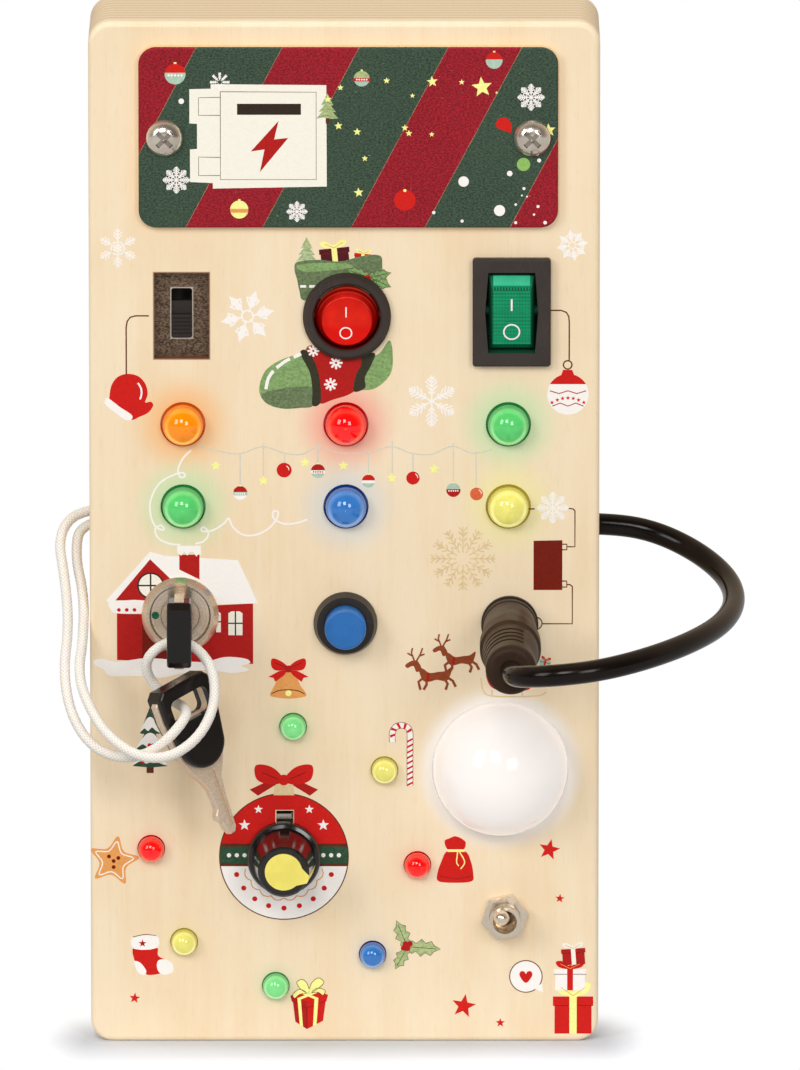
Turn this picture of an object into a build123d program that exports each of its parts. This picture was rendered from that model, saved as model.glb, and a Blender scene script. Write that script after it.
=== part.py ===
from build123d import *
from math import cos, pi, radians, sin, tan
import os

# A wooden busy board for small hands: a flat plywood box that stands on its lower edge, with real
# switches, lamps, a key lock, a plug and a knob set in its front panel.
# X runs to the right, the front faces -Y and +Z is up. The origin is the middle of the bottom face.
# All sizes are in millimetres. "out" is a distance in front of the front face, so what lies behind
# that face has a negative "out".

# ---------------------------------------------------------------- the wooden box
BOARD_W = 98.0
BOARD_H = 200.0
PANEL_T = 3.0
LAYER_T = 8.0
LAYERS = 3
BACK_T = 3.0
BOARD_T = PANEL_T + LAYERS * LAYER_T + BACK_T
CORNER_R = 4.3
EDGE_ROUND = 1.1
FRAME_WALL = 5.0
CAVITY_R = 9.0
CAVITY_TOP = 155.5
FACE_Y = -BOARD_T / 2
BACK_Y = BOARD_T / 2
INSIDE_Y = FACE_Y + PANEL_T
CAVITY_HALF = BOARD_W / 2 - FRAME_WALL

# ---------------------------------------------------------------- fits and clearances
RUNNING_FIT = 0.1
SLIP = 0.15
SCREW_FIT = 0.05
MOVING_GAP = 0.3

# ---------------------------------------------------------------- wood screws
BACK_SCREW_R = 1.3
BACK_SCREW_L = 16.0
BACK_SCREW_HEAD_R = 2.7
BACK_SCREW_INSET = 4.6
COVER_SCREW_R = 1.6
COVER_SCREW_L = 12.0
COVER_SCREW_HEAD_R = 3.5
COVER_SCREW_HEAD_T = 2.3
COVER_SCREW_SPACING = 70.4
CROSS_W = 0.9
CROSS_L = 3.9
CROSS_DEPTH = 1.3

# ---------------------------------------------------------------- battery bay
COVER_X = 0.8
COVER_Z = 177.9
COVER_W = 80.4
COVER_H = 35.2
COVER_T = 2.0
COVER_R = 3.4
COVER_EDGE = 0.5
BAY_W = 62.4
BAY_H = 32.4
TRAY_GAP = 0.3
TRAY_WALL = 1.0
TRAY_SINK = 1.0
CELL_R = 7.1
CELL_L = 49.5
CELL_NUB_R = 2.75
CELL_NUB_L = 1.0
CELL_PITCH = 14.6
CONTACT_T = 0.4
CONTACT_W = 8.0
WIRE_NOTCH_W = 6.0
WIRE_NOTCH_X = -20.0

# ---------------------------------------------------------------- slide switch
SLIDE_X = -31.2
SLIDE_Z = 142.8
SLIDE_CUT_W = 10.5
SLIDE_CUT_H = 16.7
SLIDE_PLATE_W = 12.4
SLIDE_PLATE_H = 19.6
SLIDE_PLATE_T = 0.5
SLIDE_WINDOW_W = 4.0
SLIDE_WINDOW_H = 9.7
SLIDE_BODY_W = 11.0
SLIDE_BODY_H = 18.0
SLIDE_BODY_D = 7.5
SLIDE_TRAVEL = 4.8
SLIDE_THUMB_H = 4.4
SLIDE_THUMB_OUT = -2.5
SLIDE_FOOT_W = 6.0
SLIDE_FOOT_H = 9.4
SLIDE_FOOT_T = 1.2
SLIDE_WELL_D = 4.0
SLIDE_RIBS = 5
SLIDE_RIB_W = 0.3
SLIDE_RIB_D = 0.25

# ---------------------------------------------------------------- rocker switches
ROCKER_TILT = 11.0
ROCKER_PIVOT_OUT = -1.5
ROCKER_PIN_R = 0.8
ROCKER_PIN_BITE = 0.7
ROCKER_FLANGE_T = 2.0
ROCKER_WELL_D = 8.2
ROCKER_BODY_D = 15.0
ROUND_X = 0.5
ROUND_Z = 142.8
ROUND_FLANGE_R = 8.45
ROUND_BODY_R = 7.3
ROUND_WELL_R = 6.4
ROUND_CAP_R = 6.15
ROUND_CAP_FACE_R = 4.75
ROUND_CAP_TOP = 3.9
ROUND_CAP_SHOULDER = 2.2
ROUND_CAP_FOOT = 3.2
RECT_X = 32.1
RECT_Z = 143.7
RECT_FLANGE_W = 15.0
RECT_FLANGE_H = 21.0
RECT_BODY_W = 12.9
RECT_BODY_H = 18.9
RECT_WELL_W = 10.2
RECT_WELL_END_W = 9.0
RECT_WELL_H = 15.7
RECT_CAP_FACE_W = 7.4
RECT_CAP_RIDGE = 5.6
RECT_CAP_TOP = 3.7
RECT_CAP_END = 7.45
RECT_CAP_SHOULDER = 1.0
RECT_CAP_FOOT = 3.2
RECT_CAP_RIB_PITCH = 0.8
RECT_CAP_RIB_D = 0.15
TERMINAL_W = 4.8
TERMINAL_T = 0.8
TERMINAL_L = 5.0
TERMINAL_PITCH = 5.4

# ---------------------------------------------------------------- indicator lamps
LAMP_COLUMNS = {"left": -31.0, "middle": 0.3, "right": 31.5}
LAMP_ROW_TOP = 121.6
LAMP_ROW_LOW = 105.5
BIG_LENS_R = 3.95
BIG_RIM_R = 4.7
BIG_RIM_T = 1.2
BIG_HOLE_R = 4.35
BIG_DOME_OUT = 0.6
SMALL_LENS_R = 2.5
SMALL_RIM_R = 2.9
SMALL_RIM_T = 1.0
SMALL_HOLE_R = 2.68
SMALL_DOME_OUT = 0.8
SIDE_LAMP_GAP = 3.8
LEAD_PITCH = 2.54
LEAD_T = 0.5
SMALL_LAMPS = {
    "green": [(-9.9, 62.3), (-13.3, 11.1)],
    "yellow": [(7.7, 53.7), (-31.0, 19.8)],
    "red": [(SMALL_RIM_R + SIDE_LAMP_GAP - CAVITY_HALF, 38.2), (14.05, 35.0)],
    "blue": [(5.4, 17.3)],
}

# ---------------------------------------------------------------- circuit boards
PCB_T = 1.2
PCB_SET = 8.2
SPACER_R = 2.25
UPPER_PCB_W = 76.0
UPPER_PCB_H = 25.0
LOWER_PCB_SIDE_GAP = 3.5
LOWER_PCB_LEFT = LOWER_PCB_SIDE_GAP - CAVITY_HALF
LOWER_PCB_RIGHT = 17.5
LOWER_PCB_W = LOWER_PCB_RIGHT - LOWER_PCB_LEFT
LOWER_PCB_X = (LOWER_PCB_LEFT + LOWER_PCB_RIGHT) / 2
LOWER_PCB_H = 59.0
LOWER_PCB_Z = 37.0
LOWER_PCB_GAP = 1.0
SPACER_EDGE = 4.6
UPPER_SPACER_SPREAD = 15.6

# ---------------------------------------------------------------- push button
BUTTON_X = 0.2
BUTTON_Z = 82.6
BUTTON_BEZEL_R = 6.15
BUTTON_RIM_R = 5.5
BUTTON_BEZEL_H = 2.5
BUTTON_BARREL_R = 5.0
BUTTON_BARREL_D = 14.0
BUTTON_CAP_R = 4.0
BUTTON_CAP_OUT = 6.4
BUTTON_STOP_R = 4.35
BUTTON_STOP_OUT = -2.6
BUTTON_STOP_T = 1.4
BUTTON_WELL_D = 11.0
BUTTON_TRAVEL = 2.2
BUTTON_SPRING_R = 2.9
BUTTON_SPRING_WIRE = 0.5
BUTTON_SPRING_TURNS = 3

# ---------------------------------------------------------------- key lock and keys
LOCK_X = -31.6
LOCK_Z = 84.3
LOCK_FLANGE_R = 7.4
LOCK_FLANGE_H = 1.7
LOCK_DISH_R = 5.6
LOCK_DISH_OUT = 1.0
LOCK_BARREL_R = 5.9
LOCK_BARREL_D = 19.0
ROTOR_R = 3.65
ROTOR_D = 16.5
KEYWAY_GAP = 0.1
MARK_R = 0.75
MARK_RING_R = 4.75
MARK_DEPTH = 0.2
KEY_METAL_T = 1.8
KEY_GRIP_T = 4.7
KEY_END = 5.0
KEY_GRIP_HALF = 6.35
KEY_RIM_HALF = 6.85
KEY_WAIST_HALF = 5.0
KEY_WAIST = 9.0
KEY_GRIP_TAIL = 12.6
KEY_CORNER = 1.2
KEY_EYE_W = 9.2
KEY_EYE_H = 5.0
KEY_EYE_R = 1.4
KEY_NECK = 14.8
KEY_BLADE_HALF = 2.65
KEY_TIP_HALF = 2.2
KEY_TIP = 27.0
KEY_GROOVE_W = 0.9
KEY_GROOVE_D = 0.45
KEY_EYE_OUT = 16.0

# ---------------------------------------------------------------- power socket and plug
PLUG_X = 31.8
PLUG_Z = 82.5
SOCKET_FLANGE_R = 5.5
SOCKET_FLANGE_T = 1.4
SOCKET_BARREL_R = 4.9
SOCKET_BARREL_D = 16.0
SOCKET_BORE_R = 4.2
SOCKET_BORE_D = 12.0
SOCKET_PIN_R = 1.0
SOCKET_PIN_OUT = -3.0
PLUG_NOSE_D = 9.0
PLUG_NOSE_BORE_R = 1.25
PLUG_FRONT_R = 5.25
PLUG_FLARE_R = 5.6
PLUG_COLLAR_R = 5.85
PLUG_COLLAR_OUT = 19.0
PLUG_COLLAR_END = 25.5
PLUG_RIB_R = 5.35
PLUG_RIB_START = 28.0
PLUG_RIB_PITCH = 2.7
PLUG_RIB_GROOVE = 1.1
PLUG_RIB_DEPTH = 0.7
PLUG_RIBS = 4
PLUG_CAP_R = 4.85
PLUG_CAP_ROUND = 1.4
PLUG_OUT = 44.0
PLUG_GAP = 0.3

# ---------------------------------------------------------------- domed lamp
DOME_Z = 54.0
DOME_R = 12.9
DOME_WALL = 1.2
DOME_BASE_OUT = 0.4
DOME_FLANGE_R = 13.9
DOME_FLANGE_T = 1.2
DOME_SIDE_GAP = 0.1
DOME_X = CAVITY_HALF - DOME_SIDE_GAP - DOME_FLANGE_R
DOME_HOLE_GAP = 0.25
DOME_PCB_T = 1.2
DOME_LED_R = 2.5
DOME_LED_H = 3.0

# ---------------------------------------------------------------- turning knob
KNOB_X = -11.7
KNOB_Z = 36.6
KNOB_SKIRT_R = 7.05
KNOB_SKIRT_OUT = 0.5
KNOB_SKIRT_TOP = 2.7
KNOB_BASE_R = 6.15
KNOB_TOP_R = 4.95
KNOB_TOP_OUT = 14.0
KNOB_ROUND = 0.4
POINTER_ANGLE = -17.5
POINTER_DISC_R = 3.6
POINTER_SINK = 0.6
POINTER_W = 1.5
SHAFT_R = 3.0
SHAFT_D = 8.0
SHAFT_TOP_OUT = 11.0
POT_R = 8.2
POT_D = 8.5
POT_BUSH_R = 3.5
POT_BUSH_OUT = 2.4
POT_TAB_W = 2.9
POT_TAB_T = 1.0
POT_TAB_Z = 44.3
POT_TAB_OUT = -1.0
TAB_HOLE_W = 3.3
TAB_HOLE_H = 2.3
TAB_HOLE_X = -11.5
TAB_HOLE_Z = 44.5

# ---------------------------------------------------------------- toggle switch
TOGGLE_X = 30.9
TOGGLE_Z = 24.9
TOGGLE_TURN = 20.0
TOGGLE_LEAN = 12.5
TOGGLE_BODY_W = 8.0
TOGGLE_BODY_H = 13.0
TOGGLE_BODY_D = 9.5
TOGGLE_BUSH_R = 2.95
TOGGLE_BUSH_OUT = 6.0
TOGGLE_MOUTH_R = 2.3
TOGGLE_THROAT_R = 1.35
TOGGLE_PIVOT_OUT = 1.5
TOGGLE_BALL_R = 1.25
TOGGLE_NECK_R = 0.85
TOGGLE_TIP_R = 1.43
TOGGLE_LEVER_L = 10.6

# ---------------------------------------------------------------- hexagon nuts, across flats
POT_NUT_AF = 9.0
POT_NUT_T = 1.8
TOGGLE_NUT_AF = 8.0
TOGGLE_NUT_T = 2.0
BARREL_NUT_T = 2.5
BUTTON_NUT_AF = 13.0
LOCK_NUT_AF = 15.0
SOCKET_NUT_AF = 12.5
THREAD_GAP = 0.05

# ---------------------------------------------------------------- cords
CABLE_D = 4.2
CABLE_HOLE_R = 2.35
CABLE_Y = 0.5
CABLE_Z = 99.0
CABLE_STOP_R = 4.0
CABLE_STOP_L = 4.0
STRING_D = 2.0
STRING_HOLE_R = 2.45
STRING_Z = 100.9
KNOT_R = 3.3
KNOT_L = 5.0
BEND_SHARE = 0.45
CABLE_ROUTE = [
    (PLUG_X, FACE_Y - PLUG_OUT, PLUG_Z),
    (PLUG_X, -64.8, PLUG_Z),
    (35.2, -70.0, 82.2),
    (41.6, -72.4, 82.2),
    (49.6, -71.0, 83.0),
    (58.2, -65.4, 84.2),
    (66.6, -55.0, 85.6),
    (73.0, -41.0, 87.0),
    (75.8, -26.0, 88.8),
    (74.2, -13.8, 91.2),
    (68.2, -4.8, 94.5),
    (60.2, -0.4, 97.6),
    (52.0, CABLE_Y, CABLE_Z),
    (CAVITY_HALF, CABLE_Y, CABLE_Z),
]
STRING_ROUTE = [
    (-CAVITY_HALF, 0.0, 102.1),
    (-51.2, 0.0, 102.1),
    (-56.2, -3.8, 97.8),
    (-55.4, -10.0, 90.2),
    (-54.4, -16.6, 82.4),
    (-54.2, -22.6, 74.8),
    (-53.0, -28.2, 67.4),
    (-48.6, -32.4, 62.0),
    (-42.6, -35.4, 60.2),
    (-37.4, -37.8, 61.8),
    (-33.3, -39.6, 65.4),
    (-30.2, -36.8, 68.8),
    (-30.4, -32.0, 69.6),
    (-32.6, -28.0, 69.8),
    (-36.2, -26.8, 72.4),
    (-38.4, -28.8, 76.8),
    (-36.8, -30.8, 81.2),
    (-32.0, -31.2, 83.0),
    (-27.4, -31.2, 81.2),
    (-24.8, -32.4, 76.2),
    (-24.8, -35.0, 70.4),
    (-27.8, -38.4, 65.0),
    (-33.4, -41.0, 61.6),
    (-39.4, -41.0, 61.8),
    (-44.6, -37.4, 65.0),
    (-48.4, -31.4, 69.4),
    (-50.8, -24.4, 74.4),
    (-51.4, -16.6, 80.2),
    (-51.6, -9.8, 87.2),
    (-52.4, -4.2, 93.6),
    (-51.0, 0.0, 99.7),
    (-CAVITY_HALF, 0.0, 99.7),
]
SPARE_EYE = (-30.7, -31.0, 69.8)
SPARE_ACROSS = (0.7325, 0.614, 0.2895)
SPARE_TOWARDS_END = (-0.32, -0.064, 0.945)


# ---------------------------------------------------------------- planes and small helpers
def on_face(x, z, out=0.0, turn=0.0):
    """A plane parallel to the front, looking out of it, with its own y pointing up or, turned
    by some degrees, to the left of that."""
    turned = radians(turn)
    across = (cos(turned), 0, sin(turned))
    return Plane(origin=(x, FACE_Y - out, z), x_dir=across, z_dir=(0, -1, 0))


def turning(x, z):
    """A plane through a piece's centre line: its own x is the radius and its own y points out."""
    return Plane(origin=(x, FACE_Y, z), x_dir=(1, 0, 0), z_dir=(0, 0, -1))


def centre_line(x, z):
    return Axis((x, FACE_Y, z), (0, -1, 0))


def layer_plane(y):
    """A plane that a sheet of the box is drawn on, looking to the front."""
    return Plane(origin=(0, y, BOARD_H / 2), x_dir=(1, 0, 0), z_dir=(0, -1, 0))


def tilted(x, z, out, degrees):
    """The side view of a rocker whose upper end is tipped outwards: x along it, y out of it."""
    lean = radians(degrees)
    return Plane(origin=(x, FACE_Y - out, z), x_dir=(0, -sin(lean), cos(lean)), z_dir=(1, 0, 0))


def save(node, label):
    node.part.label = label
    export_step(node.part, f"parts/{label}.step")


def outline(*points):
    """A closed straight-sided face from its corners, inside a sketch."""
    return Polygon(*points, align=None)


def bend_radii(route):
    """The arc at each corner of a cord's route, as large as the two runs beside it allow."""
    points = [Vector(*p) for p in route]
    radii = []
    for before, corner, after in zip(points, points[1:], points[2:]):
        first = corner - before
        second = after - corner
        half_turn = radians(first.get_angle(second)) / 2
        radii.append(BEND_SHARE * min(first.length, second.length) / tan(half_turn))
    return radii


def report_cord(name, cord, wire, route, diameter):
    radii = bend_radii(route)
    length = wire.length
    print(f"{name}: length {length:.1f}, radii {[round(r, 1) for r in radii]}")
    section = pi * diameter**2 / 4
    print(f"{name}: volume {cord.part.volume:.1f}, section times length {section * length:.1f}")


os.makedirs("parts", exist_ok=True)

POT_NUT_CORNER_R = POT_NUT_AF / 2 / cos(pi / 6)
SCREW_SPOTS = [
    (side * (BOARD_W / 2 - BACK_SCREW_INSET), end)
    for side in (-1, 1)
    for end in (BACK_SCREW_INSET, BOARD_H - BACK_SCREW_INSET)
]
COVER_SCREW_SPOTS = [(COVER_X + side * COVER_SCREW_SPACING / 2, COVER_Z) for side in (-1, 1)]
BIG_SPOTS = [(x, z) for x in LAMP_COLUMNS.values() for z in (LAMP_ROW_TOP, LAMP_ROW_LOW)]
SMALL_SPOTS = [spot for spots in SMALL_LAMPS.values() for spot in spots]

# ---------------------------------------------------------------- front panel
with BuildPart() as front_panel:
    with BuildSketch(layer_plane(FACE_Y)):
        RectangleRounded(BOARD_W, BOARD_H, CORNER_R)
    extrude(amount=-PANEL_T)
    fillet(front_panel.faces().sort_by(Axis.Y)[0].outer_wire().edges(), EDGE_ROUND)
    for bay_x, bay_z, width, height in [
        (COVER_X, COVER_Z, BAY_W, BAY_H),
        (SLIDE_X, SLIDE_Z, SLIDE_CUT_W, SLIDE_CUT_H),
        (RECT_X, RECT_Z, RECT_BODY_W + 2 * SLIP, RECT_BODY_H + 2 * SLIP),
        (TAB_HOLE_X, TAB_HOLE_Z, TAB_HOLE_W, TAB_HOLE_H),
    ]:
        with BuildSketch(on_face(bay_x, bay_z)):
            Rectangle(width, height)
        extrude(amount=-PANEL_T, mode=Mode.SUBTRACT)
    round_holes = [
        (ROUND_X, ROUND_Z, ROUND_BODY_R + SLIP),
        (BUTTON_X, BUTTON_Z, BUTTON_BARREL_R + SLIP),
        (LOCK_X, LOCK_Z, LOCK_BARREL_R + SLIP),
        (PLUG_X, PLUG_Z, SOCKET_BARREL_R + SLIP),
        (DOME_X, DOME_Z, DOME_R + DOME_HOLE_GAP),
        (KNOB_X, KNOB_Z, POT_BUSH_R + SLIP),
        (TOGGLE_X, TOGGLE_Z, TOGGLE_BUSH_R + SLIP),
    ]
    round_holes += [(x, z, BIG_HOLE_R) for x, z in BIG_SPOTS]
    round_holes += [(x, z, SMALL_HOLE_R) for x, z in SMALL_SPOTS]
    round_holes += [(x, z, COVER_SCREW_R + SCREW_FIT) for x, z in COVER_SCREW_SPOTS]
    for hole_x, hole_z, hole_r in round_holes:
        with BuildSketch(on_face(hole_x, hole_z)):
            Circle(hole_r)
        extrude(amount=-PANEL_T, mode=Mode.SUBTRACT)
save(front_panel, "front_panel")


# ---------------------------------------------------------------- frame of three plywood layers
def frame_layer(index, has_bay, has_notch, side_holes):
    """One ring of the frame, counted from the front, with its share of the bay and the holes."""
    front_y = INSIDE_Y + index * LAYER_T
    with BuildPart() as layer:
        with BuildSketch(layer_plane(front_y)) as ring:
            RectangleRounded(BOARD_W, BOARD_H, CORNER_R)
            with Locations((0, (FRAME_WALL + CAVITY_TOP - BOARD_H) / 2)):
                cavity_h = CAVITY_TOP - FRAME_WALL
                RectangleRounded(2 * CAVITY_HALF, cavity_h, CAVITY_R, mode=Mode.SUBTRACT)
            if has_bay:
                with Locations((COVER_X, COVER_Z - BOARD_H / 2)):
                    Rectangle(BAY_W, BAY_H, mode=Mode.SUBTRACT)
            if has_notch:
                notch_h = COVER_Z - CAVITY_TOP
                with Locations((WIRE_NOTCH_X, CAVITY_TOP + notch_h / 2 - BOARD_H / 2)):
                    Rectangle(WIRE_NOTCH_W, notch_h, mode=Mode.SUBTRACT)
        extrude(amount=-LAYER_T)
        for x, z in SCREW_SPOTS:
            depth = max(0.0, BACK_SCREW_L - BACK_T - (LAYERS - 1 - index) * LAYER_T)
            if depth > 0:
                with BuildSketch(Plane(origin=(x, front_y + LAYER_T, z), z_dir=(0, -1, 0))):
                    Circle(BACK_SCREW_R + SCREW_FIT)
                extrude(amount=min(depth, LAYER_T), mode=Mode.SUBTRACT)
        for x, z in COVER_SCREW_SPOTS:
            depth = COVER_SCREW_L - COVER_T - PANEL_T - index * LAYER_T
            if depth > 0:
                with BuildSketch(Plane(origin=(x, front_y, z), z_dir=(0, 1, 0))):
                    Circle(COVER_SCREW_R + SCREW_FIT)
                extrude(amount=min(depth, LAYER_T), mode=Mode.SUBTRACT)
        for side, y, z, radius in side_holes:
            with BuildSketch(Plane(origin=(side * CAVITY_HALF, y, z), z_dir=(side, 0, 0))):
                Circle(radius)
            extrude(amount=FRAME_WALL, mode=Mode.SUBTRACT)
    return layer


frame_front_layer = frame_layer(0, True, False, [])
frame_middle_layer = frame_layer(
    1,
    True,
    True,
    [(1, CABLE_Y, CABLE_Z, CABLE_HOLE_R), (-1, 0.0, STRING_Z, STRING_HOLE_R)],
)
frame_back_layer = frame_layer(2, False, False, [])
save(frame_front_layer, "frame_front_layer")
save(frame_middle_layer, "frame_middle_layer")
save(frame_back_layer, "frame_back_layer")

# ---------------------------------------------------------------- back panel and its screws
with BuildPart() as back_panel:
    with BuildSketch(layer_plane(BACK_Y)):
        RectangleRounded(BOARD_W, BOARD_H, CORNER_R)
    extrude(amount=BACK_T)
    fillet(back_panel.faces().sort_by(Axis.Y)[-1].outer_wire().edges(), EDGE_ROUND)
    for x, z in SCREW_SPOTS:
        with Locations(Plane(origin=(x, BACK_Y, z), z_dir=(0, 1, 0))):
            CounterSinkHole(BACK_SCREW_R + SCREW_FIT, BACK_SCREW_HEAD_R + SCREW_FIT, depth=BACK_T)
save(back_panel, "back_panel")

with BuildPart() as back_panel_screws:
    for x, z in SCREW_SPOTS:
        with BuildSketch(Plane(origin=(x, BACK_Y, z), x_dir=(1, 0, 0), z_dir=(0, 0, 1))):
            # own y runs into the wood, own x is the radius
            outline(
                (0, 0),
                (BACK_SCREW_HEAD_R, 0),
                (BACK_SCREW_R, -(BACK_SCREW_HEAD_R - BACK_SCREW_R)),
                (BACK_SCREW_R, -BACK_SCREW_L + 2 * BACK_SCREW_R),
                (0, -BACK_SCREW_L),
            )
        revolve(axis=Axis((x, BACK_Y, z), (0, 1, 0)))
        with BuildSketch(Plane(origin=(x, BACK_Y, z), z_dir=(0, 1, 0))):
            Rectangle(BACK_SCREW_HEAD_R, CROSS_W)
            Rectangle(CROSS_W, BACK_SCREW_HEAD_R)
        extrude(amount=-CROSS_W, mode=Mode.SUBTRACT)
save(back_panel_screws, "back_panel_screws")

# ---------------------------------------------------------------- battery cover and its screws
with BuildPart() as battery_cover:
    with BuildSketch(on_face(COVER_X, COVER_Z)):
        RectangleRounded(COVER_W, COVER_H, COVER_R)
        with Locations((-COVER_SCREW_SPACING / 2, 0), (COVER_SCREW_SPACING / 2, 0)):
            Circle(COVER_SCREW_R + MOVING_GAP, mode=Mode.SUBTRACT)
    extrude(amount=COVER_T)
    fillet(battery_cover.faces().sort_by(Axis.Y)[0].outer_wire().edges(), COVER_EDGE)
save(battery_cover, "battery_cover")

with BuildPart() as battery_cover_screws:
    for x, z in COVER_SCREW_SPOTS:
        with BuildSketch(turning(x, z)):
            with BuildLine():
                head_top = (0, COVER_T + COVER_SCREW_HEAD_T)
                Polyline(
                    head_top,
                    (0, COVER_T - COVER_SCREW_L),
                    (COVER_SCREW_R, COVER_T - COVER_SCREW_L + 2 * COVER_SCREW_R),
                    (COVER_SCREW_R, COVER_T),
                    (COVER_SCREW_HEAD_R, COVER_T),
                    (COVER_SCREW_HEAD_R, COVER_T + COVER_SCREW_HEAD_T / 3),
                )
                ThreePointArc(
                    (COVER_SCREW_HEAD_R, COVER_T + COVER_SCREW_HEAD_T / 3),
                    (COVER_SCREW_HEAD_R * 0.72, COVER_T + COVER_SCREW_HEAD_T * 0.84),
                    head_top,
                )
            make_face()
        revolve(axis=centre_line(x, z))
        with BuildSketch(on_face(x, z, COVER_T + COVER_SCREW_HEAD_T)):
            Rectangle(CROSS_L, CROSS_W, rotation=45)
            Rectangle(CROSS_W, CROSS_L, rotation=45)
        extrude(amount=-CROSS_DEPTH, mode=Mode.SUBTRACT)
save(battery_cover_screws, "battery_cover_screws")

# ---------------------------------------------------------------- battery tray, cells, contacts
TRAY_W = BAY_W - 2 * TRAY_GAP
TRAY_H = BAY_H - 2 * TRAY_GAP
TRAY_D = PANEL_T + 2 * LAYER_T - TRAY_SINK
CELL_OUT = -(TRAY_SINK + TRAY_D - TRAY_WALL - CELL_R - SLIP)
with BuildPart() as battery_tray:
    with BuildSketch(on_face(COVER_X, COVER_Z, -TRAY_SINK)):
        Rectangle(TRAY_W, TRAY_H)
    extrude(amount=-TRAY_D)
    with BuildSketch(on_face(COVER_X, COVER_Z, -TRAY_SINK)):
        Rectangle(TRAY_W - 2 * TRAY_WALL, TRAY_H - 2 * TRAY_WALL)
    extrude(amount=-TRAY_D + TRAY_WALL, mode=Mode.SUBTRACT)
save(battery_tray, "battery_tray")

with BuildPart() as batteries:
    for way in (-1, 1):
        cell_z = COVER_Z + way * CELL_PITCH / 2
        start_x = COVER_X - way * (CELL_L + CELL_NUB_L) / 2
        cell_plane = Plane(origin=(start_x, FACE_Y - CELL_OUT, cell_z), z_dir=(way, 0, 0))
        with BuildSketch(cell_plane):
            Circle(CELL_R)
        extrude(amount=CELL_L)
        with BuildSketch(cell_plane.offset(CELL_L)):
            Circle(CELL_NUB_R)
        extrude(amount=CELL_NUB_L)
save(batteries, "batteries")

with BuildPart() as battery_contacts:
    inner_half = TRAY_W / 2 - TRAY_WALL
    reach = inner_half - (CELL_L + CELL_NUB_L) / 2
    for way in (-1, 1):
        cell_z = COVER_Z + way * CELL_PITCH / 2
        for end in (-1, 1):
            wall_x = COVER_X + end * inner_half
            leaf = Plane(
                origin=(wall_x, FACE_Y - CELL_OUT, cell_z - CONTACT_W / 2),
                x_dir=(-end, 0, 0),
                z_dir=(0, 0, 1),
            )
            with BuildSketch(leaf):
                outline(
                    (0, -CELL_R / 2),
                    (CONTACT_T, -CELL_R / 2),
                    (reach, -CONTACT_T),
                    (reach, CONTACT_T),
                    (CONTACT_T, CELL_R / 2),
                    (0, CELL_R / 2),
                    (0, CELL_R / 2 - CONTACT_T),
                    (reach - CONTACT_T, 0),
                    (0, -CELL_R / 2 + CONTACT_T),
                )
            extrude(amount=CONTACT_W)
save(battery_contacts, "battery_contacts")

# ---------------------------------------------------------------- slide switch
with BuildPart() as slide_switch_plate:
    with BuildSketch(on_face(SLIDE_X, SLIDE_Z, -PANEL_T)):
        Rectangle(SLIDE_PLATE_W, SLIDE_PLATE_H)
        RectangleRounded(SLIDE_WINDOW_W, SLIDE_WINDOW_H, 0.5, mode=Mode.SUBTRACT)
    extrude(amount=-SLIDE_PLATE_T)
save(slide_switch_plate, "slide_switch_plate")

SLIDE_BACK_OUT = -PANEL_T - SLIDE_PLATE_T
with BuildPart() as slide_switch_body:
    with BuildSketch(on_face(SLIDE_X, SLIDE_Z, SLIDE_BACK_OUT)):
        Rectangle(SLIDE_BODY_W, SLIDE_BODY_H)
    extrude(amount=-SLIDE_BODY_D)
    with BuildSketch(on_face(SLIDE_X, SLIDE_Z, SLIDE_BACK_OUT)):
        Rectangle(SLIDE_FOOT_W + 2 * RUNNING_FIT, SLIDE_FOOT_H + SLIDE_TRAVEL + 2 * RUNNING_FIT)
    extrude(amount=-SLIDE_WELL_D, mode=Mode.SUBTRACT)
    with BuildSketch(on_face(SLIDE_X, SLIDE_Z, SLIDE_BACK_OUT - SLIDE_BODY_D)):
        with GridLocations(0, TERMINAL_PITCH, 1, 3):
            Rectangle(TERMINAL_T, TERMINAL_T * 2)
    extrude(amount=-TERMINAL_L)
save(slide_switch_body, "slide_switch_body")

with BuildPart() as slide_switch_knob:
    foot_out = SLIDE_BACK_OUT - RUNNING_FIT
    with BuildSketch(on_face(SLIDE_X, SLIDE_Z - SLIDE_TRAVEL / 2, foot_out)):
        Rectangle(SLIDE_FOOT_W, SLIDE_FOOT_H)
    extrude(amount=-SLIDE_FOOT_T)
    with BuildSketch(on_face(SLIDE_X, SLIDE_Z - SLIDE_TRAVEL / 2, foot_out)):
        Rectangle(SLIDE_WINDOW_W - 2 * RUNNING_FIT, SLIDE_THUMB_H)
    extrude(amount=SLIDE_THUMB_OUT - foot_out)
    rib_pitch = SLIDE_THUMB_H / (SLIDE_RIBS + 1)
    with BuildSketch(on_face(SLIDE_X, SLIDE_Z - SLIDE_TRAVEL / 2, SLIDE_THUMB_OUT)):
        with GridLocations(0, rib_pitch, 1, SLIDE_RIBS):
            Rectangle(SLIDE_WINDOW_W, SLIDE_RIB_W)
    extrude(amount=-SLIDE_RIB_D, mode=Mode.SUBTRACT)
save(slide_switch_knob, "slide_switch_knob")

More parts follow.
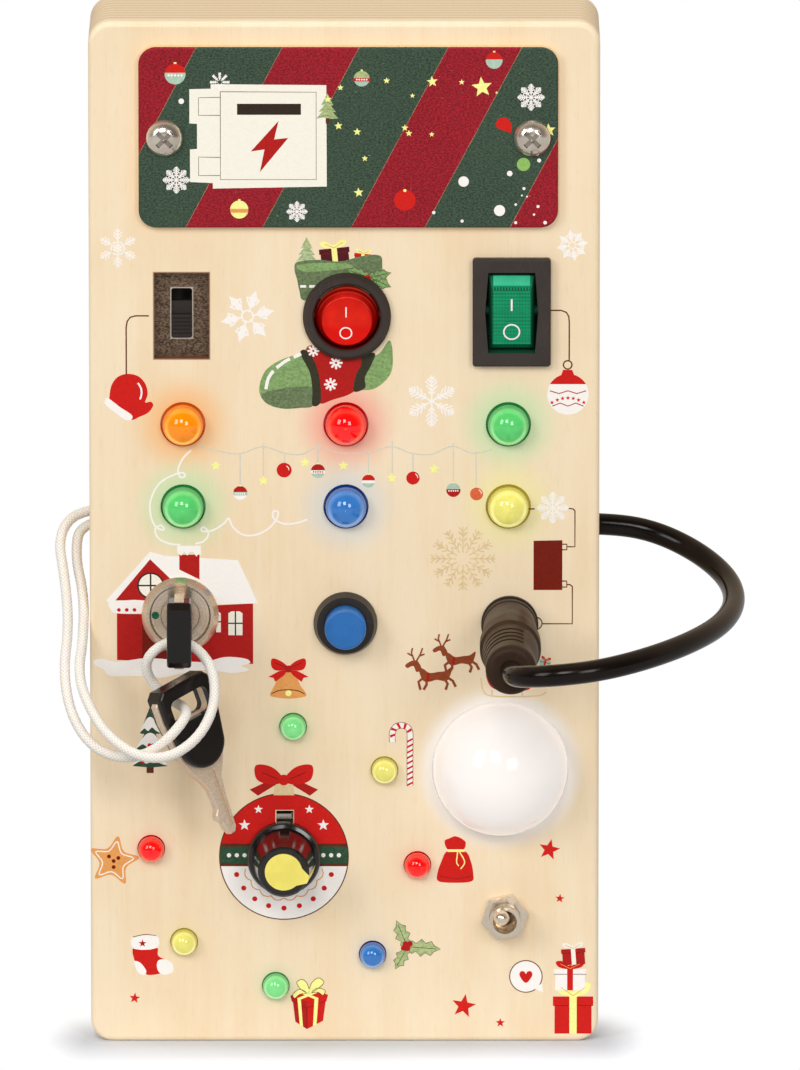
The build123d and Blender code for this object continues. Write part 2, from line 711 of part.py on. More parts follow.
# ---------------------------------------------------------------- round rocker switch
with BuildPart() as round_rocker_body:
    with BuildSketch(turning(ROUND_X, ROUND_Z)):
        outline(
            (0, -ROCKER_BODY_D),
            (ROUND_BODY_R, -ROCKER_BODY_D),
            (ROUND_BODY_R, 0),
            (ROUND_FLANGE_R, 0),
            (ROUND_FLANGE_R, ROCKER_FLANGE_T * 0.5),
            (ROUND_FLANGE_R - 0.8, ROCKER_FLANGE_T),
            (ROUND_WELL_R + 0.3, ROCKER_FLANGE_T),
            (ROUND_WELL_R, ROCKER_FLANGE_T - 0.3),
            (ROUND_WELL_R, ROCKER_FLANGE_T - ROCKER_WELL_D),
            (0, ROCKER_FLANGE_T - ROCKER_WELL_D),
        )
    revolve(axis=centre_line(ROUND_X, ROUND_Z))
    pin_span = 2 * (ROUND_CAP_R + ROCKER_PIN_BITE + RUNNING_FIT)
    pin_plane = Plane(
        origin=(ROUND_X - pin_span / 2, FACE_Y - ROCKER_PIVOT_OUT, ROUND_Z), z_dir=(1, 0, 0)
    )
    with BuildSketch(pin_plane):
        Circle(ROCKER_PIN_R + SCREW_FIT)
    extrude(amount=pin_span, mode=Mode.SUBTRACT)
save(round_rocker_body, "round_rocker_body")

with BuildPart() as round_rocker_button:
    cap_plane = tilted(ROUND_X, ROUND_Z, ROCKER_PIVOT_OUT, ROCKER_TILT)
    shoulder_r = (ROUND_CAP_R**2 - ROUND_CAP_SHOULDER**2) ** 0.5
    foot_r = (ROUND_CAP_R**2 - ROUND_CAP_FOOT**2) ** 0.5
    with BuildSketch(cap_plane):
        with BuildLine():
            Polyline(
                (foot_r, -ROUND_CAP_FOOT),
                (0, -ROUND_CAP_FOOT),
                (0, ROUND_CAP_TOP),
                (ROUND_CAP_FACE_R, ROUND_CAP_TOP),
                (shoulder_r, ROUND_CAP_SHOULDER),
            )
            ThreePointArc(
                (shoulder_r, ROUND_CAP_SHOULDER), (ROUND_CAP_R, 0), (foot_r, -ROUND_CAP_FOOT)
            )
        make_face()
    revolve(axis=Axis(cap_plane.origin, cap_plane.y_dir))
    with BuildSketch(pin_plane.offset(RUNNING_FIT)):
        Circle(ROCKER_PIN_R)
    extrude(amount=pin_span - 2 * RUNNING_FIT)
save(round_rocker_button, "round_rocker_button")

# ---------------------------------------------------------------- rectangular rocker switch
with BuildPart() as rect_rocker_body:
    with BuildSketch(on_face(RECT_X, RECT_Z)):
        RectangleRounded(RECT_FLANGE_W, RECT_FLANGE_H, 0.6)
    extrude(amount=ROCKER_FLANGE_T)
    fillet(rect_rocker_body.faces().sort_by(Axis.Y)[0].outer_wire().edges(), 0.4)
    with BuildSketch(on_face(RECT_X, RECT_Z)):
        Rectangle(RECT_BODY_W, RECT_BODY_H)
    extrude(amount=-ROCKER_BODY_D)
    with BuildSketch(on_face(RECT_X, RECT_Z, ROCKER_FLANGE_T)):
        outline(
            (-RECT_WELL_W / 2, 0),
            (-RECT_WELL_END_W / 2, RECT_WELL_H / 2),
            (RECT_WELL_END_W / 2, RECT_WELL_H / 2),
            (RECT_WELL_W / 2, 0),
            (RECT_WELL_END_W / 2, -RECT_WELL_H / 2),
            (-RECT_WELL_END_W / 2, -RECT_WELL_H / 2),
        )
    extrude(amount=-ROCKER_WELL_D, mode=Mode.SUBTRACT)
    rect_pin_span = RECT_WELL_W + 2 * (ROCKER_PIN_BITE + RUNNING_FIT)
    rect_pin_plane = Plane(
        origin=(RECT_X - rect_pin_span / 2, FACE_Y - ROCKER_PIVOT_OUT, RECT_Z), z_dir=(1, 0, 0)
    )
    with BuildSketch(rect_pin_plane):
        Circle(ROCKER_PIN_R + SCREW_FIT)
    extrude(amount=rect_pin_span, mode=Mode.SUBTRACT)
save(rect_rocker_body, "rect_rocker_body")

with BuildPart() as rect_rocker_button:
    side_view = tilted(RECT_X, RECT_Z, ROCKER_PIVOT_OUT, ROCKER_TILT)
    with BuildSketch(side_view):
        outline(
            (-RECT_CAP_RIDGE, RECT_CAP_TOP),
            (RECT_CAP_RIDGE, RECT_CAP_TOP),
            (RECT_CAP_END, RECT_CAP_SHOULDER),
            (RECT_CAP_END - 0.4, -0.4),
            (RECT_CAP_RIDGE, -RECT_CAP_FOOT),
            (-RECT_CAP_RIDGE, -RECT_CAP_FOOT),
            (-RECT_CAP_END + 0.4, -0.4),
            (-RECT_CAP_END, RECT_CAP_SHOULDER),
        )
    extrude(amount=RECT_WELL_END_W / 2, both=True)
    end_view = Plane(
        origin=side_view.origin, x_dir=(1, 0, 0), z_dir=-side_view.x_dir
    )
    with BuildSketch(end_view):
        outline(
            (-RECT_WELL_END_W / 2 + SLIP, -RECT_CAP_FOOT),
            (RECT_WELL_END_W / 2 - SLIP, -RECT_CAP_FOOT),
            (RECT_WELL_END_W / 2 - SLIP, RECT_CAP_SHOULDER),
            (RECT_CAP_FACE_W / 2, RECT_CAP_TOP),
            (-RECT_CAP_FACE_W / 2, RECT_CAP_TOP),
            (-RECT_WELL_END_W / 2 + SLIP, RECT_CAP_SHOULDER),
        )
    extrude(amount=RECT_CAP_END, both=True, mode=Mode.INTERSECT)
    face_view = Plane(
        origin=side_view.origin + side_view.y_dir * RECT_CAP_TOP,
        x_dir=(1, 0, 0),
        z_dir=side_view.y_dir,
    )
    rib_count = int(2 * RECT_CAP_RIDGE / RECT_CAP_RIB_PITCH)
    with BuildSketch(face_view):
        with GridLocations(0, RECT_CAP_RIB_PITCH, 1, rib_count):
            Rectangle(RECT_CAP_FACE_W, RECT_CAP_RIB_PITCH / 2)
    extrude(amount=-RECT_CAP_RIB_D, mode=Mode.SUBTRACT)
    with BuildSketch(rect_pin_plane.offset(RUNNING_FIT)):
        Circle(ROCKER_PIN_R)
    extrude(amount=rect_pin_span - 2 * RUNNING_FIT)
save(rect_rocker_button, "rect_rocker_button")

with BuildPart() as switch_terminals:
    for x, z, count in [(ROUND_X, ROUND_Z, 2), (RECT_X, RECT_Z, 3)]:
        with BuildSketch(on_face(x, z, -ROCKER_BODY_D)):
            with GridLocations(0, TERMINAL_PITCH, 1, count):
                Rectangle(TERMINAL_W, TERMINAL_T)
        extrude(amount=-TERMINAL_L)
save(switch_terminals, "switch_terminals")


# ---------------------------------------------------------------- indicator lamps
def lamps(spots, lens_r, rim_r, rim_t, dome_out):
    """Clear round lamps, each one casting with a rim behind the panel and two leads."""
    back_out = -PANEL_T - rim_t
    with BuildPart() as group:
        for x, z in spots:
            with BuildSketch(turning(x, z)):
                with BuildLine():
                    Polyline(
                        (0, dome_out + lens_r),
                        (0, back_out),
                        (rim_r, back_out),
                        (rim_r, -PANEL_T),
                        (lens_r, -PANEL_T),
                        (lens_r, dome_out),
                    )
                    CenterArc((0, dome_out), lens_r, 0, 90)
                make_face()
            revolve(axis=centre_line(x, z))
            with BuildSketch(on_face(x, z, back_out)):
                with GridLocations(LEAD_PITCH, 0, 2, 1):
                    Rectangle(LEAD_T, LEAD_T)
            extrude(amount=-(PCB_SET + back_out))
    return group


BIG_LAMPS = {
    "orange": ("left", LAMP_ROW_TOP),
    "red": ("middle", LAMP_ROW_TOP),
    "green_upper": ("right", LAMP_ROW_TOP),
    "green_lower": ("left", LAMP_ROW_LOW),
    "blue": ("middle", LAMP_ROW_LOW),
    "yellow": ("right", LAMP_ROW_LOW),
}
for colour, (column, row_z) in BIG_LAMPS.items():
    spot = (LAMP_COLUMNS[column], row_z)
    big_lamp = lamps([spot], BIG_LENS_R, BIG_RIM_R, BIG_RIM_T, BIG_DOME_OUT)
    save(big_lamp, f"big_lamp_{colour}")
for colour, spots in SMALL_LAMPS.items():
    small_lamps = lamps(spots, SMALL_LENS_R, SMALL_RIM_R, SMALL_RIM_T, SMALL_DOME_OUT)
    save(small_lamps, f"small_lamps_{colour}")

# ---------------------------------------------------------------- circuit boards and spacers
UPPER_PCB_X = LAMP_COLUMNS["middle"]
UPPER_PCB_Z = (LAMP_ROW_TOP + LAMP_ROW_LOW) / 2
with BuildPart() as upper_circuit_board:
    with BuildSketch(on_face(UPPER_PCB_X, UPPER_PCB_Z, -PCB_SET)):
        RectangleRounded(UPPER_PCB_W, UPPER_PCB_H, 1.5)
    extrude(amount=-PCB_T)
save(upper_circuit_board, "upper_circuit_board")

with BuildPart() as lower_circuit_board:
    with BuildSketch(on_face(LOWER_PCB_X, LOWER_PCB_Z, -PCB_SET)):
        RectangleRounded(LOWER_PCB_W, LOWER_PCB_H, 1.5)
        with Locations((KNOB_X - LOWER_PCB_X, KNOB_Z - LOWER_PCB_Z)):
            Circle(POT_R + LOWER_PCB_GAP, mode=Mode.SUBTRACT)
            with Locations((0, -POT_R)):
                Rectangle(2 * POT_R, 2 * POT_R, mode=Mode.SUBTRACT)
    extrude(amount=-PCB_T)
save(lower_circuit_board, "lower_circuit_board")

with BuildPart() as board_spacers:
    with BuildSketch(on_face(UPPER_PCB_X, UPPER_PCB_Z, -PANEL_T)):
        with GridLocations(2 * UPPER_SPACER_SPREAD, 0, 2, 1):
            Circle(SPACER_R)
    extrude(amount=-(PCB_SET - PANEL_T))
    with BuildSketch(on_face(LOWER_PCB_X, LOWER_PCB_Z, -PANEL_T)):
        grid_w = LOWER_PCB_W - 2 * SPACER_EDGE
        grid_h = LOWER_PCB_H - 2 * SPACER_EDGE
        with GridLocations(grid_w, grid_h, 2, 2):
            Circle(SPACER_R)
    extrude(amount=-(PCB_SET - PANEL_T))
save(board_spacers, "board_spacers")

# ---------------------------------------------------------------- push button
BUTTON_FLOOR_OUT = -BUTTON_WELL_D
with BuildPart() as push_button_body:
    with BuildSketch(turning(BUTTON_X, BUTTON_Z)):
        outline(
            (0, -BUTTON_BARREL_D),
            (BUTTON_BARREL_R, -BUTTON_BARREL_D),
            (BUTTON_BARREL_R, 0),
            (BUTTON_BEZEL_R, 0),
            (BUTTON_BEZEL_R, 0.4),
            (BUTTON_RIM_R, BUTTON_BEZEL_H),
            (BUTTON_CAP_R + RUNNING_FIT, BUTTON_BEZEL_H),
            (BUTTON_CAP_R + RUNNING_FIT, BUTTON_STOP_OUT),
            (BUTTON_STOP_R + RUNNING_FIT, BUTTON_STOP_OUT),
            (BUTTON_STOP_R + RUNNING_FIT, BUTTON_FLOOR_OUT),
            (0, BUTTON_FLOOR_OUT),
        )
    revolve(axis=centre_line(BUTTON_X, BUTTON_Z))
    with BuildSketch(on_face(BUTTON_X, BUTTON_Z, -BUTTON_BARREL_D)):
        with GridLocations(TERMINAL_PITCH, 0, 2, 1):
            Rectangle(TERMINAL_T, TERMINAL_W / 2)
    extrude(amount=-TERMINAL_L)
save(push_button_body, "push_button_body")

with BuildPart() as push_button_cap:
    with BuildSketch(turning(BUTTON_X, BUTTON_Z)):
        outline(
            (0, BUTTON_STOP_OUT - RUNNING_FIT - BUTTON_STOP_T),
            (BUTTON_STOP_R, BUTTON_STOP_OUT - RUNNING_FIT - BUTTON_STOP_T),
            (BUTTON_STOP_R, BUTTON_STOP_OUT - RUNNING_FIT),
            (BUTTON_CAP_R, BUTTON_STOP_OUT - RUNNING_FIT),
            (BUTTON_CAP_R, BUTTON_CAP_OUT - 0.5),
            (BUTTON_CAP_R - 0.15, BUTTON_CAP_OUT - 0.15),
            (BUTTON_CAP_R - 0.5, BUTTON_CAP_OUT),
            (0, BUTTON_CAP_OUT),
        )
    revolve(axis=centre_line(BUTTON_X, BUTTON_Z))
save(push_button_cap, "push_button_cap")

with BuildPart() as push_button_spring:
    spring_room = BUTTON_STOP_OUT - RUNNING_FIT - BUTTON_STOP_T - BUTTON_FLOOR_OUT
    coil_l = spring_room - BUTTON_SPRING_WIRE
    coil_start = (BUTTON_X, FACE_Y - BUTTON_FLOOR_OUT - BUTTON_SPRING_WIRE / 2, BUTTON_Z)
    with BuildLine() as coil:
        Helix(coil_l / BUTTON_SPRING_TURNS, coil_l, BUTTON_SPRING_R, coil_start, (0, -1, 0))
    with BuildSketch(Plane(origin=coil.line @ 0, z_dir=coil.line % 0)):
        Circle(BUTTON_SPRING_WIRE / 2)
    sweep(path=coil.line, is_frenet=True)
save(push_button_spring, "push_button_spring")
solid_l = (BUTTON_SPRING_TURNS + 1) * BUTTON_SPRING_WIRE
print(f"button spring: {spring_room - BUTTON_TRAVEL:.1f} when pressed, {solid_l:.1f} fully shut")

# ---------------------------------------------------------------- key lock
with BuildPart() as key_lock_body:
    with BuildSketch(turning(LOCK_X, LOCK_Z)):
        outline(
            (0, -LOCK_BARREL_D),
            (LOCK_BARREL_R, -LOCK_BARREL_D),
            (LOCK_BARREL_R, 0),
            (LOCK_FLANGE_R, 0),
            (LOCK_FLANGE_R, LOCK_FLANGE_H * 0.4),
            (LOCK_FLANGE_R - 0.9, LOCK_FLANGE_H),
            (LOCK_DISH_R + 0.3, LOCK_FLANGE_H),
            (LOCK_DISH_R, LOCK_DISH_OUT),
            (ROTOR_R + RUNNING_FIT, LOCK_DISH_OUT),
            (ROTOR_R + RUNNING_FIT, LOCK_DISH_OUT - ROTOR_D - RUNNING_FIT),
            (0, LOCK_DISH_OUT - ROTOR_D - RUNNING_FIT),
        )
    revolve(axis=centre_line(LOCK_X, LOCK_Z))
    with BuildSketch(on_face(LOCK_X, LOCK_Z, LOCK_DISH_OUT)):
        # the two painted marks that the key points to
        with Locations((0, MARK_RING_R), (-MARK_RING_R, 0)):
            Circle(MARK_R)
    extrude(amount=-MARK_DEPTH, mode=Mode.SUBTRACT)
save(key_lock_body, "key_lock_body")

with BuildPart() as key_lock_rotor:
    with BuildSketch(on_face(LOCK_X, LOCK_Z, LOCK_DISH_OUT)):
        Circle(ROTOR_R)
    extrude(amount=-ROTOR_D)
    with BuildSketch(on_face(LOCK_X, LOCK_Z, LOCK_DISH_OUT)):
        keyway_h = 2 * (KEY_BLADE_HALF + KEYWAY_GAP)
        Rectangle(KEY_METAL_T + 2 * KEYWAY_GAP, keyway_h)
    extrude(amount=-(KEY_TIP - KEY_EYE_OUT + LOCK_DISH_OUT + MOVING_GAP), mode=Mode.SUBTRACT)
save(key_lock_rotor, "key_lock_rotor")


# ---------------------------------------------------------------- keys
def key_blade_at(plane):
    """The cast metal of a key: a rim round the grip, a neck and a grooved blade. The plane's
    origin is the middle of the cord's eye and its y points to the grip's end."""
    with BuildPart() as blade:
        with BuildSketch(plane):
            outline(
                (-KEY_RIM_HALF + KEY_CORNER, KEY_END - KEY_CORNER),
                (KEY_RIM_HALF - KEY_CORNER, KEY_END - KEY_CORNER),
                (KEY_RIM_HALF, KEY_END - 2 * KEY_CORNER),
                (KEY_RIM_HALF, -1.0),
                (KEY_WAIST_HALF + 0.6, -KEY_WAIST),
                (KEY_BLADE_HALF + 1.2, -KEY_GRIP_TAIL - 0.8),
                (KEY_BLADE_HALF, -KEY_NECK),
                (KEY_TIP_HALF, -KEY_TIP + 1.2),
                (KEY_TIP_HALF / 2, -KEY_TIP),
                (-KEY_TIP_HALF / 2, -KEY_TIP),
                (-KEY_TIP_HALF, -KEY_TIP + 1.2),
                (-KEY_BLADE_HALF, -KEY_NECK),
                (-KEY_BLADE_HALF - 1.2, -KEY_GRIP_TAIL - 0.8),
                (-KEY_WAIST_HALF - 0.6, -KEY_WAIST),
                (-KEY_RIM_HALF, -1.0),
                (-KEY_RIM_HALF, KEY_END - 2 * KEY_CORNER),
            )
            RectangleRounded(KEY_EYE_W, KEY_EYE_H, KEY_EYE_R, mode=Mode.SUBTRACT)
        extrude(amount=KEY_METAL_T / 2, both=True)
        groove_l = KEY_TIP - KEY_NECK + 2.0
        for side in (-1, 1):
            with BuildSketch(plane.offset(side * KEY_METAL_T / 2)):
                with Locations((KEY_TIP_HALF / 3, -KEY_TIP + groove_l / 2)):
                    Rectangle(KEY_GROOVE_W, groove_l)
            extrude(amount=-side * KEY_GROOVE_D, mode=Mode.SUBTRACT)
    return blade


def key_grip_at(plane, blade):
    """The moulded grip over the metal, with the cord's eye through it."""
    with BuildPart() as grip:
        with BuildSketch(plane):
            with BuildLine():
                Polyline(
                    (-KEY_WAIST_HALF, -KEY_WAIST),
                    (-KEY_GRIP_HALF, -1.0),
                    (-KEY_GRIP_HALF, KEY_END - KEY_CORNER),
                    (-KEY_GRIP_HALF + KEY_CORNER, KEY_END),
                    (KEY_GRIP_HALF - KEY_CORNER, KEY_END),
                    (KEY_GRIP_HALF, KEY_END - KEY_CORNER),
                    (KEY_GRIP_HALF, -1.0),
                    (KEY_WAIST_HALF, -KEY_WAIST),
                )
                ThreePointArc(
                    (KEY_WAIST_HALF, -KEY_WAIST),
                    (0, -KEY_GRIP_TAIL),
                    (-KEY_WAIST_HALF, -KEY_WAIST),
                )
            make_face()
        extrude(amount=KEY_GRIP_T / 2, both=True)
        flat_faces = grip.faces().filter_by(Axis((0, 0, 0), plane.z_dir))
        fillet(flat_faces.edges(), KEY_CORNER / 2)
        with BuildSketch(plane):
            RectangleRounded(KEY_EYE_W, KEY_EYE_H, KEY_EYE_R)
        extrude(amount=KEY_GRIP_T / 2, both=True, mode=Mode.SUBTRACT)
        add(blade.part, mode=Mode.SUBTRACT)
    return grip


turned_key_plane = Plane(
    origin=(LOCK_X, FACE_Y - KEY_EYE_OUT, LOCK_Z), x_dir=(0, 0, 1), z_dir=(1, 0, 0)
)
key_blade = key_blade_at(turned_key_plane)
save(key_blade, "key_blade")
key_grip = key_grip_at(turned_key_plane, key_blade)
save(key_grip, "key_grip")

spare_x = Vector(*SPARE_ACROSS).normalized()
spare_key_plane = Plane(
    origin=SPARE_EYE, x_dir=spare_x, z_dir=spare_x.cross(Vector(*SPARE_TOWARDS_END)).normalized()
)
spare_key_blade = key_blade_at(spare_key_plane)
save(spare_key_blade, "spare_key_blade")
spare_key_grip = key_grip_at(spare_key_plane, spare_key_blade)
save(spare_key_grip, "spare_key_grip")

# ---------------------------------------------------------------- power socket and plug
with BuildPart() as power_socket:
    with BuildSketch(turning(PLUG_X, PLUG_Z)):
        outline(
            (0, -SOCKET_BARREL_D),
            (SOCKET_BARREL_R, -SOCKET_BARREL_D),
            (SOCKET_BARREL_R, 0),
            (SOCKET_FLANGE_R, 0),
            (SOCKET_FLANGE_R, SOCKET_FLANGE_T - 0.4),
            (SOCKET_FLANGE_R - 0.4, SOCKET_FLANGE_T),
            (SOCKET_BORE_R, SOCKET_FLANGE_T),
            (SOCKET_BORE_R, -SOCKET_BORE_D),
            (SOCKET_PIN_R, -SOCKET_BORE_D),
            (SOCKET_PIN_R, SOCKET_PIN_OUT - SOCKET_PIN_R),
            (SOCKET_PIN_R / 2, SOCKET_PIN_OUT),
            (0, SOCKET_PIN_OUT),
        )
    revolve(axis=centre_line(PLUG_X, PLUG_Z))
save(power_socket, "power_socket")

with BuildPart() as power_plug:
    plug_start = SOCKET_FLANGE_T + PLUG_GAP
    nose_r = SOCKET_BORE_R - SLIP
    rib_end = PLUG_RIB_START + PLUG_RIBS * PLUG_RIB_PITCH
    with BuildSketch(turning(PLUG_X, PLUG_Z)):
        with BuildLine():
            Polyline(
                (0, PLUG_OUT),
                (0, plug_start),
                (PLUG_NOSE_BORE_R, plug_start),
                (PLUG_NOSE_BORE_R, -PLUG_NOSE_D),
                (nose_r, -PLUG_NOSE_D),
                (nose_r, plug_start),
                (PLUG_FRONT_R, plug_start),
                (PLUG_FRONT_R, plug_start + 1.6),
                (PLUG_FRONT_R - 0.2, plug_start + 2.0),
                (PLUG_FLARE_R, PLUG_COLLAR_OUT),
                (PLUG_COLLAR_R, PLUG_COLLAR_OUT),
                (PLUG_COLLAR_R, PLUG_COLLAR_END - 1.0),
                (PLUG_COLLAR_R - 0.5, PLUG_COLLAR_END),
                (PLUG_RIB_R, PLUG_COLLAR_END + 0.4),
                (PLUG_RIB_R, PLUG_RIB_START),
                (PLUG_CAP_R, rib_end),
                (PLUG_CAP_R, PLUG_OUT - PLUG_CAP_ROUND),
            )
            RadiusArc(
                (PLUG_CAP_R, PLUG_OUT - PLUG_CAP_ROUND),
                (PLUG_CAP_R - PLUG_CAP_ROUND, PLUG_OUT),
                -PLUG_CAP_ROUND,
            )
            Line((PLUG_CAP_R - PLUG_CAP_ROUND, PLUG_OUT), (0, PLUG_OUT))
        make_face()
    revolve(axis=centre_line(PLUG_X, PLUG_Z))
    for rib in range(PLUG_RIBS):
        groove_out = PLUG_RIB_START + (rib + 0.5) * PLUG_RIB_PITCH
        with BuildSketch(on_face(PLUG_X, PLUG_Z, groove_out)):
            Circle(PLUG_COLLAR_R)
            Circle(PLUG_CAP_R - PLUG_RIB_DEPTH, mode=Mode.SUBTRACT)
            with Locations((PLUG_COLLAR_R + PLUG_CAP_R / 2, 0)):
                Rectangle(2 * PLUG_COLLAR_R, 2 * PLUG_COLLAR_R, mode=Mode.SUBTRACT)
        extrude(amount=PLUG_RIB_GROOVE, mode=Mode.SUBTRACT)
save(power_plug, "power_plug")

# ---------------------------------------------------------------- domed lamp
with BuildPart() as dome_lamp:
    flange_back = -PANEL_T - DOME_FLANGE_T
    inner_r = DOME_R - DOME_WALL
    with BuildSketch(turning(DOME_X, DOME_Z)):
        with BuildLine():
            CenterArc((0, DOME_BASE_OUT), DOME_R, 0, 90)
            Line((0, DOME_BASE_OUT + DOME_R), (0, DOME_BASE_OUT + inner_r))
            CenterArc((0, DOME_BASE_OUT), inner_r, 0, 90)
            Polyline(
                (inner_r, DOME_BASE_OUT),
                (inner_r, flange_back),
                (DOME_FLANGE_R, flange_back),
                (DOME_FLANGE_R, -PANEL_T),
                (DOME_R, -PANEL_T),
                (DOME_R, DOME_BASE_OUT),
            )
        make_face()
    revolve(axis=centre_line(DOME_X, DOME_Z))
save(dome_lamp, "dome_lamp")

with BuildPart() as dome_lamp_board:
    led_dome = flange_back + DOME_LED_H - DOME_LED_R
    with BuildSketch(turning(DOME_X, DOME_Z)):
        with BuildLine():
            Polyline(
                (0, led_dome + DOME_LED_R),
                (0, flange_back - DOME_PCB_T),
                (DOME_FLANGE_R, flange_back - DOME_PCB_T),
                (DOME_FLANGE_R, flange_back),
                (DOME_LED_R, flange_back),
                (DOME_LED_R, led_dome),
            )
            CenterArc((0, led_dome), DOME_LED_R, 0, 90)
        make_face()
    revolve(axis=centre_line(DOME_X, DOME_Z))
save(dome_lamp_board, "dome_lamp_board")

# ---------------------------------------------------------------- potentiometer and knob
with BuildPart() as pot_body:
    with BuildSketch(turning(KNOB_X, KNOB_Z)):
        outline(
            (0, -PANEL_T - POT_D),
            (POT_R, -PANEL_T - POT_D),
            (POT_R, -PANEL_T),
            (POT_BUSH_R, -PANEL_T),
            (POT_BUSH_R, POT_BUSH_OUT),
            (SHAFT_R + SCREW_FIT, POT_BUSH_OUT),
            (SHAFT_R + SCREW_FIT, -SHAFT_D - RUNNING_FIT),
            (0, -SHAFT_D - RUNNING_FIT),
        )
    revolve(axis=centre_line(KNOB_X, KNOB_Z))
    with BuildSketch(on_face(KNOB_X, POT_TAB_Z, -PANEL_T)):
        Rectangle(POT_TAB_W, POT_TAB_T)
    extrude(amount=POT_TAB_OUT + PANEL_T)
    with BuildSketch(on_face(KNOB_X, KNOB_Z - POT_R - 1.0, -PANEL_T - POT_D / 2)):
        with GridLocations(TERMINAL_PITCH, 0, 3, 1):
            Rectangle(TERMINAL_T * 2, TERMINAL_L)
    extrude(amount=-TERMINAL_T)
save(pot_body, "pot_body")

with BuildPart() as pot_shaft:
    with BuildSketch(on_face(KNOB_X, KNOB_Z, -SHAFT_D)):
        Circle(SHAFT_R)
    extrude(amount=SHAFT_D + SHAFT_TOP_OUT)
save(pot_shaft, "pot_shaft")

NUT_ROOM_R = POT_NUT_CORNER_R + MOVING_GAP
NUT_ROOM_OUT = max(POT_NUT_T, POT_BUSH_OUT) + MOVING_GAP
pointer_plane = on_face(KNOB_X, KNOB_Z, KNOB_TOP_OUT, POINTER_ANGLE)
with BuildPart() as knob_pointer:
    with BuildSketch(pointer_plane.offset(-POINTER_SINK)):
        Circle(POINTER_DISC_R)
        outline(
            (0, POINTER_DISC_R),
            (KNOB_TOP_R, POINTER_W / 2),
            (KNOB_TOP_R, -POINTER_W / 2),
            (0, -POINTER_DISC_R),
        )
    extrude(amount=POINTER_SINK)
    side_plane = Plane(
        origin=pointer_plane.origin, x_dir=pointer_plane.x_dir, z_dir=-pointer_plane.y_dir
    )
    with BuildSketch(side_plane):
        stripe_h = KNOB_TOP_OUT - KNOB_SKIRT_TOP
        outline(
            (KNOB_TOP_R - 0.8, 0),
            (KNOB_TOP_R, 0),
            (KNOB_BASE_R, -stripe_h),
            (KNOB_BASE_R - 0.8, -stripe_h),
        )
    extrude(amount=POINTER_W / 2, both=True)
save(knob_pointer, "knob_pointer")

with BuildPart() as knob:
    with BuildSketch(turning(KNOB_X, KNOB_Z)):
        outline(
            (0, KNOB_TOP_OUT),
            (KNOB_TOP_R - KNOB_ROUND, KNOB_TOP_OUT),
            (KNOB_TOP_R, KNOB_TOP_OUT - KNOB_ROUND),
            (KNOB_BASE_R, KNOB_SKIRT_TOP),
            (KNOB_SKIRT_R - 0.3, KNOB_SKIRT_TOP - 0.2),
            (KNOB_SKIRT_R, KNOB_SKIRT_TOP - 0.6),
            (KNOB_SKIRT_R, KNOB_SKIRT_OUT),
            (NUT_ROOM_R, KNOB_SKIRT_OUT),
            (NUT_ROOM_R, NUT_ROOM_OUT - 0.6),
            (SHAFT_R + SCREW_FIT, NUT_ROOM_OUT),
            (SHAFT_R + SCREW_FIT, SHAFT_TOP_OUT + RUNNING_FIT),
            (0, SHAFT_TOP_OUT + RUNNING_FIT),
        )
    revolve(axis=centre_line(KNOB_X, KNOB_Z))
    add(knob_pointer.part, mode=Mode.SUBTRACT)
save(knob, "knob")

# ---------------------------------------------------------------- toggle switch
toggle_face = on_face(TOGGLE_X, TOGGLE_Z, 0.0, TOGGLE_TURN)
with BuildPart() as toggle_body:
    with BuildSketch(toggle_face.offset(-PANEL_T)):
        Rectangle(TOGGLE_BODY_W, TOGGLE_BODY_H)
    extrude(amount=-TOGGLE_BODY_D)
    with BuildSketch(toggle_face.offset(-PANEL_T)):
        Circle(TOGGLE_BUSH_R)
    extrude(amount=PANEL_T + TOGGLE_BUSH_OUT)
    with BuildSketch(turning(TOGGLE_X, TOGGLE_Z)):
        outline(
            (0, TOGGLE_BUSH_OUT),
            (TOGGLE_MOUTH_R, TOGGLE_BUSH_OUT),
            (TOGGLE_THROAT_R, TOGGLE_PIVOT_OUT + 0.6),
            (TOGGLE_THROAT_R, TOGGLE_PIVOT_OUT - TOGGLE_BALL_R - RUNNING_FIT),
            (0, TOGGLE_PIVOT_OUT - TOGGLE_BALL_R - RUNNING_FIT),
        )
    revolve(axis=centre_line(TOGGLE_X, TOGGLE_Z), mode=Mode.SUBTRACT)
    with BuildSketch(toggle_face.offset(-PANEL_T - TOGGLE_BODY_D)):
        with GridLocations(0, TERMINAL_W, 1, 3):
            Rectangle(TERMINAL_T * 2, TERMINAL_T)
    extrude(amount=-TERMINAL_L)
save(toggle_body, "toggle_body")

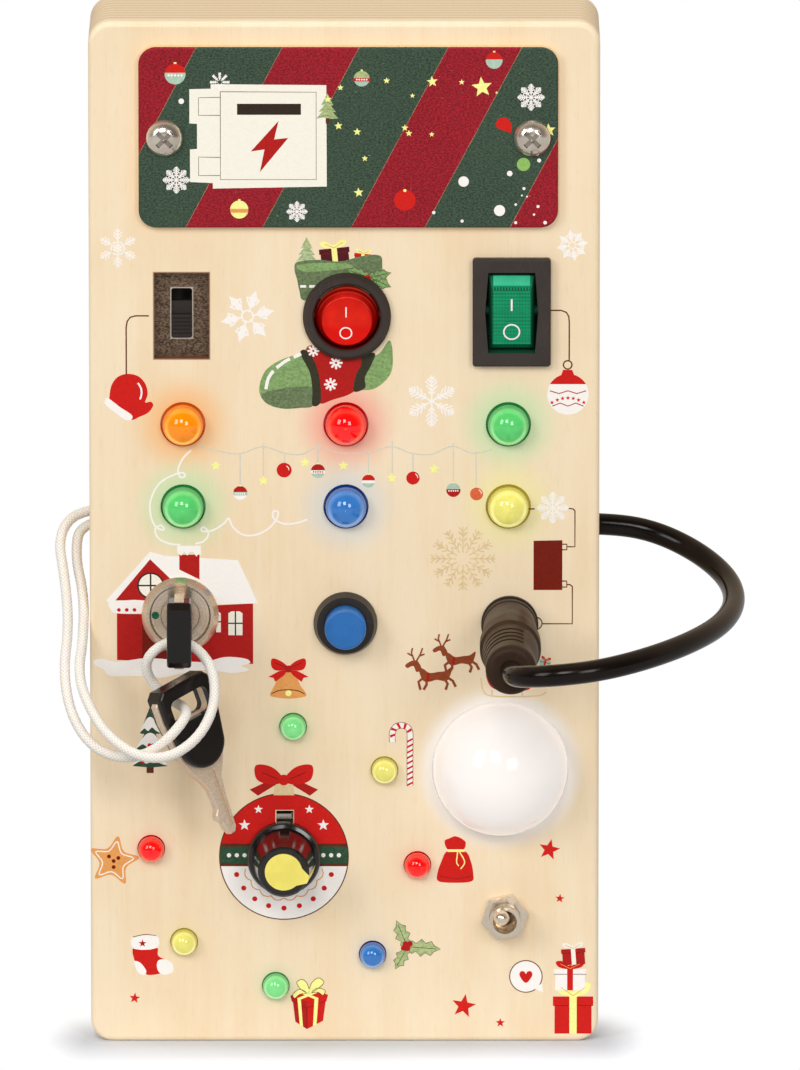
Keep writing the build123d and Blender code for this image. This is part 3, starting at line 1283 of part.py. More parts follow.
with BuildPart() as toggle_lever:
    lean = radians(TOGGLE_LEAN)
    lever_way = toggle_face.z_dir * cos(lean) + toggle_face.y_dir * sin(lean)
    pivot = toggle_face.origin + toggle_face.z_dir * TOGGLE_PIVOT_OUT
    lever_side = Plane(
        origin=pivot, x_dir=toggle_face.x_dir, z_dir=toggle_face.x_dir.cross(lever_way)
    )
    neck_start = (TOGGLE_BALL_R**2 - TOGGLE_NECK_R**2) ** 0.5
    with BuildSketch(lever_side):
        with BuildLine():
            ThreePointArc((0, -TOGGLE_BALL_R), (TOGGLE_BALL_R, 0), (TOGGLE_NECK_R, neck_start))
            Polyline(
                (TOGGLE_NECK_R, neck_start),
                (TOGGLE_NECK_R + 0.1, TOGGLE_BUSH_OUT - TOGGLE_PIVOT_OUT),
                (TOGGLE_TIP_R, TOGGLE_LEVER_L - TOGGLE_TIP_R - 0.8),
                (TOGGLE_TIP_R, TOGGLE_LEVER_L - TOGGLE_TIP_R),
            )
            CenterArc((0, TOGGLE_LEVER_L - TOGGLE_TIP_R), TOGGLE_TIP_R, 0, 90)
            Line((0, TOGGLE_LEVER_L), (0, -TOGGLE_BALL_R))
        make_face()
    revolve(axis=Axis(pivot, lever_way))
save(toggle_lever, "toggle_lever")

# ---------------------------------------------------------------- nuts on the threaded barrels
with BuildPart() as panel_nuts:
    for x, z, out, thickness, flats, thread_r, turn in [
        (KNOB_X, KNOB_Z, 0.0, POT_NUT_T, POT_NUT_AF, POT_BUSH_R, 0),
        (TOGGLE_X, TOGGLE_Z, 0.0, TOGGLE_NUT_T, TOGGLE_NUT_AF, TOGGLE_BUSH_R, 12),
        (BUTTON_X, BUTTON_Z, -PANEL_T - BARREL_NUT_T, BARREL_NUT_T, BUTTON_NUT_AF, BUTTON_BARREL_R, 0),
        (LOCK_X, LOCK_Z, -PANEL_T - BARREL_NUT_T, BARREL_NUT_T, LOCK_NUT_AF, LOCK_BARREL_R, 0),
        (PLUG_X, PLUG_Z, -PANEL_T - BARREL_NUT_T, BARREL_NUT_T, SOCKET_NUT_AF, SOCKET_BARREL_R, 0),
    ]:
        with BuildSketch(on_face(x, z, out)):
            RegularPolygon(flats / 2 / cos(pi / 6), 6, rotation=turn)
            Circle(thread_r + THREAD_GAP, mode=Mode.SUBTRACT)
        extrude(amount=thickness)
save(panel_nuts, "panel_nuts")

# ---------------------------------------------------------------- plug cable and its stop
with BuildPart() as plug_cable:
    with BuildLine() as cable_line:
        FilletPolyline(*CABLE_ROUTE, radius=bend_radii(CABLE_ROUTE))
    with BuildSketch(Plane(origin=CABLE_ROUTE[0], z_dir=cable_line.line % 0)):
        Circle(CABLE_D / 2)
    sweep(path=cable_line.line)
save(plug_cable, "plug_cable")
report_cord("plug_cable", plug_cable, cable_line.wires()[0], CABLE_ROUTE, CABLE_D)

with BuildPart() as cable_stop:
    stop_plane = Plane(origin=(CAVITY_HALF, CABLE_Y, CABLE_Z), z_dir=(-1, 0, 0))
    with BuildSketch(stop_plane):
        Circle(CABLE_STOP_R)
    extrude(amount=CABLE_STOP_L)
    fillet(cable_stop.edges().sort_by(Axis.X)[0], 0.8)
save(cable_stop, "cable_stop")

# ---------------------------------------------------------------- key cord and its knot
with BuildPart() as key_cord:
    with BuildLine() as string_line:
        FilletPolyline(*STRING_ROUTE, radius=bend_radii(STRING_ROUTE))
    with BuildSketch(Plane(origin=STRING_ROUTE[0], z_dir=string_line.line % 0)):
        Circle(STRING_D / 2)
    sweep(path=string_line.line)
save(key_cord, "key_cord")
report_cord("key_cord", key_cord, string_line.wires()[0], STRING_ROUTE, STRING_D)

with BuildPart() as cord_knot:
    knot_plane = Plane(origin=(-CAVITY_HALF, 0, STRING_Z), z_dir=(1, 0, 0))
    with BuildSketch(knot_plane):
        Circle(KNOT_R)
    extrude(amount=KNOT_L)
    fillet(cord_knot.edges().filter_by(GeomType.CIRCLE).sort_by(Axis.X)[-1], 1.4)
save(cord_knot, "cord_knot")
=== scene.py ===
"""Visual model of a wooden busy board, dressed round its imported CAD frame.

Lengths of the object are in millimetres until a mesh or a node tree is made: MM turns them into metres
there. X runs to the right, the front faces -Y and +Z is up, as in the CAD frame. "out" is a distance in
front of the board's front face.
"""

import logging
import math
from dataclasses import dataclass, field, replace
from enum import Enum
from typing import Iterable, Sequence

import bmesh
import bpy
from mathutils import Matrix, Vector
from mathutils.geometry import tessellate_polygon


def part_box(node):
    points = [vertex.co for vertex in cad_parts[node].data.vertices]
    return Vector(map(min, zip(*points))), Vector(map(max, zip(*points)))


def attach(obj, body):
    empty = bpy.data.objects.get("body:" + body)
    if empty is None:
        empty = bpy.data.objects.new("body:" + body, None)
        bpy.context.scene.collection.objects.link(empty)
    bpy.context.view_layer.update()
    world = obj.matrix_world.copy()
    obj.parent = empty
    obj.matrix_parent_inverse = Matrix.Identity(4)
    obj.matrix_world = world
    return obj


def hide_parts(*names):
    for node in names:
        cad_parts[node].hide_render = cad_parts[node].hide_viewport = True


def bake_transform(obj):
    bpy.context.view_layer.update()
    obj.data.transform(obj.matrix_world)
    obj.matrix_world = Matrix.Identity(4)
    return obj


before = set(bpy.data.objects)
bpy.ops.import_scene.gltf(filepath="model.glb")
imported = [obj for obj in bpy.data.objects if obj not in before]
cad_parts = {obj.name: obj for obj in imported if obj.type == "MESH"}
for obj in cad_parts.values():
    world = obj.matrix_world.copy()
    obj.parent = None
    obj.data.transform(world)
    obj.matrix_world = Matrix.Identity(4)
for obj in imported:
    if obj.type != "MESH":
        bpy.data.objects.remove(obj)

LOG = logging.getLogger("busy_board")
MM = 0.001
FACE_Y = -15.0
BOARD_W = 98.0
BOARD_H = 200.0
COVER_OUT = 2.0
BRAID_STRANDS = 8.0
BRAID_TURNS = 2.6
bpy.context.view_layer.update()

Flat = tuple[float, float]
Spot = tuple[float, float, float]
Paint = tuple[float, float, float, float]


# ------------------------------------------------------------------ colours and small geometry
def paint(red: int, green: int, blue: int) -> Paint:
    """Turns a screen colour into a scene colour.

    Args:
        red: Red from 0 to 255.
        green: Green from 0 to 255.
        blue: Blue from 0 to 255.

    Returns:
        The linear colour with full alpha.
    """
    def linear(level: int) -> float:
        """One channel without its screen curve."""
        share = level / 255
        return share / 12.92 if share <= 0.04045 else ((share + 0.055) / 1.055) ** 2.4

    return (linear(red), linear(green), linear(blue), 1.0)


def at(x: float, z: float, out: float = 0.0) -> Vector:
    """A point of the front face, or in front of it, in metres."""
    return Vector((x * MM, (FACE_Y - out) * MM, z * MM))


def polar(x: float, z: float, reach: float, degrees: float) -> Flat:
    """The point at a distance and direction from a centre."""
    return (x + reach * math.cos(math.radians(degrees)), z + reach * math.sin(math.radians(degrees)))


def circle(x: float, z: float, radius: float, steps: int = 32, start: float = 0.0) -> list[Flat]:
    """The corners of a round outline, the first one at start degrees."""
    return [polar(x, z, radius, start + 360 * i / steps) for i in range(steps)]


def star(x: float, z: float, radius: float, turn: float = 90.0, waist: float = 0.42) -> list[Flat]:
    """The ten corners of a five-pointed star."""
    return [polar(x, z, radius * (waist if i % 2 else 1), turn + 36 * i) for i in range(10)]


def looped(points: Sequence[Flat]) -> list[Flat]:
    """A row of points with the first one again at its end."""
    return [*points, points[0]]


def placed(points: Sequence[Flat], x: float, z: float, turn: float = 0.0, scale: float = 1.0) -> list[Flat]:
    """Points turned by some degrees, scaled and moved to a spot."""
    cos, sin = math.cos(math.radians(turn)), math.sin(math.radians(turn))
    return [(x + scale * (a * cos - b * sin), z + scale * (a * sin + b * cos)) for a, b in points]


def smooth(points: Sequence[Flat], closed: bool = True, steps: int = 6) -> list[Flat]:
    """Rounds a row of corners with a Catmull-Rom line through all of them.

    Args:
        points: The corners that the line passes.
        closed: Whether the line ends where it starts.
        steps: How many points each stretch gets.

    Returns:
        The points of the rounded line.
    """
    count = len(points)
    stretches = count if closed else count - 1
    line: list[Flat] = []
    for i in range(stretches):
        p = [
            points[(i + k) % count] if closed else points[min(max(i + k, 0), count - 1)]
            for k in (-1, 0, 1, 2)
        ]
        for step in range(steps):
            t = step / steps
            weights = (
                -0.5 * t + t * t - 0.5 * t**3,
                1 - 2.5 * t * t + 1.5 * t**3,
                0.5 * t + 2 * t * t - 1.5 * t**3,
                -0.5 * t * t + 0.5 * t**3,
            )
            line.append(tuple(sum(w * q[axis] for w, q in zip(weights, p)) for axis in (0, 1)))
    if not closed:
        line.append(tuple(points[-1]))
    return line


# ------------------------------------------------------------------ node trees
class Tree:
    """Short calls for making and joining the nodes of one tree."""

    def __init__(self, tree: bpy.types.NodeTree) -> None:
        """Keeps the tree that the calls work on."""
        self.tree = tree

    def add(self, kind: str, inputs: dict | None = None, **settings: object) -> bpy.types.Node:
        """Makes a node.

        Args:
            kind: The node's type name.
            inputs: Values or sockets for its inputs, by name or number.
            **settings: Its other properties.

        Returns:
            The new node.
        """
        node = self.tree.nodes.new(kind)
        for key, value in settings.items():
            setattr(node, key, value)
        for key, value in (inputs or {}).items():
            if isinstance(value, bpy.types.NodeSocket):
                self.tree.links.new(value, node.inputs[key])
            else:
                node.inputs[key].default_value = value
        return node

    def math(self, operation: str, *values: object, clamp: bool = False) -> bpy.types.NodeSocket:
        """The result of a Math node."""
        node = self.add("ShaderNodeMath", dict(enumerate(values)), operation=operation)
        node.use_clamp = clamp
        return node.outputs[0]

    def times(self, first: object, second: object, clamp: bool = False) -> bpy.types.NodeSocket:
        """The product of two values."""
        return self.math("MULTIPLY", first, second, clamp=clamp)

    def plus(self, first: object, second: object) -> bpy.types.NodeSocket:
        """The sum of two values."""
        return self.math("ADD", first, second)

    def minus(self, first: object, second: object, clamp: bool = False) -> bpy.types.NodeSocket:
        """The first value less the second."""
        return self.math("SUBTRACT", first, second, clamp=clamp)

    def size(self, value: object) -> bpy.types.NodeSocket:
        """A value without its sign."""
        return self.math("ABSOLUTE", value)

    def reach(self, across: object, up: object) -> bpy.types.NodeSocket:
        """The distance that two steps at a right angle make."""
        return self.math("SQRT", self.plus(self.times(across, across), self.times(up, up)))

    def mix(self, share: object, first: object, second: object, how: str = "MIX") -> bpy.types.NodeSocket:
        """The result of a colour Mix node."""
        node = self.add(
            "ShaderNodeMix", {0: share, 6: first, 7: second}, data_type="RGBA", blend_type=how
        )
        return node.outputs[2]

    def span(self, value: object, low: float, high: float, to_low: float = 0.0, to_high: float = 1.0,
             how: str = "SMOOTHSTEP") -> bpy.types.NodeSocket:
        """A value carried from one range to another, clamped and eased at the ends."""
        node = self.add(
            "ShaderNodeMapRange", {0: value, 1: low, 2: high, 3: to_low, 4: to_high},
            interpolation_type=how,
        )
        return node.outputs[0]

    def noise(self, vector: object, scale: float, detail: float = 2.0,
            rough: float = 0.5) -> bpy.types.NodeSocket:
        """The grey value of a Noise Texture node."""
        node = self.add(
            "ShaderNodeTexNoise",
            {"Vector": vector, "Scale": scale, "Detail": detail, "Roughness": rough},
        )
        return node.outputs[0]

    def place(self, centre: Spot = (0.0, 0.0, 0.0), turn: Spot = (0.0, 0.0, 0.0),
              scale: Spot = (1.0, 1.0, 1.0)) -> bpy.types.NodeSocket:
        """Object coordinates in metres, centred on a point given in millimetres."""
        where = self.add("ShaderNodeTexCoord").outputs["Object"]
        node = self.add(
            "ShaderNodeMapping",
            {
                "Vector": where,
                "Location": [c * MM for c in centre],
                "Rotation": [math.radians(a) for a in turn],
                "Scale": scale,
            },
            vector_type="TEXTURE",
        )
        return node.outputs[0]

    def stretch(self, vector: object, scale: Spot) -> bpy.types.NodeSocket:
        """A vector multiplied by three numbers."""
        node = self.add("ShaderNodeVectorMath", {0: vector, 1: scale}, operation="MULTIPLY")
        return node.outputs[0]

    def parts(self, vector: object) -> bpy.types.NodeOutputs:
        """A vector's X, Y and Z."""
        return self.add("ShaderNodeSeparateXYZ", {0: vector}).outputs

    def away(self, xyz: Sequence[object], x: float, z: float) -> bpy.types.NodeSocket:
        """The distance from a spot of the face, seen from the front."""
        return self.reach(self.minus(xyz[0], x * MM), self.minus(xyz[2], z * MM))

    def past(self, xyz: Sequence[object], x: float, z: float, half_w: float,
            half_h: float) -> bpy.types.NodeSocket:
        """How far a point lies outside an upright rectangle of the face."""
        beside = self.minus(self.size(self.minus(xyz[0], x * MM)), half_w * MM)
        above = self.minus(self.size(self.minus(xyz[2], z * MM)), half_h * MM)
        return self.math("MAXIMUM", beside, above)

    def group(self, tree: bpy.types.NodeTree, **inputs: object) -> bpy.types.Node:
        """Places a shared group and sets its inputs by name, with _ for a space."""
        node = self.add("ShaderNodeGroup", node_tree=tree)
        for key, value in inputs.items():
            socket = node.inputs[key.replace("_", " ")]
            if isinstance(value, bpy.types.NodeSocket):
                self.tree.links.new(value, socket)
            else:
                socket.default_value = value
        return node


def shader_group(name: str, inputs: dict[str, object],
        outputs: dict[str, str]) -> tuple[Tree, bpy.types.Node, bpy.types.Node]:
    """Starts a shared shader group with named sockets.

    Args:
        name: The group's name.
        inputs: Default value by input name; a tuple makes a vector input, None a bare vector.
        outputs: Socket type by output name.

    Returns:
        The tree, its input node and its output node.
    """
    tree = bpy.data.node_groups.new(name, "ShaderNodeTree")
    for key, value in inputs.items():
        kind = "NodeSocketVector" if value is None or isinstance(value, tuple) else "NodeSocketFloat"
        socket = tree.interface.new_socket(key, in_out="INPUT", socket_type=kind)
        if value is not None:
            socket.default_value = value
    for key, kind in outputs.items():
        tree.interface.new_socket(key, in_out="OUTPUT", socket_type=kind)
    desk = Tree(tree)
    return desk, desk.add("NodeGroupInput"), desk.add("NodeGroupOutput")


class Effects:
    """The shader groups that more than one finish uses, each built once."""

    def __init__(self) -> None:
        """Builds every group."""
        self.streaks = self._streaks()
        self.moulded = self._moulded()
        self.flecks = self._flecks()
        self.turned = self._turned()
        self.scuffs = self._scuffs()

    @staticmethod
    def _streaks() -> bpy.types.NodeTree:
        """Pale wood: long soft streaks, fine pores and the height they leave."""
        desk, given, result = shader_group(
            "wood_streaks", {"Vector": None, "Width": 1.0},
            {"Tone": "NodeSocketFloat", "Pores": "NodeSocketFloat", "Height": "NodeSocketFloat"},
        )
        spread = desk.add("ShaderNodeVectorMath", {0: given.outputs[0]}, operation="SCALE")
        desk.tree.links.new(given.outputs[1], spread.inputs["Scale"])
        wide = desk.noise(desk.stretch(spread.outputs[0], (90, 90, 5)), 1.0, 3.0, 0.55)
        fine = desk.noise(desk.stretch(spread.outputs[0], (900, 900, 42)), 1.0, 4.0, 0.6)
        pores = desk.noise(desk.stretch(spread.outputs[0], (2600, 2600, 260)), 1.0, 2.0, 0.5)
        tone = desk.plus(desk.times(wide, 0.6), desk.times(fine, 0.4))
        marks = desk.span(pores, 0.56, 0.74)
        height = desk.minus(desk.times(fine, 0.5), desk.times(marks, 0.5))
        for name, value in (("Tone", tone), ("Pores", marks), ("Height", height)):
            desk.tree.links.new(value, result.inputs[name])
        return desk.tree

    @staticmethod
    def _moulded() -> bpy.types.NodeTree:
        """Moulded plastic: a fine satin grain and slow changes of gloss."""
        desk, given, result = shader_group(
            "moulded_skin", {"Vector": None, "Grain": 3.0},
            {"Height": "NodeSocketFloat", "Gloss": "NodeSocketFloat"},
        )
        size = desk.times(given.outputs[1], 1000.0)
        grain = desk.add("ShaderNodeTexNoise", {"Vector": given.outputs[0], "Detail": 2.0})
        desk.tree.links.new(size, grain.inputs["Scale"])
        cloud = desk.noise(given.outputs[0], 160.0, 3.0, 0.6)
        desk.tree.links.new(grain.outputs[0], result.inputs["Height"])
        desk.tree.links.new(cloud, result.inputs["Gloss"])
        return desk.tree

    @staticmethod
    def _flecks() -> bpy.types.NodeTree:
        """Short level flecks where bare wood shows through print."""
        desk, given, result = shader_group(
            "bare_flecks", {"Vector": None, "Amount": 0.5}, {"Mask": "NodeSocketFloat"}
        )
        field_a = desk.noise(desk.stretch(given.outputs[0], (900, 900, 4200)), 1.0, 2.0, 0.55)
        field_b = desk.noise(desk.stretch(given.outputs[0], (130, 130, 130)), 1.0, 2.0, 0.5)
        level = desk.plus(field_a, desk.times(field_b, 0.18))
        edge = desk.minus(0.93, desk.times(given.outputs[1], 0.16))
        mask = desk.times(desk.minus(level, edge), 22.0, clamp=True)
        desk.tree.links.new(mask, result.inputs["Mask"])
        return desk.tree

    @staticmethod
    def _turned() -> bpy.types.NodeTree:
        """Turned metal: fine rings round the piece's own Y axis."""
        desk, given, result = shader_group(
            "turned_rings", {"Vector": None, "Pitch": 0.12},
            {"Height": "NodeSocketFloat", "Tone": "NodeSocketFloat"},
        )
        xyz = desk.parts(given.outputs[0])
        flat = desk.add("ShaderNodeCombineXYZ", {0: xyz[0], 1: 0.0, 2: xyz[2]})
        radius = desk.add("ShaderNodeVectorMath", {0: flat.outputs[0]}, operation="LENGTH").outputs["Value"]
        steps = desk.math("DIVIDE", radius, desk.times(given.outputs[1], MM))
        rings = desk.add("ShaderNodeTexNoise", {"W": steps, "Scale": 1.0, "Detail": 3.0},
            noise_dimensions="1D")
        desk.tree.links.new(rings.outputs[0], result.inputs["Height"])
        slow = desk.add("ShaderNodeTexNoise", {"W": steps, "Scale": 0.23, "Detail": 2.0},
            noise_dimensions="1D")
        desk.tree.links.new(slow.outputs[0], result.inputs["Tone"])
        return desk.tree

    @staticmethod
    def _scuffs() -> bpy.types.NodeTree:
        """Light handling marks: thin curved scratches and dull patches."""
        desk, given, result = shader_group(
            "handling_scuffs", {"Vector": None, "Amount": 0.3}, {"Mask": "NodeSocketFloat"}
        )
        bend = desk.noise(given.outputs[0], 120.0, 2.0, 0.5)
        wave = desk.add(
            "ShaderNodeTexVoronoi",
            {"Vector": desk.stretch(given.outputs[0], (500, 500, 140)), "Scale": 1.0},
            feature="DISTANCE_TO_EDGE",
        )
        line = desk.span(wave.outputs["Distance"], 0.0, 0.03, 1.0, 0.0)
        patch = desk.span(bend, 0.5, 0.68)
        mask = desk.times(desk.times(line, patch), given.outputs[1])
        desk.tree.links.new(mask, result.inputs["Mask"])
        return desk.tree


EFFECTS = Effects()


class Shade(Tree):
    """One material: its node tree with the Principled BSDF at hand."""

    def __init__(self, name: str) -> None:
        """Makes the material and finds its shader."""
        self.material = bpy.data.materials.new(name)
        self.material.use_nodes = True
        super().__init__(self.material.node_tree)
        self.skin = self.tree.nodes["Principled BSDF"]

    def set(self, **values: object) -> "Shade":
        """Sets or joins inputs of the shader by name, with _ for a space."""
        for key, value in values.items():
            socket = self.skin.inputs[key.replace("_", " ")]
            if isinstance(value, bpy.types.NodeSocket):
                self.tree.links.new(value, socket)
            else:
                socket.default_value = value
        return self

    def bump(self, height: object, strength: float, depth_mm: float) -> "Shade":
        """Joins a height to the shader's normal."""
        node = self.add(
            "ShaderNodeBump", {"Height": height, "Strength": strength, "Distance": depth_mm * MM}
        )
        self.tree.links.new(node.outputs[0], self.skin.inputs["Normal"])
        return self


# ------------------------------------------------------------------ finishes
class Finish:
    """What a surface is made of."""

    def nodes(self, shade: Shade) -> None:
        """Builds the finish in a new material."""
        raise NotImplementedError

    def make(self, name: str) -> bpy.types.Material:
        """A new material of this finish."""
        shade = Shade(name)
        self.nodes(shade)
        return shade.material


@dataclass(frozen=True)
class PaintedGlow:
    """A lamp's light painted on the wood round it, as a halo, and on the walls of its hole."""

    x: float
    z: float
    colour: Paint
    inner: float
    outer: float
    share: float
    hole: float = 0.0
    # The hole walls' painted lamp light; the default is the scorched wood's own colour.
    wall: Paint = paint(96, 58, 32)


@dataclass(frozen=True)
class BirchFace(Finish):
    """The clear-coated front sheet: pale streaked wood and scorched cut walls, with lamp light painted as
    halos round the lamps and on the walls of their holes.
    """

    painted_glows: tuple[PaintedGlow, ...] = ()
    cuts: tuple[tuple[float, float, float, float], ...] = ()
    pale: Paint = paint(252, 231, 197)
    deep: Paint = paint(247, 219, 178)
    scorch: Paint = paint(96, 58, 32)

    def nodes(self, shade: Shade) -> None:
        """Builds the finish.

        Args:
            shade: The material that it is built in.
        """
        where = shade.place()
        grain = shade.group(EFFECTS.streaks, Vector=where, Width=1.0)
        figure = shade.noise(shade.stretch(where, (85, 85, 46)), 1.0, 4.0, 0.6)
        tone = shade.plus(shade.times(grain.outputs["Tone"], 0.6), shade.times(figure, 0.4))
        wood = shade.mix(shade.span(tone, 0.3, 0.66), self.deep, self.pale)
        wood = shade.mix(shade.times(grain.outputs["Pores"], 0.1), wood, paint(206, 160, 108))
        xyz = shade.parts(where)
        reach = [shade.away(xyz, glow.x, glow.z) for glow in self.painted_glows]
        # Painted light: each lamp's halo mixed into the wood's colour round it.
        for away, glow in zip(reach, self.painted_glows):
            share = shade.span(away, glow.inner * MM, glow.outer * MM, glow.share, 0.0)
            wood = shade.mix(share, wood, glow.colour)
        facing = shade.parts(shade.add("ShaderNodeNewGeometry").outputs["True Normal"])
        edge = shade.math("LESS_THAN", shade.size(facing[1]), 0.3)
        inside_x = shade.math("LESS_THAN", shade.size(xyz[0]), (BOARD_W / 2 - 0.6) * MM)
        middle = shade.size(shade.minus(xyz[2], BOARD_H / 2 * MM))
        inside_z = shade.math("LESS_THAN", middle, (BOARD_H / 2 - 0.6) * MM)
        corner_x = shade.math("GREATER_THAN", shade.size(xyz[0]), (BOARD_W / 2 - 6.5) * MM)
        corner_z = shade.math("GREATER_THAN", middle, (BOARD_H / 2 - 6.5) * MM)
        inner = shade.minus(shade.times(inside_x, inside_z), shade.times(corner_x, corner_z), clamp=True)
        cut = shade.times(edge, inner)
        scorch_and_lamp_light = shade.mix(shade.span(shade.noise(where, 900.0, 3.0), 0.35, 0.7), self.scorch,
            paint(48, 30, 20))
        # Painted light: inside a lamp's hole the cut walls take its light's colour instead of the scorch.
        for away, glow in zip(reach, self.painted_glows):
            if glow.hole:
                scorch_and_lamp_light = shade.mix(shade.math("LESS_THAN", away, glow.hole * MM), scorch_and_lamp_light, glow.wall)
        wood = shade.mix(cut, wood, scorch_and_lamp_light)
        for x, z, half_w, half_h in self.cuts:
            burnt = shade.span(shade.past(xyz, x, z, half_w, half_h), 0.12 * MM, 0.34 * MM, 0.85, 0.0)
            wood = shade.mix(burnt, wood, paint(126, 70, 32))
        gloss = shade.span(grain.outputs["Tone"], 0.2, 0.8, 0.34, 0.46, how="LINEAR")
        shade.set(Base_Color=wood, Roughness=gloss, Coat_Weight=0.15, Coat_Roughness=0.25)
        shade.bump(grain.outputs["Height"], 0.35, 0.05)


@dataclass(frozen=True)
class PlyEdge(Finish):
    """Sanded plywood seen from its edge: plies across the thickness with end grain."""

    pale: Paint = paint(238, 216, 182)
    deep: Paint = paint(204, 172, 130)
    ply: float = 1.33

    def nodes(self, shade: Shade) -> None:
        """Builds the finish.

        Args:
            shade: The material that it is built in.
        """
        where = shade.place()
        xyz = shade.parts(where)
        ripple = shade.times(shade.noise(where, 60.0, 2.0), 0.25)
        count = shade.plus(shade.math("DIVIDE", xyz[1], self.ply * MM), ripple)
        wave = shade.math("SINE", shade.times(count, math.pi))
        ply = shade.span(wave, -0.5, 0.5)
        along = shade.noise(shade.stretch(where, (60, 2400, 60)), 1.0, 3.0, 0.6)
        pores = shade.span(shade.noise(shade.stretch(where, (1500, 2600, 1500)), 1.0, 2.0), 0.5, 0.75)
        wood = shade.mix(shade.times(ply, 0.55), self.pale, self.deep)
        wood = shade.mix(shade.span(along, 0.3, 0.75, 0.0, 0.35), wood, paint(232, 203, 158))
        seen = shade.times(pores, shade.times(ply, 0.35))
        wood = shade.mix(seen, wood, paint(168, 124, 78))
        glue = shade.span(shade.size(wave), 0.0, 0.16, 0.4, 0.0)
        wood = shade.mix(glue, wood, paint(186, 146, 98))
        shade.set(Base_Color=wood, Roughness=shade.span(along, 0.2, 0.8, 0.42, 0.6))
        shade.bump(shade.plus(pores, shade.times(ply, 0.4)), 0.3, 0.06)


@dataclass(frozen=True)
class Stripes(Finish):
    """A printed sheet with leaning stripes, bare at its cut edges."""

    bounds: tuple[float, ...]
    lean: float
    middle_z: float
    first: Paint
    second: Paint
    amount: float = 0.5

    def nodes(self, shade: Shade) -> None:
        """Builds the finish.

        Args:
            shade: The material that it is built in.
        """
        where = shade.place()
        xyz = shade.parts(where)
        up = shade.minus(xyz[2], self.middle_z * MM)
        along = shade.minus(xyz[0], shade.times(up, self.lean))
        colour: object = self.first
        for i, bound in enumerate(self.bounds):
            past = shade.math("GREATER_THAN", along, bound * MM)
            colour = shade.mix(past, colour, self.first if i % 2 else self.second)
            offset = shade.size(shade.minus(along, (bound + 0.02) * MM))
            seam = shade.math("LESS_THAN", offset, 0.07 * MM)
            colour = shade.mix(shade.times(seam, 0.6), colour, paint(178, 140, 104))
        skin = shade.noise(shade.stretch(where, (2300, 2300, 3600)), 1.0, 2.0, 0.6)
        cloud = shade.noise(where, 55.0, 3.0, 0.5)
        tone = shade.plus(shade.span(skin, 0.32, 0.68, 0.62, 1.42),
            shade.span(cloud, 0.3, 0.7, -0.04, 0.04))
        colour = shade.mix(1.0, colour, tone, "MULTIPLY")
        bare = shade.group(EFFECTS.flecks, Vector=where, Amount=self.amount).outputs[0]
        colour = shade.mix(shade.times(bare, 0.6), colour, paint(226, 214, 198))
        facing = shade.parts(shade.add("ShaderNodeNewGeometry").outputs["True Normal"])
        edge = shade.math("GREATER_THAN", facing[1], -0.35)
        grain = shade.noise(shade.stretch(where, (300, 2500, 300)), 1.0, 3.0)
        wood = shade.mix(grain, paint(222, 176, 120), paint(248, 218, 170))
        colour = shade.mix(edge, colour, wood)
        shade.set(Base_Color=colour, Roughness=shade.span(skin, 0.3, 0.7, 0.4, 0.55),
            Specular_IOR_Level=0.15)
        shade.bump(shade.plus(skin, bare), 0.4, 0.05)


@dataclass(frozen=True)
class Ink(Finish):
    """Print on the wood: a thin flat coat that lets grain and small bare flecks through."""

    colour: Paint
    cover: float = 0.995
    amount: float = 0.2
    mottle: float = 0.1
    under: Paint = paint(248, 228, 192)

    def nodes(self, shade: Shade) -> None:
        """Builds the finish.

        Args:
            shade: The material that it is built in.
        """
        where = shade.place()
        skin = shade.noise(shade.stretch(where, (1900, 1900, 2600)), 1.0, 2.0, 0.6)
        tone = shade.span(skin, 0.3, 0.7, 1.0 - self.mottle, 1.0 + self.mottle)
        colour = shade.mix(1.0, self.colour, tone, "MULTIPLY")
        colour = shade.mix(1.0 - self.cover, colour, self.under)
        bare = shade.group(EFFECTS.flecks, Vector=where, Amount=self.amount).outputs[0]
        colour = shade.mix(shade.times(bare, 0.4), colour, self.under)
        shade.set(Base_Color=colour, Roughness=shade.span(skin, 0.3, 0.7, 0.45, 0.6),
            Specular_IOR_Level=0.1)
        shade.bump(skin, 0.2, 0.03)


@dataclass(frozen=True)
class WellLight:
    """Painted light inside a switch's opening: the colour that the clear button standing in it throws
    there.
    """

    x: float
    z: float
    half_w: float
    half_h: float
    out: float
    colour: Paint

    def mask(self, shade: Shade, where: bpy.types.NodeSocket) -> bpy.types.NodeSocket:
        """One inside the opening below the bezel's top, zero elsewhere."""
        xyz = shade.parts(where)
        across = shade.math("DIVIDE", shade.minus(xyz[0], self.x * MM), self.half_w * MM)
        up = shade.math("DIVIDE", shade.minus(xyz[2], self.z * MM), self.half_h * MM)
        if self.half_w == self.half_h:
            reach = shade.reach(across, up)
        else:
            reach = shade.math("MAXIMUM", shade.size(across), shade.size(up))
        below = shade.math("GREATER_THAN", xyz[1], (FACE_Y - self.out) * MM)
        return shade.times(shade.math("LESS_THAN", reach, 1.0), below)


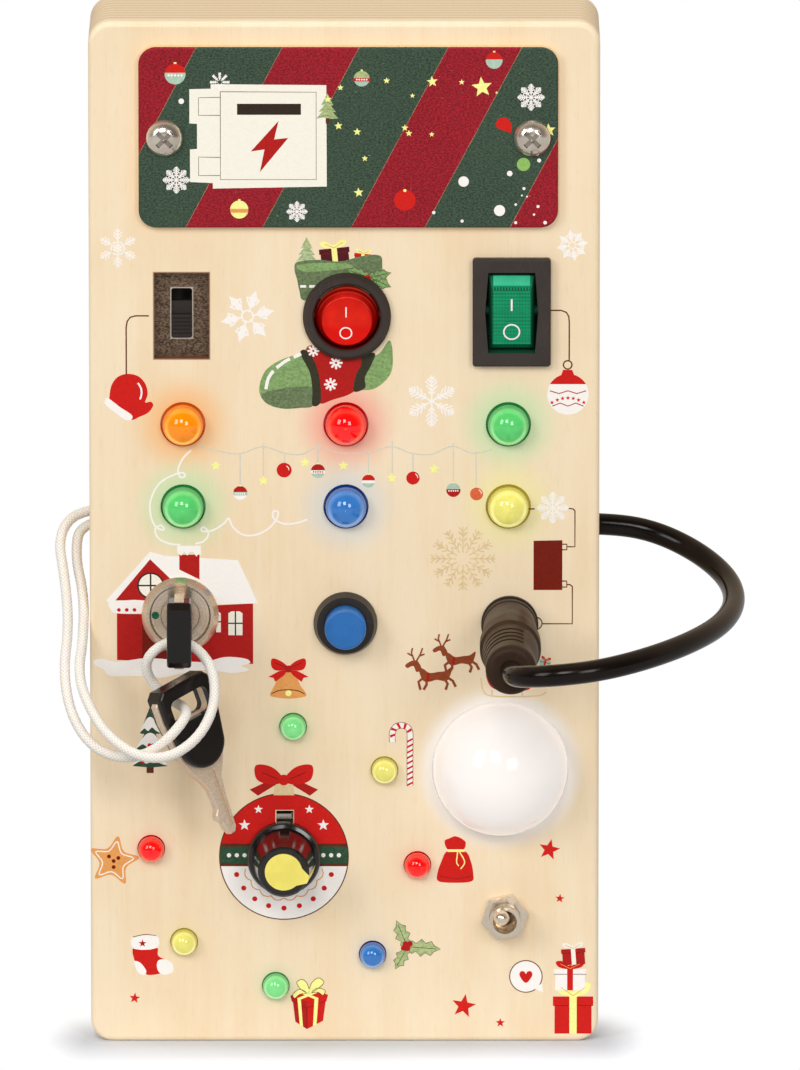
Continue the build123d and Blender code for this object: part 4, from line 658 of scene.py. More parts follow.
@dataclass(frozen=True)
class ClearCap(Finish):
    """A rocker's tinted clear button with painted light and shade: a lit face, a painted highlight at its
    upper end, painted shade on its flanks and a faint painted glow.
    """

    centre: Spot
    tilt: float
    half: Flat
    # Painted light and shade: lit and low colour the face, bright gives the painted highlights and the
    # flank colours give the painted shade of the flanks.
    lit: Paint
    low: Paint
    bright: Paint
    shaded_flank: Paint
    deep: Paint
    glow: float = 0.12

    def nodes(self, shade: Shade) -> None:
        """Builds the finish.

        Args:
            shade: The material that it is built in.
        """
        x, out, z = self.centre
        where = shade.place((x, FACE_Y - out, z), (self.tilt, 0.0, 0.0))
        xyz = shade.parts(where)
        u, v = xyz[0], xyz[2]
        half_w, half_h = self.half
        cloud = shade.noise(where, 420.0, 3.0, 0.5)
        wide = shade.size(u)
        if half_w == half_h:
            radius = shade.reach(u, v)
            on_face = shade.span(radius, half_w * MM, (half_w + 0.08) * MM, 1.0, 0.0)
            # Painted light and shade: the face lighter above its middle, darker towards its top and sides.
            face = shade.mix(shade.span(v, -1.6 * MM, -0.2 * MM), self.low, self.lit)
            face = shade.mix(shade.span(v, 0.6 * MM, 4.4 * MM, 0.0, 0.55), face, self.shaded_flank)
            face = shade.mix(shade.span(wide, 3.0 * MM, 4.8 * MM, 0.0, 0.5), face, self.shaded_flank)
            # Painted shade: the flanks darker outwards and towards their sides.
            side = shade.mix(shade.span(radius, 4.9 * MM, 6.1 * MM), self.shaded_flank, self.deep)
            side = shade.mix(shade.span(wide, 1.0 * MM, 5.6 * MM, 0.0, 0.75), side, self.deep)
            # Painted highlights: light rings on the upper flank.
            upper = shade.span(v, 0.2 * MM, 3.0 * MM)
            for ring, wide_ring, share in ((4.92, 0.1, 0.75), (5.6, 0.16, 0.3), (6.02, 0.13, 0.7)):
                line = shade.span(shade.size(shade.minus(radius, ring * MM)), 0.0, wide_ring * MM, share,
                    0.0)
                side = shade.mix(shade.times(line, upper), side, self.bright)
        else:
            on_face = shade.span(wide, half_w * MM, (half_w + 0.06) * MM, 1.0, 0.0)
            # Painted light and shade of the ribbed face's prism cells.
            rows = shade.math("SINE", shade.times(v, 2 * math.pi / (0.7 * MM)))
            cells = shade.math("SINE", shade.times(u, 2 * math.pi / (0.56 * MM)))
            prism = shade.plus(shade.times(rows, 0.22), shade.times(cells, 0.18))
            face = shade.mix(shade.span(prism, -0.5, 0.5), self.low, self.lit)
            # Painted highlight: the upper end lighter.
            face = shade.mix(shade.span(v, 6.1 * MM, 6.2 * MM), face, self.bright)
            # Painted shade: a dotted dark row along the ridge.
            near = shade.size(shade.minus(v, 5.65 * MM))
            dots = shade.times(shade.span(near, 0.22 * MM, 0.4 * MM, 0.9, 0.0),
                shade.span(cells, -0.9, 0.4))
            face = shade.mix(dots, face, self.deep)
            # Painted shade on the flanks, with a lighter painted line along them.
            side = shade.mix(shade.span(wide, half_w * MM, (half_w + 0.9) * MM), self.shaded_flank, self.deep)
            line = shade.span(shade.size(shade.minus(wide, (half_w + 0.35) * MM)), 0.0, 0.09 * MM, 0.5, 0.0)
            side = shade.mix(line, side, self.low)
        colour = shade.mix(on_face, side, face)
        colour = shade.mix(1.0, colour, shade.span(cloud, 0.3, 0.7, 0.93, 1.07), "MULTIPLY")
        # A faint painted glow in the button's own colour, though it holds no lamp.
        shade.set(
            Base_Color=colour, Roughness=shade.span(cloud, 0.3, 0.7, 0.1, 0.2), Specular_IOR_Level=0.16,
            Emission_Color=colour, Emission_Strength=self.glow,
        )
        shade.bump(shade.noise(where, 1800.0, 2.0), 0.06, 0.02)


@dataclass(frozen=True)
class Plastic(Finish):
    """Moulded plastic with a fine satin grain, slow changes of gloss and light scuffs."""

    colour: Paint
    rough: float = 0.42
    grain: float = 3.0
    relief: float = 0.25
    coat: float = 0.0
    scuffed: float = 0.25
    scuff: Paint = paint(150, 146, 142)
    glow: float = 0.0
    soft: float = 0.0
    mottle: float = 0.1
    specular: float = 0.5
    well_light: WellLight | None = None

    def nodes(self, shade: Shade) -> None:
        """Builds the finish.

        Args:
            shade: The material that it is built in.
        """
        where = shade.place()
        skin = shade.group(EFFECTS.moulded, Vector=where, Grain=self.grain)
        worn = shade.group(EFFECTS.scuffs, Vector=where, Amount=self.scuffed).outputs[0]
        tone = shade.span(skin.outputs["Gloss"], 0.3, 0.7, 1.0 - self.mottle, 1.0 + self.mottle)
        colour = shade.mix(1.0, self.colour, tone, "MULTIPLY")
        colour = shade.mix(shade.times(worn, 0.35), colour, self.scuff)
        # Painted light: the clear button's colour painted on the inside of its opening.
        if self.well_light is not None:
            colour = shade.mix(self.well_light.mask(shade, where), colour, self.well_light.colour)
        shade.set(Specular_IOR_Level=self.specular)
        gloss = shade.span(skin.outputs["Gloss"], 0.3, 0.7, self.rough * 0.85, self.rough * 1.15)
        shade.set(Base_Color=colour, Roughness=gloss, Coat_Weight=self.coat, Coat_Roughness=0.08)
        if self.glow:
            shade.set(Emission_Color=colour, Emission_Strength=self.glow)
        if self.soft:
            shade.set(Subsurface_Weight=self.soft, Subsurface_Radius=(1.0, 0.9, 0.8),
                Subsurface_Scale=2 * MM)
        shade.bump(shade.plus(skin.outputs["Height"], worn), self.relief, 0.03)


@dataclass(frozen=True)
class Metal(Finish):
    """Plated or cast metal, turned, blasted or rolled, with scratches, painted shade in the cross recesses
    of screw heads and a painted highlight round the edge of an opening.
    """

    colour: Paint
    deep: Paint
    rough: float = 0.22
    grain: float = 420.0
    relief: float = 0.2
    centre: Spot | None = None
    scuffed: float = 0.4
    metallic: float = 1.0
    brushed: Spot = (1.0, 1.0, 1.0)
    highlit_window: tuple[float, float, float, float] | None = None
    marks: tuple[Flat, ...] = ()
    shaded_crosses: tuple[Flat, ...] = ()

    def nodes(self, shade: Shade) -> None:
        """Builds the finish.

        Args:
            shade: The material that it is built in.
        """
        where = shade.place(self.centre or (0.0, 0.0, 0.0))
        cloud = shade.noise(shade.stretch(where, tuple(self.grain * k for k in self.brushed)), 1.0, 4.0,
            0.6)
        height = cloud
        tone = shade.span(cloud, 0.32, 0.68)
        if self.centre is not None:
            rings = shade.group(EFFECTS.turned, Vector=where, Pitch=0.16)
            height = rings.outputs["Height"]
            tone = shade.span(rings.outputs["Tone"], 0.3, 0.7)
        worn = shade.group(EFFECTS.scuffs, Vector=where, Amount=self.scuffed).outputs[0]
        colour = shade.mix(tone, self.deep, self.colour)
        colour = shade.mix(shade.times(worn, 0.5), colour, paint(245, 240, 234))
        gloss = shade.plus(shade.span(cloud, 0.3, 0.7, self.rough * 0.8, self.rough * 1.3),
            shade.times(worn, 0.15))
        bare: object = self.metallic
        xyz = shade.parts(shade.place())
        # Painted highlight: a light rim round the opening's edge.
        if self.highlit_window is not None:
            rim = shade.span(shade.past(xyz, *self.highlit_window), 0.14 * MM, 0.3 * MM, 0.8, 0.0)
            colour = shade.mix(rim, colour, paint(226, 214, 196))
        for x, z in self.marks:
            green = shade.math("LESS_THAN", shade.away(xyz, x, z), 0.74 * MM)
            colour = shade.mix(green, colour, paint(10, 104, 66))
            bare = shade.minus(bare, green, clamp=True)
        # Painted shade: a dark cross in each screw head's recess.
        for x, z in self.shaded_crosses:
            across, up = shade.minus(xyz[0], x * MM), shade.minus(xyz[2], z * MM)
            one, two = shade.size(shade.plus(across, up)), shade.size(shade.minus(across, up))
            arm = shade.span(shade.math("MINIMUM", one, two), 0.5 * MM, 0.72 * MM, 0.9, 0.0)
            reach = shade.span(shade.math("MAXIMUM", one, two), 2.4 * MM, 2.9 * MM, 0.6, 0.0)
            colour = shade.mix(shade.times(arm, reach), colour, paint(84, 64, 48))
        shade.set(Base_Color=colour, Metallic=bare, Roughness=gloss)
        shade.bump(height, self.relief, 0.04)


class Glass(Enum):
    """The lamps' colours: body, inner ring, rim, the halo of light painted on the wood, the light painted
    on the wall of the hole, and the halo's share.
    """

    ORANGE = ((232, 128, 0), (255, 196, 70), (196, 92, 0), (252, 196, 130), (246, 150, 30), 0.9)
    RED = ((240, 12, 10), (255, 92, 70), (186, 4, 6), (250, 168, 148), (246, 40, 30), 0.85)
    GREEN = ((78, 184, 96), (150, 236, 156), (40, 132, 68), (190, 236, 178), (96, 222, 120), 0.62)
    MINT = ((116, 206, 124), (168, 240, 170), (62, 150, 84), (190, 236, 178), (110, 226, 132), 0.16)
    BLUE = ((46, 106, 174), (110, 166, 230), (24, 62, 128), (214, 226, 232), (60, 124, 214), 0.55)
    YELLOW = ((214, 206, 104), (248, 246, 166), (172, 158, 52), (246, 240, 160), (240, 230, 96), 0.6)

    def __init__(self, core: Sequence[int], ring: Sequence[int], rim: Sequence[int], halo: Sequence[int],
                 wall: Sequence[int], reach: float) -> None:
        """Keeps the scene colours under their names."""
        self.core, self.ring, self.rim = paint(*core), paint(*ring), paint(*rim)
        self.halo, self.wall = paint(*halo), paint(*wall)
        self.reach = reach


@dataclass(frozen=True)
class Lens(Finish):
    """A lit lamp's coloured casting: bright inside, a lighter ring low down and a deep rim."""

    spots: tuple[Flat, ...]
    radius: float
    glass: Glass
    glow: float = 0.41

    def nodes(self, shade: Shade) -> None:
        """Builds the finish.

        Args:
            shade: The material that it is built in.
        """
        where = shade.place()
        xyz = shade.parts(where)
        away: object = None
        rise: object = None
        for x, z in self.spots:
            across = shade.minus(xyz[0], x * MM)
            up = shade.minus(xyz[2], z * MM)
            here = shade.reach(across, up)
            if away is None:
                away, rise = here, up
            else:
                nearer = shade.math("LESS_THAN", here, away)
                rise = shade.plus(shade.times(nearer, up), shade.times(shade.minus(1.0, nearer), rise))
                away = shade.math("MINIMUM", away, here)
        share = shade.math("DIVIDE", away, self.radius * MM)
        low = shade.span(shade.math("DIVIDE", rise, self.radius * MM), 0.35, -0.75)
        inner = shade.span(share, 0.66, 0.80)
        outer = shade.span(share, 0.84, 0.92, 1.0, 0.0)
        band = shade.times(shade.times(inner, outer), shade.plus(shade.times(low, 0.7), 0.25))
        colour = shade.mix(band, self.glass.core, self.glass.ring)
        colour = shade.mix(shade.span(share, 0.86, 1.0), colour, self.glass.rim)
        cloud = shade.noise(where, 500.0, 2.0)
        colour = shade.mix(1.0, colour, shade.span(cloud, 0.3, 0.7, 0.95, 1.05), "MULTIPLY")
        shade.set(
            Base_Color=colour, Roughness=shade.span(cloud, 0.3, 0.7, 0.02, 0.04), Specular_IOR_Level=0.5,
            Coat_Weight=0.45, Coat_Roughness=0.02,
            Emission_Color=colour, Emission_Strength=self.glow, IOR=1.5,
        )
        shade.bump(cloud, 0.02, 0.02)


class Way(Enum):
    """How a cord's own surface is made."""

    BRAID = "braid"
    SHEATH = "sheath"


@dataclass(frozen=True)
class CordSkin(Finish):
    """The surface of a cord on its own UV map: U once round, V in diameters along."""

    way: Way
    colour: Paint
    shadow: Paint

    def nodes(self, shade: Shade) -> None:
        """Builds the finish.

        Args:
            shade: The material that it is built in.
        """
        uv = shade.parts(shade.add("ShaderNodeUVMap", uv_map="cord").outputs[0])
        fine = shade.noise(shade.place(), 2500.0, 2.0)
        if self.way is Way.SHEATH:
            cloud = shade.noise(shade.place(), 120.0, 3.0, 0.6)
            colour = shade.mix(shade.span(cloud, 0.3, 0.7), self.colour, self.shadow)
            shade.set(Base_Color=colour, Roughness=shade.span(cloud, 0.3, 0.7, 0.15, 0.2),
                Specular_IOR_Level=0.21)
            shade.bump(fine, 0.12, 0.03)
            return
        turns = shade.times(uv[0], BRAID_STRANDS)
        length = shade.times(uv[1], BRAID_TURNS)
        one = shade.math("SINE", shade.times(shade.plus(turns, length), 2 * math.pi))
        two = shade.math("SINE", shade.times(shade.minus(turns, length), 2 * math.pi))
        # Painted shade: the weave darkens between the strands.
        weave = shade.span(shade.math("MAXIMUM", one, two), -0.6, 0.8)
        colour = shade.mix(weave, self.shadow, self.colour)
        shade.set(Base_Color=colour, Roughness=shade.span(fine, 0.3, 0.7, 0.5, 0.7), Sheen_Weight=0.3,
            Sheen_Roughness=0.4, Subsurface_Weight=0.2, Subsurface_Scale=0.5 * MM)
        shade.bump(shade.plus(weave, shade.times(fine, 0.25)), 0.35, 0.06)


class Shelf:
    """Makes each finish once and hands the same material out again."""

    def __init__(self) -> None:
        """Starts empty."""
        self.made: dict[str, bpy.types.Material] = {}

    def get(self, name: str, finish: Finish) -> bpy.types.Material:
        """The material of that name, made from the finish the first time."""
        if name not in self.made:
            self.made[name] = finish.make(name)
        return self.made[name]


SHELF = Shelf()


# ------------------------------------------------------------------ meshes
def mesh_piece(name: str, points: Iterable[Vector], faces: Iterable[Sequence[int]], body: str | None,
               material: bpy.types.Material, rounded: bool = False) -> bpy.types.Object:
    """Makes a finished piece at the origin and lets it ride on a body.

    Args:
        name: The piece's name.
        points: Its corners in metres.
        faces: Corner numbers of each face, outward by the right hand.
        body: The CAD body that it moves with, or None to leave it on no body.
        material: Its material.
        rounded: Whether it is shaded smooth.

    Returns:
        The object.
    """
    mesh = bpy.data.meshes.new(name)
    mesh.from_pydata([tuple(p) for p in points], [], [tuple(f) for f in faces])
    if rounded:
        mesh.polygons.foreach_set("use_smooth", [True] * len(mesh.polygons))
    mesh.update()
    mesh.materials.append(material)
    piece = bpy.data.objects.new(name, mesh)
    bpy.context.scene.collection.objects.link(piece)
    if body:
        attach(piece, body)
    return piece


def dress(name: str, finish: Finish, *nodes: str) -> None:
    """Gives carried-over CAD nodes the named material of a finish and reports them."""
    material = SHELF.get(name, finish)
    for node in nodes:
        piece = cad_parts[node]
        for held in piece.material_slots:
            held.link = "OBJECT"
            held.material = material
        LOG.info("%s dressed in %s", node, material.name)


@dataclass
class Cord:
    """A free cord: a smooth line through its route and a tube laid along that line."""

    name: str
    route: tuple[Spot, ...]
    diameter: float
    length: float
    skin: CordSkin | Metal
    slot: str
    bend: tuple[str, Spot, Spot] | None = None
    sides: int = 20
    step: float = 0.35
    ripple: float = 0.0

    def line(self) -> list[Vector]:
        """Reads the points of the route's smooth spline, in metres."""
        curve = bpy.data.curves.new(self.name + "_line", "CURVE")
        curve.dimensions = "3D"
        spline = curve.splines.new("NURBS")
        spline.points.add(len(self.route) - 1)
        for point, (x, y, z) in zip(spline.points, self.route):
            point.co = (x * MM, y * MM, z * MM, 1.0)
        spline.order_u = 3
        spline.use_endpoint_u = True
        spline.resolution_u = 16
        holder = bpy.data.objects.new(self.name + "_line", curve)
        bpy.context.scene.collection.objects.link(holder)
        graph = bpy.context.evaluated_depsgraph_get()
        read = bpy.data.meshes.new_from_object(holder.evaluated_get(graph))
        points = [v.co.copy() for v in read.vertices]
        bpy.data.objects.remove(holder)
        bpy.data.meshes.remove(read)
        bpy.data.curves.remove(curve)
        return points

    def build(self) -> tuple[bpy.types.Object, list[Vector]]:
        """Lays the tube along the line.

        Returns:
            The tube and its ring centres.
        """
        centres = evenly(self.line(), self.step * MM)
        points, faces, uvs = [], [], []
        ways = [(b - a).normalized() for a, b in zip(centres, centres[1:])]
        ways.append(ways[-1])
        side = ways[0].orthogonal().normalized()
        thick = self.diameter * MM
        radius = thick / 2
        gone = before = 0.0
        for ring, (centre, way) in enumerate(zip(centres, ways)):
            side = (side - way * side.dot(way)).normalized()
            up = way.cross(side)
            if ring:
                before, gone = gone, gone + (centre - centres[ring - 1]).length
            for k in range(self.sides):
                angle = 2 * math.pi * k / self.sides
                wave = 1.0
                if self.ripple:
                    turns = BRAID_STRANDS * k / self.sides
                    along = BRAID_TURNS * gone / thick
                    lift = max(math.sin(2 * math.pi * (turns + along)),
                        math.sin(2 * math.pi * (turns - along)))
                    wave = 1.0 - self.ripple * (1 - lift) / 2
                points.append(centre + (side * math.cos(angle) + up * math.sin(angle)) * radius * wave)
            if ring:
                for k in range(self.sides):
                    after = (k + 1) % self.sides
                    low, high = (ring - 1) * self.sides, ring * self.sides
                    faces.append((low + k, low + after, high + after, high + k))
                    u, v, last = k / self.sides, gone / thick, before / thick
                    uvs += [(u, last), (u + 1 / self.sides, last), (u + 1 / self.sides, v), (u, v)]
        for first, turned in ((0, True), (len(points) - self.sides, False)):
            cap = list(range(first, first + self.sides))
            faces.append(tuple(reversed(cap)) if turned else tuple(cap))
            uvs += [(0.0, 0.0)] * self.sides
        material = SHELF.get(self.name + "_skin", self.skin)
        body = None if self.bend else "board"
        piece = mesh_piece(self.name + "_tube", points, faces, body, material, rounded=True)
        layer = piece.data.uv_layers.new(name="cord")
        for loop, uv in zip(layer.data, uvs):
            loop.uv = uv
        if self.bend:
            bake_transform(piece)
        return piece, centres


def evenly(line: Sequence[Vector], step: float) -> list[Vector]:
    """Points along a line at even steps, both ends kept."""
    lengths = [0.0]
    for a, b in zip(line, line[1:]):
        lengths.append(lengths[-1] + (b - a).length)
    count = max(2, round(lengths[-1] / step))
    result, place = [], 0
    for i in range(count + 1):
        want = lengths[-1] * i / count
        while place < len(line) - 2 and lengths[place + 1] < want:
            place += 1
        stretch = lengths[place + 1] - lengths[place]
        share = (want - lengths[place]) / stretch if stretch else 0.0
        result.append(line[place].lerp(line[place + 1], min(max(share, 0.0), 1.0)))
    return result


# ------------------------------------------------------------------ sub-assemblies
BLACK = Plastic(paint(40, 32, 26), rough=0.46, grain=3.2, relief=0.3, specular=0.22)
GLOSS_BLACK = Plastic(paint(24, 19, 18), rough=0.16, grain=1.2, relief=0.06, coat=0.3, scuffed=0.12)
CHROME = Metal(paint(240, 230, 214), paint(218, 206, 190), rough=0.17, grain=260.0, relief=0.03,
    scuffed=0.1, metallic=0.85)
CAST = Metal(paint(238, 216, 190), paint(218, 196, 170), rough=0.36, grain=2600.0, relief=0.16,
    scuffed=0.15, metallic=0.5)


@dataclass
class Assembly:
    """One group of the board's parts."""

    def build(self) -> None:
        """Builds and dresses every piece of the group."""
        raise NotImplementedError


@dataclass
class WoodenBox(Assembly):
    """The flat box: front sheet, three frame layers, back sheet and its screws."""

    painted_glows: tuple[PaintedGlow, ...] = ()

    def build(self) -> None:
        """Dresses the sheets, the layers and the screws."""
        # The front sheet gets the lamps' light painted on it.
        front = BirchFace(self.painted_glows, cuts=((-31.2, 142.8, 5.25, 8.35),))
        dress("birch_front", front, "front_panel")
        dress("birch_back", BirchFace(), "back_panel")
        dress("ply_edge", PlyEdge(), "frame_front_layer", "frame_middle_layer", "frame_back_layer")
        dress("countersunk_steel", Metal(paint(214, 208, 200), paint(140, 134, 128), rough=0.3),
            "back_panel_screws")


@dataclass
class BatteryBay(Assembly):
    """The striped cover, its pan-head screws and what lies under it."""

    centre: Flat = (0.8, 177.9)
    lean: float = 0.53
    bounds: tuple[float, ...] = (-37.6, -21.1, -6.4, 10.6, 24.7, 41.0)

    def build(self) -> None:
        """Dresses the cover, the screws, the tray and the cells."""
        stripes = Stripes(self.bounds, self.lean, self.centre[1], paint(152, 28, 40), paint(62, 80, 64))
        dress("striped_cover", stripes, "battery_cover")
        # The heads carry painted shade in their cross recesses.
        heads = replace(CHROME, shaded_crosses=((-34.4, 177.9), (36.0, 177.9)), rough=0.2, metallic=0.85,
            scuffed=0.0)
        dress("screw_chrome", heads, "battery_cover_screws")
        dress("tray_plastic", BLACK, "battery_tray")
        dress("cell_sleeve", Plastic(paint(70, 84, 96), rough=0.25), "batteries")
        dress("leaf_nickel", Metal(paint(220, 214, 200), paint(170, 160, 140), rough=0.2),
            "battery_contacts")


@dataclass
class SlideSwitch(Assembly):
    """The sunk slide switch with its rolled steel plate."""

    def build(self) -> None:
        """Dresses the plate, the body and the knob."""
        # The plate carries a painted highlight round its opening's edge.
        plate = Metal(
            paint(150, 126, 104), paint(74, 54, 40), rough=0.36, grain=2300.0, relief=0.35, scuffed=0.1,
            brushed=(1.0, 1.0, 1.5), highlit_window=(-31.2, 142.8, 2.0, 4.85), metallic=0.75,
        )
        dress("rolled_plate", plate, "slide_switch_plate")
        dress("switch_black", BLACK, "slide_switch_body")
        dress("thumb_black", Plastic(paint(46, 38, 34), rough=0.5, grain=3.0, specular=0.3),
            "slide_switch_knob")


@dataclass
class RoundRocker(Assembly):
    """The round rocker: black ring and clear red button."""

    def build(self) -> None:
        """Dresses the ring and the button."""
        # Painted light: the red button's light painted inside the ring's opening.
        well_light = WellLight(0.5, 142.8, half_w=6.5, half_h=6.5, out=1.65, colour=paint(112, 8, 6))
        ring = Plastic(paint(56, 46, 41), rough=0.5, grain=2.6, relief=0.4, specular=0.35, well_light=well_light)
        dress("ring_black", ring, "round_rocker_body")
        # The red button's light, shade, highlights and faint glow are painted.
        red = ClearCap(
            (0.5, -1.5, 142.8), 11.0, (4.75, 4.75), lit=paint(222, 34, 18), low=paint(224, 16, 4),
            bright=paint(236, 70, 52), shaded_flank=paint(196, 14, 6), deep=paint(126, 6, 4),
        )
        dress("clear_red", red, "round_rocker_button")
        marks = Sheet("round_mark", 3.9, pivot=(0.5, -1.5, 142.8), tilt=11.0)
        marks.line(Hue.WHITE, 0.26, [(0.0, 0.95), (0.0, 3.05)], centre=(-0.15, 0.0))
        marks.line(Hue.WHITE, 0.26, looped(circle(0.0, 0.0, 1.12, 40)), centre=(-0.2, -2.3))
        marks.build("round_rocker")


@dataclass
class RectRocker(Assembly):
    """The rectangular rocker: black bezel and ribbed clear green button."""

    def build(self) -> None:
        """Dresses the bezel, the button and all spade terminals."""
        # Painted light: the green button's light painted inside the bezel's opening.
        well_light = WellLight(32.1, 143.7, half_w=5.15, half_h=7.9, out=1.9, colour=paint(28, 92, 62))
        bezel = Plastic(paint(56, 47, 42), rough=0.55, grain=3.4, relief=0.35, specular=0.35, well_light=well_light,
            scuffed=0.12)
        dress("bezel_black", bezel, "rect_rocker_body")
        # The green button's light, shade, highlights and faint glow are painted.
        green = ClearCap(
            (32.1, -1.5, 143.7), 11.0, (3.5, 5.6), lit=paint(26, 154, 106), low=paint(16, 126, 84),
            bright=paint(62, 184, 140), shaded_flank=paint(24, 104, 70), deep=paint(16, 70, 48),
        )
        dress("clear_green", green, "rect_rocker_button")
        marks = Sheet("rect_mark", 3.7, pivot=(32.1, -1.5, 143.7), tilt=11.0)
        marks.line(Hue.WHITE, 0.36, [(0.0, 1.25), (0.0, 3.65)], centre=(0.0, 0.0))
        marks.line(Hue.WHITE, 0.3, looped(circle(0.0, 0.0, 1.5, 44)), centre=(0.0, -3.1))
        marks.build("rect_rocker")
        dress("terminal_tin", Metal(paint(214, 208, 196), paint(160, 150, 138), rough=0.3),
            "switch_terminals")


@dataclass
class Lamps(Assembly):
    """Six 8 mm and seven 5 mm lamps with their circuit boards."""

    big: tuple[tuple[str, float, float, Glass], ...] = (
        ("big_lamp_orange", -31.0, 121.6, Glass.ORANGE),
        ("big_lamp_red", 0.3, 121.6, Glass.RED),
        ("big_lamp_green_upper", 31.5, 121.6, Glass.GREEN),
        ("big_lamp_green_lower", -31.0, 105.5, Glass.GREEN),
        ("big_lamp_blue", 0.3, 105.5, Glass.BLUE),
        ("big_lamp_yellow", 31.5, 105.5, Glass.YELLOW),
    )
    small: tuple[tuple[str, tuple[Flat, ...], Glass], ...] = (
        ("small_lamps_green", ((-9.9, 62.3), (-13.3, 11.1)), Glass.MINT),
        ("small_lamps_yellow", ((7.7, 53.7), (-31.0, 19.8)), Glass.YELLOW),
        ("small_lamps_red", ((-37.3, 38.2), (14.05, 35.0)), Glass.RED),
        ("small_lamps_blue", ((5.4, 17.3),), Glass.BLUE),
    )

    def painted_glows(self) -> tuple[PaintedGlow, ...]:
        """The lamps' light painted on the wood round them and on the walls of their holes."""
        wide = [
            PaintedGlow(x, z, glass.halo, inner=3.4, outer=11.0, share=glass.reach, hole=5.2, wall=glass.wall)
            for _, x, z, glass in self.big
        ]
        near = [
            PaintedGlow(x, z, glass.halo, inner=2.2, outer=5.2, share=0.16, hole=3.4, wall=glass.wall)
            for _, spots, glass in self.small for x, z in spots
        ]
        # The milky dome's light painted round it and on its hole's walls.
        dome = PaintedGlow(
            30.0, 54.0, paint(255, 251, 247), inner=12.6, outer=17.0, share=0.85, hole=14.5,
            wall=paint(250, 244, 240),
        )
        return (*wide, *near, dome)

    def build(self) -> None:
        """Dresses every lamp and the boards behind them."""
        for node, x, z, glass in self.big:
            dress(node + "_lens", Lens(((x, z),), 3.95, glass), node)
        for node, spots, glass in self.small:
            dress(node + "_lens", Lens(spots, 2.5, glass, glow=0.37), node)
        board = Plastic(paint(30, 84, 52), rough=0.3, grain=2.0)
        dress("circuit_green", board, "upper_circuit_board", "lower_circuit_board")
        dress("spacer_black", BLACK, "board_spacers")


@dataclass
class PushButton(Assembly):
    """The blue push button in its black bezel."""

    centre: Flat = (0.2, 82.6)

    def build(self) -> None:
        """Dresses the bezel, the cap and the spring."""
        dress("button_bezel", Plastic(paint(42, 36, 33), rough=0.36, grain=2.4, relief=0.25, specular=0.4),
            "push_button_body")
        dress("button_blue", Plastic(paint(40, 108, 178), rough=0.38, grain=3.0, relief=0.12, soft=0.1,
            specular=0.35), "push_button_cap")
        self.spring()

    def spring(self) -> None:
        """Winds the return spring at rest; nothing here shortens it as the cap goes in."""
        (x, z), radius, wire, turns, steps = self.centre, 2.9, 0.5, 3, 24
        front, back = (corner.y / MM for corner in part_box("push_button_spring"))
        pitch = (back - front - wire) / turns
        coil = [polar(x, z, radius, 360 * k / steps) for k in range(turns * steps + 1)]
        route = tuple((px, back - wire / 2 - pitch * k / steps, pz) for k, (px, pz) in enumerate(coil))
        steel = Metal(paint(200, 196, 190), paint(150, 146, 140), rough=0.2)
        bend = ("button", (x, back, z), (x, front, z))
        tube, _ = Cord("button_spring", route, wire, 0.0, steel, "zinc_steel", bend, sides=12,
            step=0.3).build()
        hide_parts("push_button_spring")


